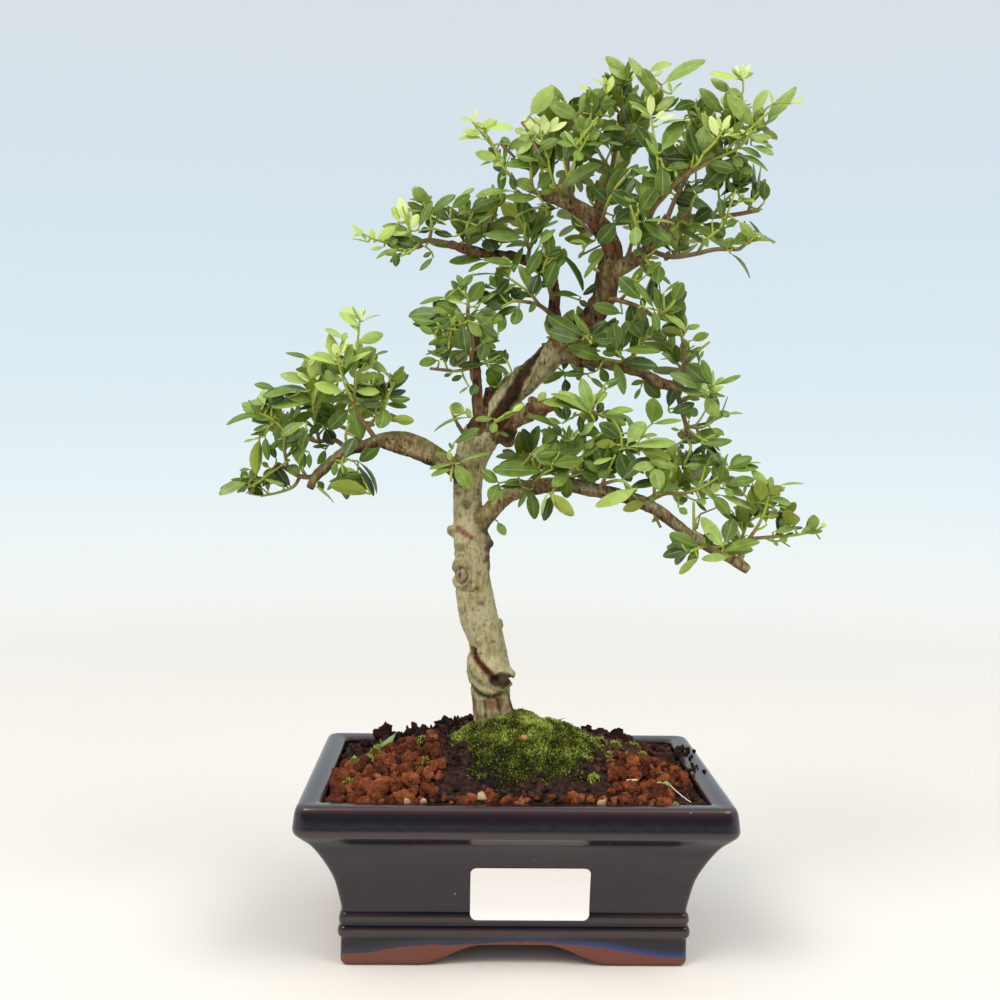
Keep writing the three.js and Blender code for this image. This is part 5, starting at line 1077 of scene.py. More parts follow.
# Foliage: forty sprays of small evergreen leaves, each on its own woody twig, and ten soft tips of this
# year's growth. A twig bears shoots, a shoot bears leaves all round it and a rosette at its end, and a
# leaf is a blunt oval, leathery, folded a little along its midrib and turned down at its edge.
# Leafy sprays. The first line of each is its woody twig, from the middle of the branch that
# carries it, and each other line is a shoot with leaves on it.
SPRAYS = {
  "left_top": [
    [[-68, -9, 239], [-73, -12, 246], [-78, -14, 253], [-79, -15, 257]],
    [[-79, -15, 257], [-78, -17, 266], [-78, -18, 274]],
    [[-73, -12, 245], [-65, -13, 254], [-62, -14, 262], [-59, -14, 269]],
  ],
  "left_front": [
    [[-81, -6, 235], [-81, -13, 234]],
    [[-81, -13, 234], [-84, -17, 229], [-83, -19, 223]],
    [[-81, -13, 234], [-82, -21, 241], [-80, -25, 247]],
  ],
  "left_mid": [
    [[-82, -5, 234], [-90, 6, 239], [-99, 12, 238], [-105, 14, 240]],
    [[-98, 11, 238], [-99, 0, 248], [-99, -8, 256], [-99, -10, 263]],
    [[-105, 14, 240], [-112, 22, 244], [-120, 26, 247]],
  ],
  "left_back": [
    [[-74, -8, 236], [-82, 12, 243], [-89, 22, 246]],
    [[-89, 22, 246], [-95, 31, 254], [-100, 36, 262]],
    [[-82, 12, 243], [-78, 24, 252], [-75, 30, 261]],
  ],
  "left_end": [
    [[-95, -3, 224], [-100, -2, 221], [-106, 0, 221], [-112, 1, 224], [-117, 2, 227]],
    [[-112, 1, 224], [-113, -5, 234], [-113, -8, 243], [-119, -10, 249], [-126, -10, 252]],
    [[-117, 2, 227], [-120, -4, 223], [-124, -8, 219], [-129, -9, 216]],
    [[-106, 0, 221], [-109, 0, 216], [-116, 0, 213], [-125, 0, 211]],
    [[-103, -1, 221], [-105, -10, 228], [-102, -15, 235], [-104, -18, 242]],
  ],
  "upper_left_end": [
    [[-35, -2, 335], [-44, -4, 336], [-52, -5, 334], [-62, -6, 334]],
    [[-44, -4, 336], [-43, 0, 345], [-46, 2, 354]],
    [[-48, -5, 335], [-52, -11, 330], [-57, -14, 327]],
  ],
  "upper_left_mid": [
    [[-25, 1, 332], [-24, 0, 336]],
    [[-24, 0, 336], [-26, -8, 342], [-23, -10, 349]],
    [[-24, 0, 336], [-18, 9, 342], [-11, 14, 352]],
  ],
  "upper_left_inner": [
    [[4, 8, 329], [5, 8, 334]],
    [[5, 8, 334], [2, -4, 338], [2, -9, 345]],
    [[5, 8, 334], [7, 18, 340], [5, 26, 348]],
  ],
  "upper_left_under": [
    [[19, 13, 301], [15, 5, 303], [10, 0, 306], [5, -4, 307]],
    [[5, -4, 307], [-3, -8, 307], [-10, -10, 303]],
    [[10, 0, 306], [5, -6, 311], [-1, -9, 315], [-6, -11, 318]],
  ],
  "upper_left_base": [
    [[18, 14, 310], [16, 6, 312]],
    [[16, 6, 312], [14, -3, 316], [11, -9, 322], [13, -12, 328]],
  ],
  "middle_left": [
    [[-22, -6, 269], [-23, -7, 279], [-22, -8, 286], [-24, -9, 294], [-25, -10, 301]],
    [[-25, -10, 301], [-25, -12, 307], [-27, -13, 313]],
    [[-23, -9, 291], [-30, -18, 292], [-38, -22, 293]],
    [[-22, -7, 275], [-31, -9, 273], [-41, -10, 274]],
    [[-22, -8, 283], [-16, -12, 287], [-10, -14, 291]],
    [[-22, -7, 276], [-15, -8, 278], [-9, -9, 281]],
    [[-23, -7, 280], [-27, 10, 286], [-31, 19, 293]],
  ],
  "trunk_sprout_left": [
    [[-24, 1, 240], [-29, -7, 247]],
    [[-29, -7, 247], [-31, -10, 251], [-33, -11, 256]],
  ],
  "trunk_sprout_front": [
    [[-15, 0, 244], [-14, -14, 246]],
    [[-14, -14, 246], [-11, -19, 249], [-7, -21, 252]],
  ],
  "trunk_sprout_low": [
    [[-30, 0, 229], [-31, -10, 227]],
    [[-31, -10, 227], [-32, -13, 224], [-32, -15, 220]],
  ],
  "apex_left_end": [
    [[9, -10, 358], [2, -12, 360], [-2, -13, 362]],
    [[-2, -13, 362], [-8, -15, 368], [-11, -16, 372]],
    [[5, -11, 360], [4, -17, 367], [3, -19, 375]],
  ],
  "apex_left": [
    [[20, -7, 354], [18, -12, 358]],
    [[18, -12, 358], [14, -15, 365], [12, -17, 373]],
    [[18, -12, 358], [21, -25, 363], [24, -29, 371], [30, -30, 382]],
  ],
  "apex_back_left": [
    [[27, -5, 353], [24, 0, 362], [23, 4, 371], [23, 5, 379]],
    [[23, 5, 379], [20, 9, 391], [17, 10, 402]],
    [[24, 1, 365], [28, 20, 377], [32, 32, 389], [31, 36, 400]],
  ],
  "apex_top": [
    [[41, 8, 360], [43, 11, 367], [45, 12, 374], [47, 12, 384], [49, 10, 393]],
    [[49, 10, 393], [49, 4, 403], [48, 0, 413]],
    [[45, 12, 374], [37, -2, 381], [33, -8, 391], [33, -8, 401]],
    [[48, 12, 385], [54, -4, 390], [58, -8, 399]],
    [[43, 11, 367], [49, 32, 380], [55, 42, 394], [60, 44, 406]],
  ],
  "apex_front": [
    [[39, -2, 345], [39, -12, 347]],
    [[39, -12, 347], [40, -23, 352], [43, -29, 358], [47, -31, 363]],
  ],
  "apex_right_front": [
    [[65, -8, 337], [61, -17, 344], [62, -22, 350], [67, -26, 356], [72, -28, 362], [78, -28, 367]],
    [[62, -22, 350], [63, -28, 361], [62, -29, 373]],
    [[78, -28, 367], [81, -30, 370], [83, -31, 374]],
    [[75, -28, 364], [88, -25, 372], [101, -22, 379], [110, -20, 389]],
  ],
  "apex_right_top": [
    [[71, -6, 349], [75, 0, 358], [80, 6, 367]],
    [[80, 6, 367], [87, 6, 380], [89, 3, 392], [89, 0, 401]],
    [[86, 6, 378], [98, 6, 392], [105, 4, 403]],
    [[80, 6, 367], [88, 26, 383], [94, 36, 397]],
    [[75, 0, 358], [87, 24, 369], [99, 34, 377]],
  ],
  "apex_right": [
    [[68, -8, 344], [82, -7, 349], [92, -8, 349], [103, -10, 350], [114, -12, 352]],
    [[109, -11, 351], [110, -14, 356], [113, -15, 360]],
    [[92, -8, 349], [96, -14, 355], [103, -16, 361]],
    [[81, -7, 349], [81, -18, 355], [84, -22, 360]],
  ],
  "apex_right_low": [
    [[62, -6, 333], [72, -12, 329], [83, -16, 330], [92, -18, 332], [103, -20, 332]],
    [[103, -20, 332], [108, -21, 336], [113, -21, 340]],
    [[84, -16, 330], [86, -25, 335], [92, -28, 340]],
    [[72, -12, 329], [79, -2, 336], [84, 4, 342]],
  ],
  "apex_centre": [
    [[56, -4, 329], [56, -14, 332]],
    [[56, -14, 332], [55, -24, 336], [52, -32, 342], [49, -36, 349]],
    [[56, -14, 332], [60, -20, 325], [64, -22, 319]],
  ],
  "apex_far_back": [
    [[43, 2, 317], [50, 22, 326], [57, 38, 336], [61, 48, 347]],
    [[61, 48, 347], [67, 54, 359], [71, 55, 370]],
    [[57, 38, 336], [69, 49, 341], [80, 54, 346]],
  ],
  "apex_far_left": [
    [[45, 0, 332], [42, 20, 341], [36, 36, 349]],
    [[36, 36, 349], [29, 47, 358], [20, 50, 365]],
    [[40, 28, 345], [41, 40, 357], [43, 48, 368]],
  ],
  "right_upper": [
    [[42, 4, 310], [48, -10, 308], [57, -18, 304], [63, -24, 299]],
    [[63, -24, 299], [69, -29, 303], [73, -31, 309]],
    [[48, -10, 308], [52, -20, 313], [55, -22, 319]],
  ],
  "right_whorl": [
    [[30, 8, 293], [31, -8, 291]],
    [[31, -8, 291], [32, -20, 289], [33, -27, 286]],
  ],
  "right_inner": [
    [[53, -2, 277], [51, -10, 279]],
    [[51, -10, 279], [48, -18, 281], [45, -25, 283]],
    [[51, -10, 279], [56, -16, 283], [57, -19, 290]],
  ],
  "right_top": [
    [[78, -6, 263], [81, -4, 273], [81, -2, 280], [81, 0, 287]],
    [[81, 0, 287], [79, -4, 293], [77, -5, 299]],
    [[81, -2, 279], [86, -8, 284], [92, -10, 289]],
    [[81, -4, 274], [80, 14, 280], [77, 24, 288]],
  ],
  "right_low": [
    [[77, -6, 265], [80, -6, 255], [82, -6, 248], [82, -5, 243]],
    [[79, -6, 260], [86, -11, 263], [93, -14, 265]],
    [[82, -6, 248], [90, -9, 248], [98, -11, 254]],
    [[82, -6, 247], [87, -11, 243], [93, -13, 240]],
    [[82, -5, 243], [84, -9, 238], [82, -10, 232]],
  ],
  "right_back": [
    [[7, 4, 273], [15, 26, 280], [22, 42, 284]],
    [[22, 42, 284], [31, 54, 288], [42, 60, 293]],
    [[19, 34, 282], [20, 48, 291], [19, 54, 298]],
  ],
  "lower_middle": [
    [[22, -19, 260], [27, -24, 260]],
    [[27, -24, 260], [30, -29, 258], [32, -33, 254]],
    [[27, -24, 260], [37, -27, 253], [43, -29, 251], [47, -31, 244], [48, -31, 237]],
  ],
  "lower_front": [
    [[4, -9, 216], [7, -16, 220]],
    [[7, -16, 220], [11, -22, 224], [16, -26, 227]],
    [[7, -16, 220], [11, -20, 230], [13, -22, 239]],
  ],
  "lower_hanging": [
    [[19, -13, 218], [19, -21, 220]],
    [[19, -21, 220], [16, -25, 215], [17, -27, 210]],
    [[19, -21, 220], [25, -25, 227], [30, -27, 233]],
  ],
  "lower_centre": [
    [[38, -17, 217], [40, -22, 220]],
    [[40, -22, 220], [42, -28, 227], [45, -31, 234]],
    [[40, -22, 220], [48, -30, 222], [54, -34, 217]],
  ],
  "lower_back": [
    [[22, -12, 218], [25, 6, 221]],
    [[25, 6, 221], [16, 18, 225], [7, 24, 232]],
    [[25, 6, 221], [38, 16, 226], [48, 23, 233]],
  ],
  "lower_right": [
    [[63, -20, 209], [65, -22, 214], [70, -24, 216]],
    [[65, -22, 214], [64, -30, 221], [68, -33, 227]],
    [[70, -24, 216], [81, -27, 217], [91, -28, 222], [99, -28, 229]],
    [[70, -24, 216], [79, 0, 218], [89, 14, 222]],
  ],
  "lower_right_end": [
    [[97, -24, 187], [105, -25, 191], [110, -25, 195]],
    [[110, -25, 195], [114, -27, 202], [117, -28, 210], [118, -28, 216]],
    [[110, -25, 195], [121, -24, 196], [132, -24, 197], [141, -24, 199], [147, -24, 202]],
    [[105, -25, 191], [111, -10, 198], [116, -2, 206]],
  ],
  "lower_right_front": [
    [[91, -23, 191], [90, -30, 192]],
    [[90, -30, 192], [93, -36, 192], [97, -39, 194]],
    [[90, -30, 192], [84, -35, 191], [79, -37, 189]],
  ],
}

# Young tips in a lighter green: the spray that carries each, and its line.
YOUNG = {
  "young_left_tall": ["left_top", [[-78, -18, 274], [-77, -17, 286], [-76, -17, 297]]],
  "young_left": ["left_top", [[-79, -15, 257], [-82, -22, 264], [-84, -26, 271], [-86, -28, 279]]],
  "young_left_small": ["left_mid", [[-99, -10, 263], [-100, -11, 269], [-101, -12, 274]]],
  "young_upper_left_end": ["upper_left_end", [[-62, -6, 334], [-69, -8, 335], [-76, -8, 338]]],
  "young_upper_left": ["upper_left_end", [[-52, -5, 334], [-54, -9, 342], [-57, -10, 351]]],
  "young_apex_left_end": ["apex_left_end", [[-11, -16, 372], [-14, -17, 379], [-18, -18, 385]]],
  "young_apex_left": ["apex_left", [[12, -17, 373], [9, -18, 381], [8, -18, 388]]],
  "young_apex_front": ["apex_right_front", [[62, -29, 373], [60, -29, 384], [58, -28, 395]]],
  "young_apex_right": ["apex_right_front", [[83, -31, 374], [88, -32, 379], [92, -32, 385]]],
  "young_apex_top": ["apex_right_top", [[105, 4, 403], [108, 4, 412], [108, 4, 418]]],
}

# The leaves that are seen from the front, one row each, judged against the upright plane through the
# pot's middle, in mm: x and z of the leaf's foot and of its tip, the width seen there (below 0 where the
# underside shows), and its tone from 0, in deep shade, to 9, this year's yellow-green. EYE is the place
# they are judged from.
EYE = np.array([-24.5, -647.0, 243.0])
# Their tone is the leaf's brightness as seen, so it holds painted shade at the low end and painted sheen at
# the high end, beside each leaf's own green and this year's yellow-green.
SEEN_LEAVES = np.array([
    # the low pad on the left
    [-118, 263.5, -128.5, 265.5, 3.5, 4], [-101, 262.5, -119, 263.5, 3, 5],
    [-106, 262.5, -124.5, 259.7, 1.8, 5], [-99, 257.5, -114, 260.5, 5, 5],
    [-99.5, 257, -120.5, 254.5, 4.6, 6], [-112, 259.5, -124.5, 254.8, 3.4, 2],
    [-121.5, 256, -130.8, 256.8, 3.2, 6], [-122, 253.5, -129.5, 254.2, 3, 4], [-129, 253, -134, 253, 2, 6],
    [-122, 249.5, -142, 245.5, 2.2, 4], [-98, 252.5, -110.5, 245.5, 5, 4], [-103, 247.5, -115.5, 240.3, 3, 5],
    [-98, 254, -90, 250.5, 6, 2], [-94, 245, -90, 236.5, 7, 1], [-102.5, 243, -105, 233.5, 5, 3],
    [-96, 247, -101.5, 242, 4, 3], [-103.5, 241.5, -109.5, 241.8, 3.4, 4], [-106, 239, -114, 237.5, 3.5, 2],
    [-125.5, 240, -127.5, 221.5, -6, 5], [-123, 240.5, -121.5, 228.5, 4.5, 4],
    [-120.5, 245.5, -128.8, 243.2, 2.4, 6], [-120, 245, -126, 240.5, 3.4, 5],
    [-123, 242, -130.3, 240.8, 2.4, 4], [-128, 239, -133.5, 237.5, 1.5, 6], [-117, 238.5, -120, 234, 3, 3],
    [-113, 226.5, -106, 222.5, 5.5, 4], [-104.5, 234, -107.5, 228.5, 4, 4], [-126, 218.5, -133.2, 218, -6, 7],
    [-131, 217.5, -145.5, 211.5, 4.5, 5], [-128, 215.5, -131, 212.5, 3, 3], [-127, 222, -131, 222.5, 3.2, 4],
    [-130, 224, -135.5, 223.5, 1.4, 5], [-129, 220.7, -134, 220.3, 1.2, 5],
    [-132, 215, -134.3, 212.8, 1.4, 5], [-118, 224, -124, 221, 3, 5], [-115, 217.5, -125, 215.5, 1.4, 4],
    [-124, 219, -113.5, 217, 1.8, 6], [-121, 225, -124.5, 227.5, 2.5, 5], [-101.5, 233, -101.5, 225, 3.5, 4],
    [-93.5, 234.5, -97.5, 227, 4, 5], [-92, 236.5, -100, 235.5, 2, 4], [-88.5, 229, -89.5, 221.5, 3.4, 5],
    [-97.5, 219, -94.5, 214.5, 4, 4], [-99, 216.5, -89.3, 208, -2.4, 6], [-71.5, 212.5, -91.5, 217, -7, 4],
    [-76, 221.5, -92, 218.5, 3.5, 2], [-78, 223.5, -87.5, 223, 1.8, 6], [-82, 229.5, -88, 227.5, 2, 6],
    [-80.5, 229, -70, 211.5, 1.8, 2], [-78, 229, -68.5, 212.8, 2, 3], [-66, 238, -77, 228.8, 6.5, 3],
    [-79, 241, -84, 230.5, 7, 2], [-80.5, 255.5, -76.3, 239.3, 9.3, 5], [-82, 254.5, -92.5, 244, 7, 3],
    [-66, 255.5, -67, 245, 8, 4], [-62, 250, -50.5, 249, -5, 4], [-63.5, 259, -52.5, 259.5, 4, 3],
    [-65, 256.5, -54, 255.5, 3.4, 3], [-77, 257, -67, 257.5, 4.5, 3], [-76, 254, -67, 255.5, 1.5, 6],
    [-80, 262.5, -67.5, 262.5, 4.4, 8], [-85, 262.5, -99.5, 266, 6, 8], [-102, 266, -115.8, 270.5, 4.5, 7],
    [-101, 267, -100.5, 279, 5.5, 8], [-101, 266, -107.8, 272.3, 2.6, 9], [-100, 266, -96.5, 270.5, 2, 9],
    [-103, 273.5, -108.5, 273, 2.5, 3], [-101.5, 278.3, -113.5, 281, 3, 4], [-90, 275.5, -103.5, 279.5, 2, 8],
    [-94.5, 270, -95.5, 276, 3.5, 3], [-90, 267, -94, 273, 4, 5], [-89, 275.5, -98.5, 281.5, 4, 8],
    [-88, 277, -92.5, 290.5, 6, 8], [-85, 288.5, -94.5, 293, 3, 7], [-86, 286, -84, 291.5, 3.4, 8],
    [-88, 279, -90, 286, 4, 9], [-87, 280, -83.5, 289, 2.6, 9], [-86.5, 279, -84, 287, 3, 8],
    [-84, 274, -81, 286, 5, 6], [-88, 279, -95, 286, 3, 9], [-79, 294.5, -87.5, 301.3, 3.6, 8],
    [-77.5, 296.5, -77.5, 302.5, 2.2, 9], [-77, 297, -75.5, 303.5, 2, 9], [-77.8, 297, -81.5, 304.5, 1, 7],
    [-76, 297, -67.5, 300, 1.6, 8], [-78, 286, -66, 291, 6, 7], [-79, 280, -69.3, 283.5, 6, 6],
    [-84.5, 275.5, -71.5, 282.5, 3.4, 8], [-70, 280.5, -63.5, 282.5, 1.2, 3], [-73, 276, -69.5, 278, 3, 7],
    [-79, 271.5, -70, 275.5, 3, 6], [-78, 268, -68.5, 272, 4, 7], [-70.5, 270, -65.2, 270, 4, 5],
    [-71, 266, -65, 268, 2, 3], [-80, 266, -70.5, 265.5, 2, 2], [-62, 268, -55, 272.5, 6, 4],
    [-59, 271, -57, 273.5, 1.5, 8], [-59, 270.5, -56.5, 270.5, 1.5, 8], [-66, 258.5, -68.5, 261, 2, 3],
    [-83, 260, -91.5, 259, 3.5, 3], [-79, 256, -86, 257.5, 1.4, 6], [-100, 257, -109, 255.5, 2, 1],
    [-100, 255, -107, 254, 2, 2], [-118, 250.5, -121, 245.5, 3, 4],
    # the branch to the upper left
    [-74, 335, -82, 343.5, 2.6, 8], [-74, 334.5, -81.5, 336.5, 1, 7], [-71, 335, -72.5, 342, 3, 8],
    [-60, 343.5, -69, 336.5, 5, 8], [-55, 341.5, -67, 343, 2.6, 5], [-54, 340, -66, 340.5, 4.5, 7],
    [-59, 345, -62.5, 352.5, 4, 8], [-56.5, 345, -58.5, 357, 5, 9], [-54.5, 342, -49.5, 349, 4.5, 9],
    [-63, 340, -65.5, 336.5, 2, 7], [-61, 338, -61.5, 333.5, 3.5, 4], [-66, 333, -72.5, 331.7, 2, 8],
    [-61, 332.5, -69.8, 327.2, 2.6, 5], [-59, 332, -65.5, 329.5, 3.6, 5], [-61, 331, -60.3, 323.5, 4, 3],
    [-52.5, 334.5, -59.5, 337.5, 4.5, 4], [-57, 332, -53, 329.8, 2.6, 4], [-46, 333.5, -55.5, 334.5, 4, 4],
    [-45, 335, -54, 339, 3, 4], [-46.5, 353, -52.5, 361.8, 6.8, 6], [-47, 351, -55, 354.5, 3.6, 5],
    [-49.5, 342, -43, 355, 3.4, 4], [-44, 348.5, -31.5, 358.5, 3.4, 4], [-34, 352, -24.5, 359, 5, 4],
    [-29.5, 358, -22.5, 362, 2.4, 6], [-34, 346.5, -41.5, 350.5, 4.5, 3], [-27.5, 335, -36, 352.5, 5.5, 2],
    [-44, 348.5, -36, 346, 1.8, 8], [-44.5, 345.5, -36, 344, 2, 5], [-48.5, 341, -37, 341, 2.4, 6],
    [-49, 340, -44, 342, 3.4, 1], [-32, 338.5, -42, 340.5, 3.5, 2], [-31, 332.5, -44.8, 336, 2.6, 5],
    [-28.5, 336, -18.5, 339.5, 5.5, 4], [-17, 327.5, -34.5, 326.5, 3, 5], [-42, 328.5, -48.7, 321.8, 2.8, 4],
    [-43, 331, -47, 328.5, 2.4, 4], [-29, 346.5, -15, 352.5, 4.5, 3], [-26, 350, -9.5, 357, 5, 3],
    [-22.5, 350.3, -30.5, 348.8, 1, 7], [-28.5, 340, -20, 344.5, 4.5, 4], [-21, 344, -13, 349.5, 1.4, 6],
    [-19, 339, -21.5, 343.5, 3, 8], [-18.5, 339, -13, 349, 5, 1], [-17.5, 341, -11.5, 344.5, 3, 3],
    [-11.5, 342.5, -6, 345, 3, 8], [1, 339, -17.5, 340, 5, 5], [-17, 338, -13, 331.5, 8, 2],
    [-9, 335, -14, 332.5, 2.5, 4], [4, 338.5, 1.5, 343.5, 3, 4], [3, 336, -7, 333.8, 2.5, 4],
    [4.5, 339, 16.5, 349.5, 4.5, 4], [6, 335, 8.5, 340.5, 4, 4], [9, 335, 17, 343, 4, 5],
    [11.5, 334, 3.5, 320.5, 6, 3], [2, 335, -3, 321.5, 4, 4], [-1.5, 325, -17, 327.5, 3.6, 4],
    [-14, 326.5, -25, 321.5, 2.6, 4], [-4, 324, -10.5, 323, 2, 5], [12, 330, 21, 333, 4, 2],
    [18, 329, 12.5, 315, 8, 3], [10, 322, 6, 311, 6, 0], [6.5, 308.5, 12.5, 317.5, 2.2, 5],
    [0, 317, -9.5, 311.5, 2.4, 6], [-4.5, 318, -11, 311, 4.5, 1], [2, 315, -4, 309.5, 6, 3],
    [5, 312, -2, 309, 4, 2], [-5.5, 318.5, -24, 320, 1.8, 3], [-22.5, 321, -30, 314.5, 3.4, 4],
    # the pad in the middle, on the left of the trunk
    [-26.5, 308.5, -36.5, 309.5, 7, 4], [-27, 311, -27, 316.5, 3, 3], [-30, 313.5, -33, 315.5, 2, 3],
    [-35, 309, -48.5, 305.8, 1.8, 5], [-27.5, 301, -40.5, 306.5, 7.5, 5], [-26.5, 306.3, -34.8, 307.8, 2, 7],
    [-34, 301, -43.5, 304, 3, 4], [-25, 306, -17.5, 317, 7, 5], [-22, 305, -9.5, 313.5, 3.4, 5],
    [-19, 307, -15.5, 309.5, 3, 4], [-23.5, 300.5, -7.5, 298.8, 7.5, 5], [-20, 303, -13, 303.5, 3, 3],
    [-25, 298, -18, 290.5, 5, 6], [-19, 296.5, -10, 289.5, 5, 3], [-18, 297, -13.5, 295, 3, 4],
    [-27.5, 296.5, -25.5, 282.5, 6.5, 3], [-29, 298, -33, 293, 4, 2], [-40, 297, -52.3, 299, 4, 4],
    [-41, 291, -48.5, 295, 3.5, 4], [-34, 299.5, -43, 296.5, 3.6, 4], [-31, 295.5, -43.5, 293.2, 1.6, 6],
    [-34, 295, -31, 300.5, 2.6, 5], [-33, 298, -37, 294, 4, 2], [-34, 294, -37, 290, 3, 3],
    [-40, 288.5, -44, 286, 2.2, 3], [-34, 289, -41, 288, 3, 4], [-35, 285, -45.5, 281, 1.8, 3],
    [-34, 284, -41, 282, 2.8, 5], [-26.5, 283, -38.5, 278.5, 3.4, 5], [-31, 281, -33, 276, 4, 4],
    [-39, 278.5, -48.5, 276.8, 5, 5], [-15.5, 276, -29.5, 275.5, 4, 2], [-32.5, 272, -36.2, 270.8, 2, 3],
    [-27, 271.5, -32.5, 268.8, 3, 3], [-21, 268, -22.5, 261.5, 4.5, 3], [-24, 265, -28.5, 262.5, 1.2, 6],
    [-16, 288.5, -18.5, 278.5, 6, 3], [-16, 287, -11, 285, 3, 4], [-18, 288, -12, 289, 3, 4],
    [-15, 280, -6.8, 282, 3.6, 2], [-14, 279, -10, 277.5, 1.2, 6], [-15.5, 277, -5, 273, 3, 3],
    [-14.5, 275.5, -9.5, 266.8, 8.5, 4], [-3, 273, -7.5, 271.8, 1.8, 6], [-5, 307, -16.8, 304.5, 4, 2],
    [0, 305.5, -10.2, 301.2, 4, 3], [0, 305, -2.5, 296.5, 6, 3], [8, 309, 5, 302.5, 3, 4],
    # the crown, on the left
    [-23.5, 393.5, -21.5, 400, 2, 9], [-24, 393, -30, 395.5, 1.4, 8], [-23.5, 393.5, -25.5, 396.5, 1.6, 9],
    [-19.5, 388, -28.5, 389.5, 4, 8], [-18, 385.5, -31, 385, 2.4, 8], [-18.5, 391, -12, 395, 3, 8],
    [-17.5, 390.5, -4, 390.8, 2.4, 8], [-18, 387, -20.5, 392, 2.4, 9], [-11, 377.5, -22.5, 379, 5, 7],
    [-7.5, 375, -14, 373.8, 2.8, 8], [-14, 375, -19.8, 372.8, 1.6, 7], [-9, 373.5, -9.8, 360.5, 5, 3],
    [-6, 370, -10.2, 366, 1.8, 6], [-4.5, 370, -3.5, 361.5, 3.4, 3], [1, 388, -3, 391, 4, 7],
    [6, 388.5, 1, 396.5, 3.5, 9], [8, 389, 10.5, 398, 4.5, 9], [13, 389.5, 17.5, 397, 3.4, 9],
    [14, 390, 22, 394.5, 3, 9], [5, 388, 1, 390.5, 2.4, 8], [8, 388, 6, 394, 3, 9], [11, 388, 13, 395, 3, 9],
    [-5, 383.5, -9.5, 386.5, 3, 6], [5, 386, -6.5, 381.5, 5, 6], [6, 386, -2.5, 378.5, 3.4, 7],
    [8, 381, 17.5, 386.5, 5, 5], [4, 388, -1, 385.5, 4, 6], [8, 381, 2, 381, 3, 3], [9, 373, -8, 373, 4.5, 5],
    [8, 376, -2.5, 378, 3, 5], [10, 371, 10.5, 379, 4, 3], [15, 364, 16, 385, 5, 2],
    [7.5, 362, -2, 366.5, 6, 6], [8, 362, 14, 371, 5, 5], [17, 362, 13.5, 364.5, 2.4, 6],
    [17, 362, 21.5, 364.5, 2.2, 6], [9, 360, 15.5, 361.5, 3, 4], [20.5, 361.5, 39.5, 374.5, 6, 4],
    [9, 358.5, -8.5, 358.2, 5, 4], [-3, 360.5, -22, 357.8, 1.8, 5], [2.5, 357, 5.5, 346, 6, 3],
    [14, 353, -2.5, 348, 1.2, 6], [18, 353, 8, 353, 4, 1], [27.5, 382, 28, 376, 5, 5],
    [25, 383.5, 16.5, 385, 3, 5], [22, 381, 18, 378, 3.4, 3], [25, 384, 19, 389.5, 3, 5],
    [26, 384, 20.5, 390.5, 2, 7], [3.5, 397, 15, 411.5, 8.5, 7], [28, 396, 12, 404, 8.5, 5],
    [17, 396, 7, 398, 3.4, 2],
    # the crown's top
    [28.5, 399, 30, 409, 3, 5], [33, 397, 34, 410, 7, 4], [33, 410.5, 27, 411.5, 1.8, 8],
    [39, 411.5, 34, 415.5, 1.8, 8], [39.5, 412, 40, 416.5, 2, 8], [41, 408, 43.5, 417, 3.5, 8],
    [52.5, 417, 40, 426.3, 6, 7], [53, 415, 41.5, 421, 4, 7], [50, 414, 43, 417, 4.5, 7],
    [50, 407, 41.5, 408.5, 8, 3], [48.5, 404.5, 41.5, 411, 1, 6], [53, 415.5, 52.5, 419, 3, 8],
    [64.5, 409, 51.5, 426.3, 5, 6], [65, 410, 58.5, 421, 6, 5], [63, 409, 54.5, 418, 3, 4],
    [61, 419, 72.2, 423.7, 4, 7], [64, 418, 68, 420.5, 2, 8], [67.5, 413, 88.8, 425.5, 5.5, 6],
    [72.5, 409, 70.5, 415, 1.6, 8], [73.5, 409, 77.5, 414.5, 1.4, 8], [62.5, 397, 62.5, 409, 4, 9],
    [64.5, 401, 74, 408, 5, 7], [70, 401, 76, 407.5, 3, 3], [62, 398, 51.5, 405.3, 3.4, 8],
    [60, 404, 51, 408.8, 3, 3], [66, 397, 74.5, 399, 2.4, 9], [65, 396, 69, 401, 3, 9],
    [66, 393.5, 81.5, 396.3, 1.6, 7], [37, 404, 45.5, 404.5, 5, 4], [37, 403, 33, 403.5, 1.6, 8],
    [39, 398, 34.5, 402, 3, 6], [43, 397, 43.5, 402, 3.4, 5], [29, 391, 25.5, 396, 3, 5],
    [29, 391, 28.5, 397.5, 3, 4], [30, 391, 33.5, 397.5, 3.4, 5], [39, 391, 46, 395.5, 4.5, 4],
    [38, 390.5, 51, 391.3, 3, 5], [33, 386, 38, 390, 4, 5], [36, 386, 44.5, 389.5, 4, 4],
    [41, 387, 54, 386.5, 2.4, 4], [40, 385.8, 49.5, 384, 1.6, 6], [29, 384, 41, 383.7, 2.2, 5],
    [47, 383.5, 52, 376.8, 5, 3], [50.5, 394, 49, 402, 5, 3], [51, 394.5, 59.5, 399.5, 4, 5],
    [50, 391, 46.5, 399, 3, 3], [64, 381, 55.5, 393.5, 6, 2], [68, 381, 79, 397, 8, 5],
    [41, 373, 50, 369, 4, 5], [53.5, 373, 65, 369, 3, 4], [68, 378, 82, 377.5, 6, 1],
    [70, 373, 82, 375, 3, 3], [68, 377, 74, 366, 6, 2], [75, 373, 75.5, 369, 1.6, 7],
    # the crown, on the right
    [107.5, 415, 103.5, 423.5, 2.6, 9], [107.5, 415, 110.5, 424, 3.4, 9], [107.5, 415, 107, 424, 2.4, 9],
    [105, 417, 91, 419.5, 3.6, 8], [102, 410, 91.5, 417, 5, 7], [107, 410, 100, 411.5, 4, 7],
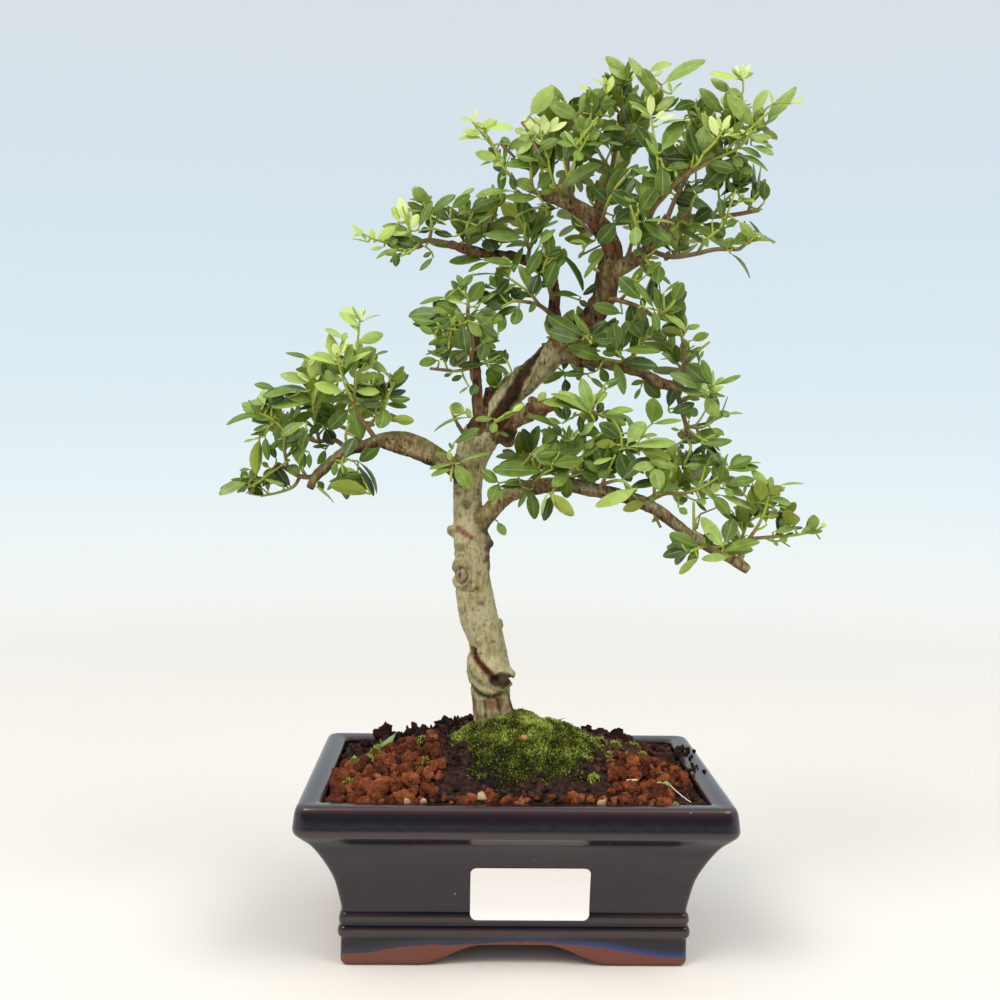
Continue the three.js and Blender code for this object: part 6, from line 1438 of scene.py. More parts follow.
    [97.5, 399.5, 86, 412, 6.5, 5], [98, 403, 96.8, 408.5, 2, 8], [114, 395, 99.5, 409.5, 8, 6],
    [112, 400, 119, 412, 5.5, 7], [117, 400, 116, 407, 2.4, 8], [122, 405, 119.5, 412, 1.6, 8],
    [119, 395.5, 133, 414, 8, 6], [131, 405.5, 137.2, 408.3, 2, 8], [73, 401, 84.5, 405, 5, 3],
    [80, 399, 86.5, 402.5, 3, 7], [79, 397, 87, 397.5, 1.6, 7], [86, 396.5, 83, 396, 1.4, 7],
    [92, 390, 87.5, 400.5, 4, 6], [96, 388, 91.5, 399, 4.5, 9], [97, 389, 95.5, 399, 3, 8],
    [98, 390, 101.5, 399.5, 2.4, 9], [98, 389, 104.5, 394, 2.2, 9], [99, 388.5, 109, 392, 3, 8],
    [103, 391, 107, 396, 4, 4], [111, 388.5, 122, 389.5, 4, 6], [112, 388, 120.5, 386.5, 2, 3],
    [118, 386.5, 122.5, 384, 1.6, 6], [112, 385, 123.2, 380.8, 2.6, 6], [106, 383.5, 117, 379.5, 2.6, 4],
    [105.5, 380.5, 120.5, 372.8, 3, 5], [103, 379, 107.5, 374.5, 4.5, 4], [107, 373, 91.5, 376, 6, 3],
    [106, 373, 113.5, 372.5, 3.4, 4], [88, 380.5, 89, 391.5, 10.5, 6], [86, 378, 81, 393, 5, 2],
    [101, 382, 94.5, 383, 3, 2], [92, 371, 96, 363, 8, 3], [101, 366.5, 113, 367, 2, 4],
    # the crown's middle and its right side
    [44, 362, 57, 375, 6, 1], [68.5, 376, 69, 359.5, 8, 3], [57.5, 351, 66, 364, 7.5, 4],
    [57, 354, 44, 362, 7, 2], [57, 356.5, 50, 359.5, 2.4, 4], [44, 355.5, 35, 363.5, 6, 2],
    [45.5, 347, 54, 353, 6, 3], [45.5, 350, 49, 355.5, 4, 3], [55, 347, 48, 347.5, 2, 3],
    [47, 347, 38, 336.5, 8, 2], [56, 346, 56, 335.5, 6.5, 5], [58.5, 347.5, 73.5, 338, 6, 4],
    [59, 348.5, 75.5, 346.5, 2, 6], [58.5, 337, 65, 340, 5, 3], [55.5, 333.5, 59.5, 331.5, 4, 3],
    [24, 350.5, 31, 341.5, 6, 3], [36.5, 338, 21.5, 338.5, -4.5, 3], [33, 336, 24, 337, 2, 8],
    [30.5, 332, 31, 336.5, 2, 8], [31, 333, 28.5, 329, 2, 6], [41.5, 334.5, 33.5, 327, 5, 5],
    [41.5, 332.5, 31.5, 319.5, 2.6, 6], [35, 325, 39, 322.8, 2, 5], [18, 333, 31, 313, 3, 1],
    [68.5, 327, 67.5, 317.3, 6.5, 3], [61.5, 326, 66, 328, 2.6, 4], [74.5, 333.5, 83, 335.5, 3, 4],
    [73, 334, 71, 328.5, 3.4, 3], [73, 343, 76.5, 338.5, 1.8, 2], [77.5, 348, 85, 350.5, 6.5, 5],
    [76, 361, 94.5, 352, 5, 3], [84, 347.5, 93, 354, 7, 2], [89, 347, 100, 341, 8, 3],
    [98.5, 349.5, 97, 359.5, 4.5, 3], [82, 346, 101, 335, 5, 5], [76, 344.5, 92, 335.5, 3, 3],
    [92, 336, 89.5, 340, 3, 6], [101, 334.5, 102.5, 340.5, 5, 5], [103, 336.5, 115.5, 343.5, 6.5, 5],
    [106.5, 348.5, 114, 340.5, 5, 6], [107, 348, 100.5, 346.5, 4, 4], [111, 338.2, 125.5, 338.5, 1.7, 5],
    [102.5, 333, 112.8, 320.5, 1.4, 3], [119, 358, 119, 367.5, 5.5, 4], [106, 357, 109, 361.5, 2.4, 8],
    [107, 357.5, 115, 358, 1.2, 7], [108, 360, 112.5, 356.5, 3, 5], [104, 356.5, 100, 357.5, 1.4, 4],
    [100, 367, 104, 362, 3.5, 3], [104, 363, 111.5, 364.5, 2.6, 3], [90, 366, 85, 362, 4, 2],
    [76, 362, 84, 361, 2, 3], [73, 359, 84, 356, 5, 1],
    # beside the bend of the trunk, on the right
    [44, 318.5, 31, 311.5, 3.4, 1], [30, 310.5, 16, 311.5, 2, 5], [29, 309, 33.5, 306, 3, 2],
    [60, 309, 48.5, 320.5, 8, 3], [66, 305, 55.5, 318.5, 4, 5], [61, 305, 60.5, 311, 3, 2],
    [69, 305, 66, 316, 4, 3], [74.5, 308.5, 80, 318.3, 6.5, 4], [70, 304, 80.5, 305.8, 3.6, 4],
    [70, 302.5, 82, 295, 3, 6], [50.5, 302.5, 36, 306.3, 6, 4], [35, 292.5, 27, 302.5, 4.6, 4],
    [32, 291, 14, 301, 7, 3], [31, 289.5, 13, 294, 6, 3], [35.5, 291.5, 43, 299, 5, 1],
    [36, 290, 48, 290.5, 6, 3], [49, 284.5, 46, 298, 8, 3], [50.5, 284.5, 53.5, 300, 7, 3],
    [58, 305.5, 61, 298, 8, 4], [66, 305, 68, 294.5, 4.5, 5], [80.5, 292.5, 70, 296.5, 6.5, 3],
    [61, 291, 55, 299, 6, 2], [65, 292, 71, 291, 4, 1], [51, 284.5, 70, 284.5, 4.6, 4],
    [76, 283.5, 70, 289, 5, 4], [79, 279.5, 77, 288, 4, 3], [77.5, 279.5, 70, 283.8, 2, 6],
    [42, 280, 24, 286.5, 6, 4], [49, 283.5, 41, 283.5, 4, 4], [50, 279, 68.5, 277, 7, 3],
    [47, 279.5, 52, 263, 6, 5], [40, 276.5, 44, 269.5, 5, 4], [38, 274.5, 33, 278, 4, 1],
    [30.5, 273.5, 25, 278.5, 2.4, 3], [34, 273, 22, 272, 4, 2], [22, 274, 24, 285, 4.5, 2],
    [35, 271.5, 42, 266, 3, 3], [42, 268, 50, 271, 3, 3], [43, 265.5, 50, 269.5, 2.2, 5],
    [62, 270, 55.5, 268, 3, 4], [60.5, 267, 57.5, 261, 2, 5], [61, 271, 70, 262, 7, 3],
    # the right side, above the long branch
    [81.5, 295.5, 88.7, 297.5, 3, 6], [84.5, 290, 93.3, 293.5, -4.6, 6], [89, 281, 90.8, 285.3, 1.5, 7],
    [88.5, 279, 86, 286, 1.4, 3], [83, 285, 87, 284.5, 1.2, 2], [93.5, 269, 82, 278, 8.5, 3],
    [95.5, 268, 90, 281, 4.5, 5], [90.5, 266.5, 74, 274, 5, 4], [91, 264.5, 78.5, 267, 4, 5],
    [93.5, 266, 94, 271.5, 2.5, 5], [97, 268.5, 109.5, 273.5, 2.2, 5], [96, 269, 101, 272.5, 3, 6],
    [93, 266, 101, 268, 3, 8], [93.5, 264.7, 102, 263, 2, 5], [92, 263, 98.8, 252.5, 6.8, 6],
    [74, 256.5, 78, 269.5, 5.5, 1], [66, 249.5, 67.5, 261.5, 9.5, 5], [75, 254.5, 87, 259.5, 5.5, 2],
    [84, 261, 89.5, 261.5, 1.6, 6], [80, 262, 86, 262, 2, 5], [84.5, 251, 83.5, 257.5, 3.5, 5],
    [84, 257.5, 88.5, 253.5, 4.5, 6], [66, 249, 81, 251, 2.8, 6], [103, 254.2, 111, 254.7, 1.6, 6],
    # before the lower crotch and the middle branch
    [-10, 266, -13, 276, 8, 3], [-8, 269.5, -1, 273, 2.4, 5], [24, 274, 12.3, 268, 4.5, 4],
    [23, 271, 23, 263.5, 5, 1], [36.5, 253, 31, 271, 6.5, 6], [36, 253.5, 20, 264.5, 7, 7],
    [36, 253, 16, 263, 3.5, 6], [33, 254.5, 12, 258.5, 3, 6], [9.5, 259.5, 13.5, 264, 4.2, 8],
    [9.5, 259, 12, 252, 1.2, 5], [-3, 254, 3, 258, 3, 8], [-9, 251.3, -1.5, 254, 3, 5],
    [-11.5, 250.5, -21, 249.8, 3, 4], [-10.3, 248.5, -12, 243.5, 4, 5], [-10, 244.5, -4, 242, 2, 3],
    [4.5, 232.5, 2.5, 246, 6.5, 4], [7.5, 232.5, 10.5, 247.5, 5.5, 5], [5.5, 233, -10.5, 231.8, 3.4, 5],
    [1, 227, -2, 230.5, 4, 3], [13.5, 225, -12, 225.5, 6.8, 4], [-8.5, 219, -17.5, 225.3, 6, 5],
    [-8, 219.5, -13, 210, 7, 4], [7, 218.5, -6, 219, 2.2, 5], [3, 217.3, -8, 217.5, 2.4, 3],
    [5, 216.5, 1, 207, 3.2, 4], [6.5, 216, 9.3, 201.3, 6.4, 3], [15, 215, 12.5, 203, 2.4, 7],
    [15.5, 214.5, 28.5, 203.3, -6, 6], [21, 235, 9.5, 233, 4, 4], [17, 228, 9.3, 232.5, 5, 5],
    [18, 230, 19.5, 239.5, 5, 4], [19, 230, 30, 236.5, 6, 4], [17.5, 229, 32.5, 230, 6, 4],
    [26, 224.5, 17.5, 217.5, 6, 5], [26.5, 224, 19.5, 222.5, 4.5, 2], [25.5, 223, 24.5, 212, 6.5, 4],
    [30, 224, 42.5, 213, 5, 4], [31, 225.5, 41, 222, 6, 4], [33, 230.5, 40.5, 225.5, 4.5, 5],
    [47, 232.5, 37.5, 229, 2, 7], [38, 250, 30.5, 243, 4.5, 7], [30, 253, 31, 244, 3.5, 1],
    [24, 243.5, 5, 251.8, 3.2, 4], [22, 248.5, 15, 251, 2.5, 6], [19, 243.5, 11, 245, 3, 5],
    [22, 242.5, 17.5, 246.5, 4, 2], [23.5, 250, 17.5, 257, 4, 3], [23.5, 250, 23, 257, 5, 1],
    [24, 240, 22, 247, 1.6, 6], [26, 240, 27, 246, 2, 8], [27, 241, 30, 246, 2, 7],
    [25, 241, 25.5, 248, 2, 5], [23, 240.5, 31, 238.5, 2.5, 3], [24, 250, 26, 255, 2, 7],
    [27, 251.5, 29, 254.5, 1.6, 7], [33, 236, 38, 241, 4, 5], [38, 259, 43, 268, 2, 6],
    [39, 253, 42, 259, 4.5, 2],
    # the sprouts on the trunk
    [-24, 266, -28.5, 263, 1.4, 5], [-25.5, 253.5, -33, 256.5, 5.8, 6], [-22.5, 251.5, -25.5, 255.5, 3, 7],
    [-20, 255.5, -22, 261, 3, 4], [-24, 251, -41, 243.5, 2, 6], [-32, 238.5, -18.5, 245.5, 3.8, 4],
    [-31, 238.5, -27, 240, 2.4, 5], [-32, 235.5, -33.5, 238.5, 1.8, 5], [-34, 233, -40.5, 232.5, 2.4, 4],
    [-32.5, 229.5, -33.5, 234, 3, 8], [-32, 228, -43, 225.5, 2, 6], [-31.5, 226, -42, 222, 2.2, 5],
    [-30.5, 228.5, -23, 215.5, 7.5, 5], [-28, 228.5, -11.5, 233.5, 1.4, 6],
    # the pads on the long branch to the right
    [41, 253, 57, 255.5, 2.6, 6], [48, 250.5, 53.5, 248.5, -3.6, 6], [54, 239, 62.5, 250, 8.5, 6],
    [50, 241, 40, 249, 7, 2], [49, 238.5, 38.5, 239, -5.5, 5], [54, 237, 78.5, 239.5, 2, 7],
    [61, 242, 69, 243.5, 2.5, 6], [60, 236, 70, 239.5, 5, 5], [75, 236.5, 69, 240, 4, 2],
    [61, 235.5, 76, 231.5, -6.5, 5], [60, 233.5, 56, 238, 4.5, 6], [69, 229, 57, 227, 5.5, 6],
    [50, 236, 56.5, 220.5, 9, 3], [46, 231.5, 40.5, 225.5, 3.5, 1], [47, 226, 40, 222.5, 4, 5],
    [59.5, 217.5, 39, 208, 7, 7], [64, 210.5, 52.5, 206.5, -5.5, 5], [67, 228, 71, 216.5, 7.5, 5],
    [71.5, 214.5, 78, 223, 8, 5], [79, 228, 66, 231, 5, 6], [82, 228.5, 75.5, 235, 4, 4],
    [82, 228, 91, 229, 3.8, 6], [84, 232, 98, 232, 5, 3], [81.5, 223, 100, 209, 4.5, 6],
    [81, 222.5, 84, 216, 6, 4], [76, 228, 75.5, 222.5, 1.4, 8], [84, 228, 87, 222.5, 1.4, 4],
    [89, 223, 86, 228.5, 3.5, 2], [88, 222.5, 93, 226.5, 3, 5], [80, 208, 84.5, 205, 3.6, 6],
    [90, 213, 93, 209.5, 4, 6], [80, 211.5, 84.5, 212.5, 3, 2], [72, 213.5, 84, 213.8, 1.4, 5],
    [70, 214.5, 65.5, 211, 3, 5], [72.5, 204.5, 67, 200.5, 2.6, 5], [80, 246, 75.5, 247, 1.8, 5],
    [88, 248, 91, 241.5, 2.2, 4], [91, 239.5, 106, 241.5, 5, 4], [91, 240.5, 98, 244.5, 1.4, 6],
    [95, 247.5, 102, 244, 3, 5], [80, 240, 87, 242, 3, 2], [79, 240.5, 82, 237, 2.4, 3],
    # the far end on the right
    [101.5, 227.5, 92, 238, 2.2, 3], [105, 228, 100, 234, 2, 5], [105.5, 228.5, 116, 233.5, 6, 4],
    [105, 226.5, 119.5, 228.5, 4, 5], [115, 228, 124, 220, 4.5, 6], [112, 229.5, 120.5, 230.5, 1, 5],
    [103.5, 220, 117.5, 222.5, 5.5, 5], [100.5, 220.5, 97, 229.5, 5, 3], [101, 220.5, 102, 229.5, 6, 4],
    [101, 220, 96.5, 215.5, 4.5, 6], [96.5, 214.5, 105.5, 204.5, 6, 5], [100.5, 214.5, 118, 207.5, 5, 6],
    [102, 218.5, 107.5, 214, 3.5, 5], [103, 219, 112.5, 214.5, 4, 5], [112.5, 215, 113.5, 219.5, 1.6, 6],
    [121, 211, 119.5, 222.5, -7, 5], [123, 215.5, 131.5, 219, -5, 6], [130, 219.5, 142, 220.5, 1.6, 6],
    [124, 214.5, 132.5, 217.5, 2, 6], [123, 210, 129.5, 212.5, 3.5, 4], [125, 211, 136, 210.3, 2, 6],
    [127, 209.5, 134, 208, 1, 5], [114.5, 212.5, 118.5, 213, 1.2, 3], [115.5, 211, 120, 208.5, 2, 5],
    [124, 204, 130, 205, -3.5, 6], [129, 207.2, 134, 206, 1, 6], [138, 199, 134.5, 207.5, -8.5, 5],
    [132, 198.5, 130.5, 203, 2.4, 4], [127, 196.5, 138.5, 199, 3.5, 6], [141, 196, 147, 200, 2.5, 5],
    [149, 197, 146.5, 205.3, 6, 6], [150.5, 198.5, 153, 202, 1.6, 9], [150.5, 199, 154, 200.6, 1.8, 9],
    [143, 196.5, 152, 197.5, 2.4, 5], [148.5, 196, 151, 193, 0.9, 4], [130, 193.5, 134, 191.5, 3.5, 6],
    [127, 192.5, 130, 189.7, 2, 6], [102, 186, 121, 191.5, 4.5, 5], [107, 184.5, 92, 182.5, 4.8, 6],
    [103, 188, 91.5, 203.5, 6.5, 6], [103, 191.5, 107.5, 203, 8, 3], [97, 189, 95, 195.5, 4.5, 1],
    [111, 203, 117, 205, 3.5, 3], [110.5, 203, 118, 199, 3.5, 5], [118, 206, 119.5, 203.5, 2, 7],
    [117, 207, 124, 208, 2.4, 6], [119, 207.5, 124, 204.5, 2.4, 6], [110, 205, 109.5, 208, 2, 1],
    [108.5, 203, 105.5, 207.5, 1, 6], [109, 193, 107, 198, 2.4, 4], [92, 188.5, 75.8, 195, 8, 4],
    [89, 186.5, 72.7, 183.8, 6, 3], [82, 190, 76.5, 190, 2, 2], [90.5, 183.5, 81, 175.2, -3.4, 6],
    [-9, 200, -5.2, 193.3, 4.5, 6],
])

# Bare twigs and leafless stems, judged in the same way: foot, tip, thickness, and 0 for brown to 1 for green
SEEN_STEMS = np.array([
    [-10, 383.5, -3, 377, 1.6, 0], [5, 385, 9, 378.5, 1.6, 0], [0, 394, 3, 390, 1.4, 0],
    [25, 394.5, 30, 400.5, 1.2, 0.2], [26, 383, 37, 397.5, 1.4, 1], [112, 352, 118, 354.5, 1.3, 1],
    [-33, 272.5, -43, 274.5, 1.8, 0], [-112, 245, -128, 252, 1.2, 1], [-111, 229, -126, 218.5, 1.2, 1],
    [-65, 257, -58.5, 272, 1.2, 0.8], [-8, 375, -24, 394, 1.4, 0.6], [100, 383, 120, 401, 1.3, 0.6],
    [101, 352, 105, 364, 1, 0.5], [30.5, 331, 40, 336, 1.2, 0.2], [116, 354.5, 119, 358, 1, 1],
    [67.5, 206, 71.5, 198, 1.6, 0], [88, 197, 87.5, 211, 1.6, 0.5], [89.5, 198, 91, 205, 0.9, 0.2],
    [91, 205, 99, 208.3, 0.9, 0.2], [84, 249, 96, 250.5, 1.4, 0.2], [96, 250.5, 103, 254.2, 1.2, 0.9],
    [1, 225.5, 10, 237, 1.3, 0.4], [8, 217, 14, 226, 1.2, 0.2], [13, 252, 17, 257.5, 1.5, 0],
    [103, 219.5, 109, 219, 0.7, 0.2], [109, 219, 112, 214.5, 0.7, 0.2], [93, 194, 94.5, 196, 1.6, 0],
])

# The leaf's half-width along its length: it widens past the middle and ends bluntly on a short stalk
LEAF_PLACES = np.array([0.015, 0.1, 0.22, 0.4, 0.6, 0.8, 0.95])
LEAF_WIDTHS = np.array([0.08, 0.15, 0.58, 0.93, 1.0, 0.77, 0.35])


# How much a leaf faces outwards from the tree, beside upwards
OUTWARD = 0.9


def dice(seed):
    """An endless run of numbers from 0 to 1: state times 1664525 plus 1013904223, modulo 2 to the 32nd."""
    state = seed * 2654435761 % 2**32
    while True:
        state = (state * 1664525 + 1013904223) % 2**32
        yield state / 2**32


def place_on(line, shares):
    """Places and slopes along a line of straight stretches, at shares of its whole length."""
    line = np.asarray(line, float)
    steps = np.diff(line, axis=0)
    run = np.concatenate([[0], np.cumsum(np.linalg.norm(steps, axis=1))])
    at = np.asarray(shares) * run[-1]
    i = np.clip(np.searchsorted(run, at, side="right") - 1, 0, len(steps) - 1)
    slope = unit(steps)[i]
    return line[i] + slope * (at - run[i])[:, None], slope


def length_of(line):
    """The sum of a line's straight stretches."""
    return np.linalg.norm(np.diff(np.asarray(line, float), axis=0), axis=1).sum()


def leaves_on(line, shares, turns, spreads, rolls, lengths, widths, away=(0, 0)):
    """Leaves set round a shoot: out is square to it at the leaf's turn, and the leaf's way is the shoot's
    times cos spread plus out sin spread, lifted by a quarter to the light. Its face is upwards and away from
    the pad's middle, squared to that way and rolled. Angles are in degrees."""
    roots, along = place_on(line, np.clip(shares, 0, 1))
    helper = np.where(np.abs(along[:, 2:]) < 0.9, [0.0, 0.0, 1.0], [1.0, 0.0, 0.0])
    across = unit(np.cross(along, helper))
    other = np.cross(along, across)
    turns, spreads, rolls = (np.radians(v)[:, None] for v in (turns, spreads, rolls))
    out = across * np.cos(turns) + other * np.sin(turns)
    ahead = unit(along * np.cos(spreads) + out * np.sin(spreads) + [0, 0, 0.25])
    aside = (roots + ahead * 8)[:, :2] - away
    aside = aside / np.maximum(np.linalg.norm(aside, axis=1, keepdims=True), 12)
    face = along * 0.35 + np.hstack([aside * OUTWARD, np.ones((len(aside), 1))])
    face = unit(face - ahead * (face * ahead).sum(1, keepdims=True))
    face = face * np.cos(rolls) + np.cross(ahead, face) * np.sin(rolls)
    return np.hstack([roots, ahead, face, lengths[:, None], (lengths * widths)[:, None]])


def first_leaves(line, pitch, sizes, numbers, away):
    """The shoot's main leaves, a golden turn apart, one to each pitch: share 0.22 to 0.98 of the shoot, and
    a spread that closes from 66 degrees at its foot to 38 at its end."""
    count = max(2, int(np.floor(length_of(line) / pitch + 0.5)))
    phase = 360 * next(numbers)
    draws = np.array([[next(numbers) for _ in range(4)] for _ in range(count)])
    k = np.arange(count)
    shares = 0.22 + 0.76 * (k + 0.5) / count + 0.22 / count
    spreads = 66 - 28 * shares + 16 * (draws[:, 0] - 0.5)
    lengths = sizes[0] + (sizes[1] - sizes[0]) * draws[:, 2]
    widths = 0.4 + 0.08 * draws[:, 3]
    rolls = 50 * (draws[:, 1] - 0.5)
    return leaves_on(line, np.minimum(shares, 0.98), phase + 137.5 * k, spreads, rolls, lengths, widths, away)


def more_leaves(line, pitch, sizes, draws, away):
    """Leaves between the main ones, closer together and smaller, to the shoot's very end."""
    count = max(2, int(length_of(line) / pitch))
    shares = np.sort(draws.uniform(0.12, 0.99, count))
    turns = draws.uniform(0, 360) + 137.5 * np.arange(count) + draws.uniform(-20, 20, count)
    spreads = 70 - 30 * shares + draws.normal(0, 9, count)
    lengths = draws.uniform(*sizes, count) * (1 - 0.15 * shares)
    widths = draws.uniform(0.36, 0.48, count)
    return leaves_on(line, shares, turns, spreads, draws.normal(0, 22, count), lengths, widths, away)


def rosette(line, count, sizes, draws, away):
    """The cluster that ends a shoot: leaves close together, the innermost short, steep and pale."""
    k = np.arange(count)
    shares = np.linspace(0.93, 1.0, count)
    turns = draws.uniform(0, 360) + 137.5 * k
    spreads = np.linspace(76, 24, count) + draws.normal(0, 8, count)
    lengths = draws.uniform(*sizes, count) * np.linspace(1.0, 0.55, count)
    widths = draws.uniform(0.36, 0.47, count)
    return leaves_on(line, shares, turns, spreads, draws.normal(0, 20, count), lengths, widths, away)


def side_shoots(line, draws):
    """Short branchlets on a shoot: each a line of three places that leaves it at 40 to 65 degrees and bends
    up to the light, 6 to 12 mm long."""
    count = int(length_of(line) / 8.5)
    if count == 0:
        return []
    shares = (np.arange(count) + draws.uniform(0.35, 0.85, count)) / (count + 0.3)
    start = leaves_on(
        line, shares, draws.uniform(0, 360) + 137.5 * np.arange(count), draws.uniform(40, 65, count),
        np.zeros(count), draws.uniform(6, 12, count), np.ones(count),
    )
    roots, ways, lengths = start[:, :3], start[:, 3:6], start[:, 9:10]
    middles = roots + ways * lengths * 0.5
    return list(np.stack([roots, middles, middles + unit(ways + [0, 0, 0.35]) * lengths * 0.5], axis=1))


def blades(leaves, tones, youth_or_painted_sheen, draws, droops=0.12):
    """Leaves as closed skins. The middle runs root + way length s, raised to an arch by droop length s
    (1 - s) and bent to one side in the same way. Across it, the ring has eight points: the upper face folds
    down beside the midrib's groove and turns down at the edge, and the lower face lies 0.35 mm under it."""
    count = len(leaves)
    roots, ahead, face = leaves[:, None, :3], leaves[:, None, 3:6], leaves[:, None, 6:9]
    length, width = leaves[:, 9, None, None], leaves[:, 10, None, None]
    side = np.cross(ahead, face)
    s = LEAF_PLACES[None, :, None]
    droop = np.reshape(draws.normal(droops, 0.07, count), (count, 1, 1))
    sweep = draws.normal(0, 0.09, (count, 1, 1))
    middle = roots + ahead * length * s + (face * droop + side * sweep) * length * s * (1 - s)
    twist = draws.normal(0, 0.25, (count, 1, 1)) * s
    wide = side * np.cos(twist) + face * np.sin(twist)
    up = face * np.cos(twist) - side * np.sin(twist)
    across = np.array([-1, -0.52, 0, 0.52, 1, 0.52, 0, -0.52])
    lift = np.array([0, 1, 1, 1, 0, -1, -1, -1]) * 0.17
    half = 0.5 * width * LEAF_WIDTHS[None, :, None]
    fold = draws.normal(0.1, 0.12, (count, 1, 1))
    curl = draws.normal(-0.1, 0.12, (count, 1, 1))
    flat_out = half * across
    raised = lift + half * (fold * np.abs(across) + curl * across**2)
    raised = raised - np.where(across == 0, 0.05, 0) * half
    rows = middle[:, :, None] + wide[:, :, None] * flat_out[..., None] + up[:, :, None] * raised[..., None]
    tips = roots + ahead * length
    shape = skin(rows, roots[:, 0], tips[:, 0])
    rings = len(LEAF_PLACES)
    lower = np.array([0, 0, 0, 0, 1, 1, 1, 1])
    paint = np.where(np.asarray(youth_or_painted_sheen)[:, None] > 0.9, 3, lower)
    shape["paint"] = (np.tile(paint, rings - 1).ravel(), np.tile(paint, 2).ravel())
    shape["marks"] = same_for_each(np.stack([tones, youth_or_painted_sheen, draws.uniform(0, 1, count)], -1), shape)
    one = np.stack([np.repeat(LEAF_PLACES, 8), np.tile(across * 0.5 + 0.5, rings)], -1)
    shape["flat"] = np.tile(np.vstack([one, [[0, 0.5], [1, 0.5]]]), (count, 1))
    edge = np.append(np.tile(np.abs(across) == 1, rings), [False, False])
    shape["crease"] = np.tile(edge, count)
    return shape


def at_depth(seen, depth):
    """The points at depth y that are seen at x and z of the plane y = 0: the eye plus the way from it to the
    plane's point, times (y less the eye's y) over the eye's distance from the plane."""
    plane = np.stack([seen[..., 0], 0 * seen[..., 0], seen[..., 1]], axis=-1)
    return EYE + (plane - EYE) * ((depth - EYE[1]) / -EYE[1])[..., None]


def as_seen(points):
    """Where points are seen on the plane y = 0, as x and z: the line from the eye through each, at y = 0."""
    return (EYE + (points - EYE) * (-EYE[1] / (points[..., 1:2] - EYE[1])))[..., [0, 2]]


def carried(rows, nodes, owners, draws):
    """Feet for seen leaves or stems. Each starts on the nearest stem as seen, the one in front where two are
    as near; where that is over 1.4 mm off, a thin twig is made from the stem to the foot, and later leaves
    may start on it. The nearest ones come first, so that the twigs branch as they grow."""
    feet, own, twigs = np.zeros((len(rows), 3)), np.zeros(len(rows), int), []
    seen, extra = as_seen(nodes), 0.06 * nodes[:, 1] + np.where(owners < 0, 4.0, 0.0)
    reach = [(np.linalg.norm(seen - row[:2], axis=1) + extra).min() for row in rows]
    for i in np.argsort(reach):
        gap = np.linalg.norm(seen - rows[i, :2], axis=1)
        near = np.argmin(gap + extra)
        if owners[near] < 0:
            owner = owners[np.argmin(gap + np.where(owners < 0, 1e6, 0))]
        else:
            owner = owners[near]
        own[i], feet[i] = owner, nodes[near]
        if gap[near] > 1.4:
            depth = nodes[near, 1] + gap[near] * draws.uniform(-0.5, 0.15)
            feet[i] = at_depth(rows[i, :2], depth)
            way = feet[i] - nodes[near]
            bow = unit(np.cross(way, [0.0, 1.0, 0.0])) * draws.normal(0, 0.08) * gap[near]
            line = nodes[near] + way * np.array([[0], [0.5], [1]]) + np.array([[0], [1], [0]]) * bow
            twigs.append((owner, line))
            more = place_on(line, np.linspace(0, 1, int(gap[near] / 1.5) + 2)[1:])[0]
            nodes, owners = np.vstack([nodes, more]), np.append(owners, np.full(len(more), owner))
            seen, extra = np.vstack([seen, as_seen(more)]), np.append(extra, 0.06 * more[:, 1])
    return feet, own, twigs


def seen_leaves(rows, feet, draws):
    """Whole leaves from what is seen of them: one seen shorter than about twice its width points towards the
    viewer or away, and one seen narrower than 0.4 of its length is tilted by the angle whose cosine is seen
    over real width, its upper side up. Gives the leaves and their droops, more where the edge is seen."""
    reach = (feet[:, 1] - EYE[1]) / -EYE[1]
    seen_length = np.linalg.norm(rows[:, 2:4] - rows[:, :2], axis=1) * reach
    seen_width = np.abs(rows[:, 4]) * reach
    length = np.maximum(seen_length * 1.02, 1.9 * seen_width)
    towards = np.where(draws.random(len(rows)) < 0.65, -1, 1)
    tips = at_depth(rows[:, 2:4], feet[:, 1] + towards * np.sqrt(length**2 - seen_length**2))
    length = np.linalg.norm(tips - feet, axis=1)
    way = unit(tips - feet)
    view = unit(EYE - (feet + tips) / 2)
    view = unit(view - way * (view * way).sum(1, keepdims=True))
    rise = np.cross(way, view)
    rise = rise * np.where(rise[:, 2:] < 0, -1, 1)
    width = np.maximum(seen_width / 0.97, 0.4 * length)
    open_share = np.clip(seen_width / width, 0.12, 0.97)
    face = view * (open_share * np.sign(rows[:, 4]))[:, None] + rise * np.sqrt(1 - open_share**2)[:, None]
    droops = 0.1 + 0.5 * (1 - open_share) ** 2
    return np.hstack([feet, way, unit(face), length[:, None], width[:, None]]), droops


def hidden(leaves):
    """True for leaves that lie behind the seen ones: four points of each, near its foot, at its tip and on
    both edges, are seen inside a seen leaf's outline, taken as an ellipse 3 mm larger, and are deeper."""
    way = leaves[:, 3:6] * leaves[:, 9:10]
    side = np.cross(leaves[:, 3:6], leaves[:, 6:9]) * leaves[:, 10:11] * 0.42
    foot = leaves[:, :3]
    waist = foot + way * 0.6
    points = np.stack([foot + way * 0.3, foot + way, waist + side, waist - side], axis=1)
    from_middle = as_seen(points)[:, :, None] - SEEN_MIDDLES
    along = (from_middle * SEEN_WAYS).sum(-1) / (SEEN_HALVES + 3)
    across = (from_middle * SEEN_WAYS[:, ::-1] * [1, -1]).sum(-1) / (np.abs(SEEN_LEAVES[:, 4]) / 2 + 3)
    inside = (along**2 + across**2 < 1) & (points[:, :, None, 1] > seen_depths + 1)
    return inside.any(2).all(1)


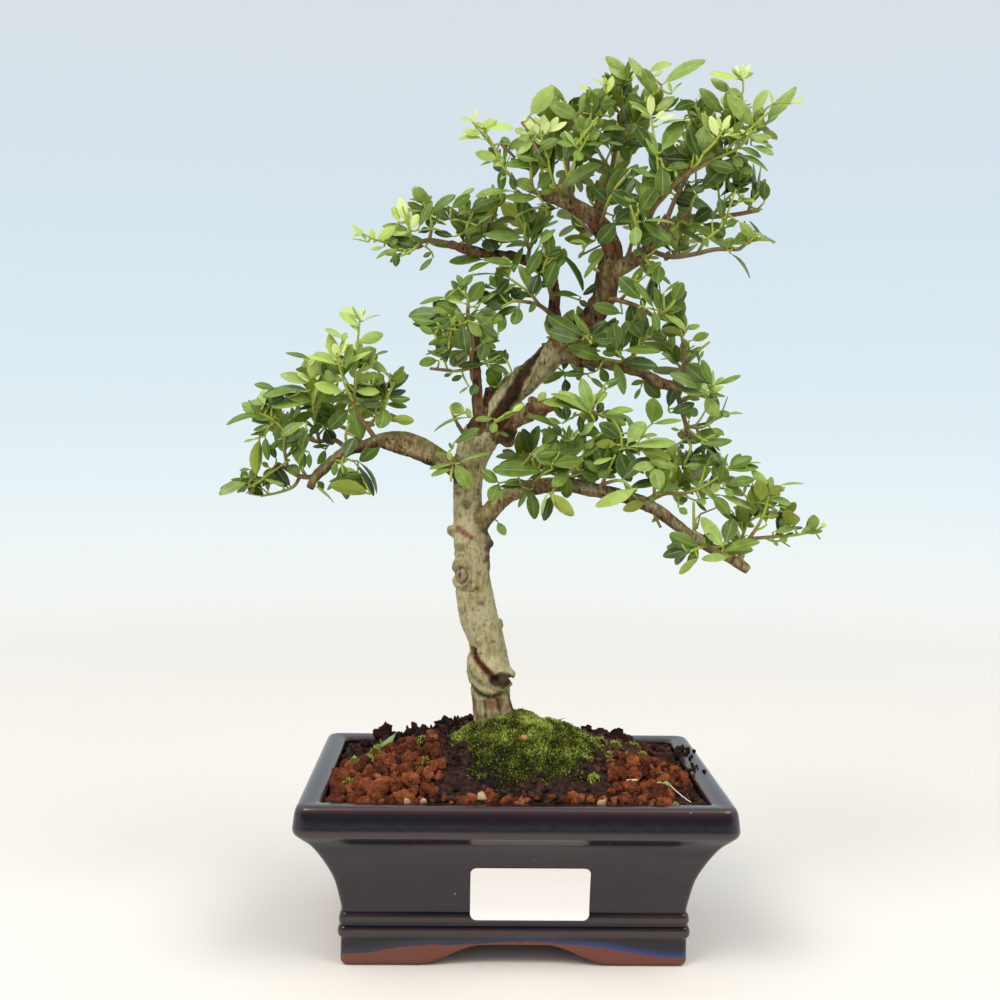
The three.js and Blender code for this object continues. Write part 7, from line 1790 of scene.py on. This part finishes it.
def stem(line, radii, greenness):
    """A round stem through a line of few places, thinner towards its end, with a rounded tip."""
    spine = smooth_line([[*p, 0.0] for p in line], 1.6)[:, :3]
    share = np.linspace(0, 1, len(spine))
    rows = tube(spine, radii[0] + (radii[1] - radii[0]) * share, 7)[0]
    shape = skin(rows)
    shape["paint"] = 2
    green = np.concatenate([np.repeat(greenness[0] + (greenness[1] - greenness[0]) * share, 7), greenness])
    shape["marks"] = np.stack([green, green, 0 * green], -1)
    return shape


# Holly leaf, upper side: leathery, with a thick clear cuticle that gives a bright, fairly sharp gloss.
# Fresh leaves are yellow-green, old ones deep green, and the tone along the ramps also carries painted light,
# shade and sheen. The midrib and the rolled edge are paler.
def leaf_finish(name, stops, rib, margin, roughness):
    """A leaf's finish: its tone along a ramp of greens, cells 0.4 mm wide, the midrib and the margin drawn on
    the flat map, whose first number runs along the leaf and second across it."""
    made, tree, shader = finish_of(name)
    place = add(tree, "TexCoord", out="Object")
    flat = add(tree, "SeparateXYZ", {0: add(tree, "UVMap", uv_map="flat")}, out=None)
    marks = add(tree, "SeparateColor", {0: add(tree, "Attribute", attribute_name="marks")}, out=None)
    mottle = add(tree, "TexNoise", {"Vector": place, "Scale": 220.0, "Detail": 3.0})
    shift = add(tree, "MapRange", {0: mottle, 1: 0.3, 2: 0.7, 3: -0.07, 4: 0.07})
    tone = add(tree, "Math", {0: marks.outputs["Red"], 1: shift}, operation="ADD")
    green = add(tree, "ValToRGB", {"Fac": tone}, stops)
    aside = add(tree, "Math", {0: flat.outputs["Y"], 1: 0.5}, operation="SUBTRACT")
    aside = add(tree, "Math", {0: aside}, operation="ABSOLUTE")
    on_rib = add(tree, "MapRange", {0: aside, 1: 0.05, 2: 0.01, 3: 0.0, 4: 0.3})
    ribbed = add(tree, "MixRGB", {"Fac": on_rib, "Color1": green, "Color2": rib})
    on_edge = add(tree, "MapRange", {0: aside, 1: 0.44, 2: 0.5, 3: 0.0, 4: 0.35})
    edged = add(tree, "MixRGB", {"Fac": on_edge, "Color1": ribbed, "Color2": margin})
    veins = add(tree, "TexNoise", {"Vector": place, "Scale": 420.0, "Detail": 1.0})
    plug(tree, shader, {
        "Base Color": edged,
        "Roughness": add(tree, "MapRange", {0: mottle, 3: roughness - 0.06, 4: roughness + 0.1}),
        "Specular IOR Level": 0.35,
        "Normal": add(tree, "Bump", {"Height": veins, "Strength": 0.1, "Distance": 0.0003}),
    })
    return made


leaf_upper = leaf_finish(
    "glossy evergreen leaf",
    [(0.0, "#1e3007"), (0.25, "#385010"), (0.5, "#677f25"), (0.75, "#9db35a"), (1.0, "#cfdda2")],
    "#b4c683", "#a4b76c", 0.4,
)
leaf_under = leaf_finish(
    "pale underside of a leaf",
    [(0.0, "#566615"), (0.5, "#85922e"), (1.0, "#b4bd62")],
    "#a9b560", "#98a44a", 0.5,
)
young_or_painted_sheen_leaf = leaf_finish(
    "soft leaf of this year or painted sheen",
    [(0.0, "#8ba536"), (0.5, "#a8bf58"), (1.0, "#cdda8c")],
    "#d3e2a6", "#bed080", 0.42,
)

# Stems: green and smooth at the tip, and brown, matt and slightly ridged further down
shoot_bark, tree, shader = finish_of("shoot bark")
place = add(tree, "TexCoord", out="Object")
marks = add(tree, "SeparateColor", {0: add(tree, "Attribute", attribute_name="marks")}, out=None)
grain = add(tree, "TexNoise", {"Vector": place, "Scale": 500.0, "Detail": 3.0})
brown = add(tree, "MixRGB", {"Fac": grain, "Color1": "#54402a", "Color2": "#947c54"})
soft_green = add(tree, "MixRGB", {"Fac": grain, "Color1": "#818f2c", "Color2": "#a6b248"})
ripe = add(tree, "MapRange", {0: marks.outputs["Red"], 1: 0.25, 2: 0.6})
plug(tree, shader, {
    "Base Color": add(tree, "MixRGB", {"Fac": ripe, "Color1": brown, "Color2": soft_green}),
    "Roughness": 0.7,
    "Specular IOR Level": 0.25,
    "Normal": add(tree, "Bump", {"Height": grain, "Strength": 0.3, "Distance": 0.0004}),
})


def tone_of(leaves, draws):
    """How light each leaf is: lighter towards the top of its pad, which is painted light, and with a tone of
    its own.
    """
    tips = leaves[:, :3] + leaves[:, 3:6] * leaves[:, 9:10]
    # Painted light: leaves higher in the pad are lighter
    top = ease(tips[:, 2] - np.median(tips[:, 2]), -14, 18)
    return np.clip(0.28 + 0.26 * top + draws.normal(0, 0.1, len(leaves)), 0.02, 0.9)


# Every leaf and bare stem that is seen gets its foot on the stems first, and so its spray
names = [*SPRAYS, *YOUNG]
nodes, owners = [], []
for number, name in enumerate(names):
    for line in SPRAYS[name][1:] if name in SPRAYS else [YOUNG[name][1]]:
        nodes.append(place_on(line, np.linspace(0, 1, int(length_of(line) / 1.5) + 2))[0])
        owners += [number] * len(nodes[-1])
for line in [TRUNK, *LIMBS.values()]:
    line = np.array(line)[:, :3]
    nodes.append(place_on(line, np.linspace(0, 1, int(length_of(line) / 1.5) + 2))[0])
    owners += [-1] * len(nodes[-1])
wood_line = np.vstack(nodes)[np.array(owners) < 0]
draws = np.random.default_rng(7)
rows = np.vstack([SEEN_STEMS, SEEN_LEAVES])
feet, own, twigs = carried(rows, np.vstack(nodes), np.array(owners), draws)
bare = len(SEEN_STEMS)
seen, droops = seen_leaves(SEEN_LEAVES, feet[bare:], draws)
SEEN_MIDDLES = (SEEN_LEAVES[:, :2] + SEEN_LEAVES[:, 2:4]) / 2
SEEN_HALVES = np.linalg.norm(SEEN_LEAVES[:, 2:4] - SEEN_LEAVES[:, :2], axis=1) / 2
SEEN_WAYS = unit(SEEN_LEAVES[:, 2:4] - SEEN_LEAVES[:, :2])
seen_depths = seen[:, 1] + seen[:, 4] * seen[:, 9] / 2


def seen_shapes(number, draws):
    """What is seen of one spray: its thin twigs, its bare stems and its noted leaves."""
    made = [stem(line, (0.6, 0.42), (0.35, 0.9)) for owner, line in twigs if owner == number]
    for i in np.flatnonzero(own[:bare] == number):
        end = at_depth(SEEN_STEMS[i, 2:4], feet[i, 1] + draws.normal(-2, 2))
        thick, green = SEEN_STEMS[i, 4] / 2, SEEN_STEMS[i, 5]
        made.append(stem([feet[i], (feet[i] + end) / 2, end], (thick, thick * 0.8), (green, green)))
    mine = own[bare:] == number
    if mine.any():
        # The tone seen on each leaf becomes its colour: painted shade where it was seen dark, painted sheen
        # where it was seen pale; from tone 8 up it takes the young finish, for this year's leaves and bright
        # sheen alike.
        tone = SEEN_LEAVES[mine, 5]
        fresh_or_painted_light = np.where(tone >= 8, 1.0, 0.1)
        tones = np.where(tone >= 8, (tone - 7) / 2, 0.04 + 0.84 * tone / 9)
        made.append(blades(seen[mine], tones + draws.normal(0, 0.03, len(tones)), fresh_or_painted_light, draws, droops[mine]))
    return made


for number, (name, lines) in enumerate(SPRAYS.items()):
    numbers = dice(number + 1)
    draws = np.random.default_rng(100 + number)
    foot = np.argmin(np.linalg.norm(wood_line - lines[0][0], axis=1))
    shapes = [stem([wood_line[foot], *lines[0]], (1.35, 1.0), (0.0, 0.25))]
    groups = []
    away = np.mean([line[0] for line in lines], axis=0)[:2] + [0, 6]
    for line in lines[1:]:
        shapes.append(stem(line, (0.95, 0.55), (0.2, 0.85)))
        groups.append(first_leaves(line, 9.8, (15, 23), numbers, away) * np.r_[np.ones(9), 0.92, 0.92])
        groups += [more_leaves(line, 2.4, (11, 20), draws, away), rosette(line, 6, (11, 18), draws, away)]
        for twiglet in side_shoots(line, draws):
            ending = [
                rosette(twiglet, 5, (10, 17), draws, away), more_leaves(twiglet, 3.0, (10, 17), draws, away),
            ]
            if hidden(np.vstack(ending)).any():
                shapes.append(stem(twiglet, (0.6, 0.42), (0.5, 1.0)))
                groups += ending
    leaves = np.vstack(groups)
    leaves = leaves[hidden(leaves)]
    if len(leaves):
        tones = np.clip(tone_of(leaves, draws), 0, 1)
        shapes.append(blades(leaves, tones, 0 * tones, draws))
    shapes += seen_shapes(number, draws)
    piece("leaves_" + name, shapes, [leaf_upper, leaf_under, shoot_bark, young_or_painted_sheen_leaf], [name])

for number, (name, (carrier, line)) in enumerate(YOUNG.items()):
    number += len(SPRAYS)
    draws = np.random.default_rng(200 + number)
    away = np.array(line[0])[:2] + [0, 4]
    leaves = np.vstack([more_leaves(line, 3.6, (9, 13), draws, away), rosette(line, 6, (9, 13), draws, away)])
    leaves = leaves[hidden(leaves)]
    shapes = [stem(line, (0.7, 0.45), (0.8, 1.0)), *seen_shapes(number, draws)]
    if len(leaves):
        tones = np.clip(draws.normal(0.4, 0.2, len(leaves)), 0, 1)
        shapes.append(blades(leaves, tones, np.ones(len(leaves)), draws))
    finishes = [leaf_upper, leaf_under, shoot_bark, young_or_painted_sheen_leaf]
    piece(name.replace("young", "soft_tip"), shapes, finishes, [name])

# Label: a paper sticker, die-cut with round corners and pressed on the front wall. It is left blank.
LABEL_MIDDLE = 6.8
LABEL_LENGTH = 54.5
LABEL_BOTTOM = 21.4
LABEL_TOP = 47.3
LABEL_CORNER = 3.0


def wall_out(z):
    """How far the front wall stands from the pot's middle at a height, read off the outer profile."""
    face = outside[(outside[:, 1] > 20) & (outside[:, 1] < 60) & (outside[:, 0] > -21.5)]
    face = face[np.arange(len(face)) < np.argmax(face[:, 1]) + 1]
    return RIM_DEPTH / 2 + np.interp(z, face[:, 1], face[:, 0])


heights = np.concatenate([
    LABEL_BOTTOM + LABEL_CORNER * (1 - np.cos(np.linspace(0.12, np.pi / 2, 8))),
    np.linspace(LABEL_BOTTOM + LABEL_CORNER, LABEL_TOP - LABEL_CORNER, 16)[1:-1],
    LABEL_TOP - LABEL_CORNER * (1 - np.cos(np.linspace(np.pi / 2, 0.12, 8))),
])
nearness = np.minimum(heights - LABEL_BOTTOM, LABEL_TOP - heights)
into_corner = np.maximum(LABEL_CORNER - nearness, 0)
half = LABEL_LENGTH / 2 - LABEL_CORNER + np.sqrt(LABEL_CORNER**2 - into_corner**2)
share = np.linspace(-1, 1, 41)
x = LABEL_MIDDLE + half[:, None] * np.concatenate([share, share[::-1]])
out = wall_out(heights)[:, None] + np.concatenate([np.full(41, 0.35), np.full(41, 0.12)])
rows = np.stack([x, -out, np.repeat(heights[:, None], 82, 1)], -1)

# Coated label paper: smooth, bright, very slightly warm, with a faint fibre pattern 1 mm wide
paper, tree, shader = finish_of("coated label paper")
place = add(tree, "TexCoord", out="Object")
fibre = add(tree, "TexNoise", {"Vector": place, "Scale": 900.0, "Detail": 3.0})
plug(tree, shader, {
    "Base Color": add(tree, "MixRGB", {"Fac": fibre, "Color1": "#fbf3ef", "Color2": "#fffaf7"}),
    "Roughness": add(tree, "MapRange", {0: fibre, 3: 0.4, 4: 0.5}),
})
piece("blank_label", [skin(rows)], [paper], ["label"], smooth=False)

# Floor: a wide pale disc that fades out far away into the studio's even background
floor_finish, tree, shader = finish_of("pale studio floor")
place = add(tree, "TexCoord", out="Object")
far = add(tree, "VectorMath", {0: place}, out=1, operation="LENGTH")
faded = add(tree, "MapRange", {0: far, 1: 0.3, 2: 1.5, 3: 1.0, 4: 0.0}, interpolation_type="SMOOTHSTEP")
plug(tree, shader, {"Alpha": faded, "Base Color": "#e7e0d8", "Roughness": 0.9})
turn = 2 * np.pi * np.arange(96) / 96
disc = np.stack([3.0 * np.cos(turn), 3.0 * np.sin(turn), np.full(96, -0.0006)], -1)
floor_mesh = bpy.data.meshes.new("floor")
floor_mesh.from_pydata(disc.tolist(), [], [list(range(96))])
floor_mesh.materials.append(floor_finish)
floor = bpy.data.objects.new("floor", floor_mesh)
bpy.context.scene.collection.objects.link(floor)

# Studio light: an even pale surround, cooler above and warmer below, and large soft lamps in front
world = bpy.data.worlds.new("studio surround")
bpy.context.scene.world = world
world.use_nodes = True
tree = world.node_tree
surround = tree.nodes["Background"]
up = add(tree, "SeparateXYZ", {0: add(tree, "TexCoord", out="Generated")}, out=None).outputs["Z"]
level = add(tree, "MapRange", {0: up, 1: -0.4, 2: 0.4})
sky_stops = [
    (0.0, "#fef8f2"), (0.2, "#fbf7f1"), (0.32, "#f6f7f2"), (0.4, "#eef6f6"),
    (0.475, "#e4f1f7"), (0.55, "#deedf3"), (0.7, "#d6e4ee"), (0.9, "#d9e0e6"),
]
sky = add(tree, "ValToRGB", {"Fac": level}, sky_stops)
plug(tree, surround, {"Color": sky, "Strength": 1.0})


def lamp(name, middle, aim, size, power, tint):
    """A square soft lamp of a size in metres, whose minus Z looks from its middle to its aim."""
    made = bpy.data.lights.new(name, "AREA")
    made.shape = "SQUARE"
    made.size = size
    made.energy = power
    made.color = linear(tint)[:3]
    hung = bpy.data.objects.new(name, made)
    bpy.context.scene.collection.objects.link(hung)
    back = unit(np.array(middle, float) - np.array(aim, float))
    right = unit(np.cross([0, 0, 1.0], back))
    turned = np.eye(4)
    turned[:3, 0], turned[:3, 1], turned[:3, 2], turned[:3, 3] = right, np.cross(back, right), back, middle
    hung.matrix_world = Matrix(turned.tolist())
    return hung


# A dark card behind the camera, which the glaze's upright faces mirror. The camera never sees it
card_mesh = bpy.data.meshes.new("dark_card")
card_corners = [(-2.4, -1.25, 0.0), (2.4, -1.25, 0.0), (2.4, -1.25, 2.4), (-2.4, -1.25, 2.4)]
card_mesh.from_pydata(card_corners, [], [(0, 1, 2, 3)])
card_finish, tree, shader = finish_of("black card")
plug(tree, shader, {"Base Color": "#07070d", "Roughness": 0.9})
card_mesh.materials.append(card_finish)
card = bpy.data.objects.new("dark_card", card_mesh)
bpy.context.scene.collection.objects.link(card)
card.visible_camera = False
card.visible_shadow = False
card.visible_diffuse = False

lamp("lamp_above_left", (-0.9, -0.9, 1.7), (0, 0, 0.2), 1.0, 23, "#fffaf2")
lamp("lamp_above_right", (1.0, -0.7, 1.6), (0, 0, 0.2), 1.0, 16.5, "#fdfcf6")

# The camera stands at EYE, 650 mm in front of the pot and at half the tree's height, and looks slightly down
yaw, pitch, roll = np.radians([1.46, -2.86, 0.81])
ahead = np.array([np.sin(yaw) * np.cos(pitch), np.cos(yaw) * np.cos(pitch), np.sin(pitch)])
level = np.array([np.cos(yaw), -np.sin(yaw), 0])
above = np.cross(level, ahead)
right = np.cos(roll) * level + np.sin(roll) * above
upright = np.cos(roll) * above - np.sin(roll) * level
lens = bpy.data.cameras.new("camera")
lens.lens = 47.484
lens.sensor_width = 36.0
lens.sensor_fit = "HORIZONTAL"
lens.clip_start = 0.01
lens.clip_end = 50
camera = bpy.data.objects.new("camera", lens)
bpy.context.scene.collection.objects.link(camera)
turned = np.eye(4)
turned[:3, 0], turned[:3, 1], turned[:3, 2] = right, upright, -ahead
turned[:3, 3] = EYE * 0.001 + POT_MIDDLE
camera.matrix_world = Matrix(turned.tolist())
bpy.context.scene.camera = camera
bpy.context.scene.view_settings.view_transform = "Standard"
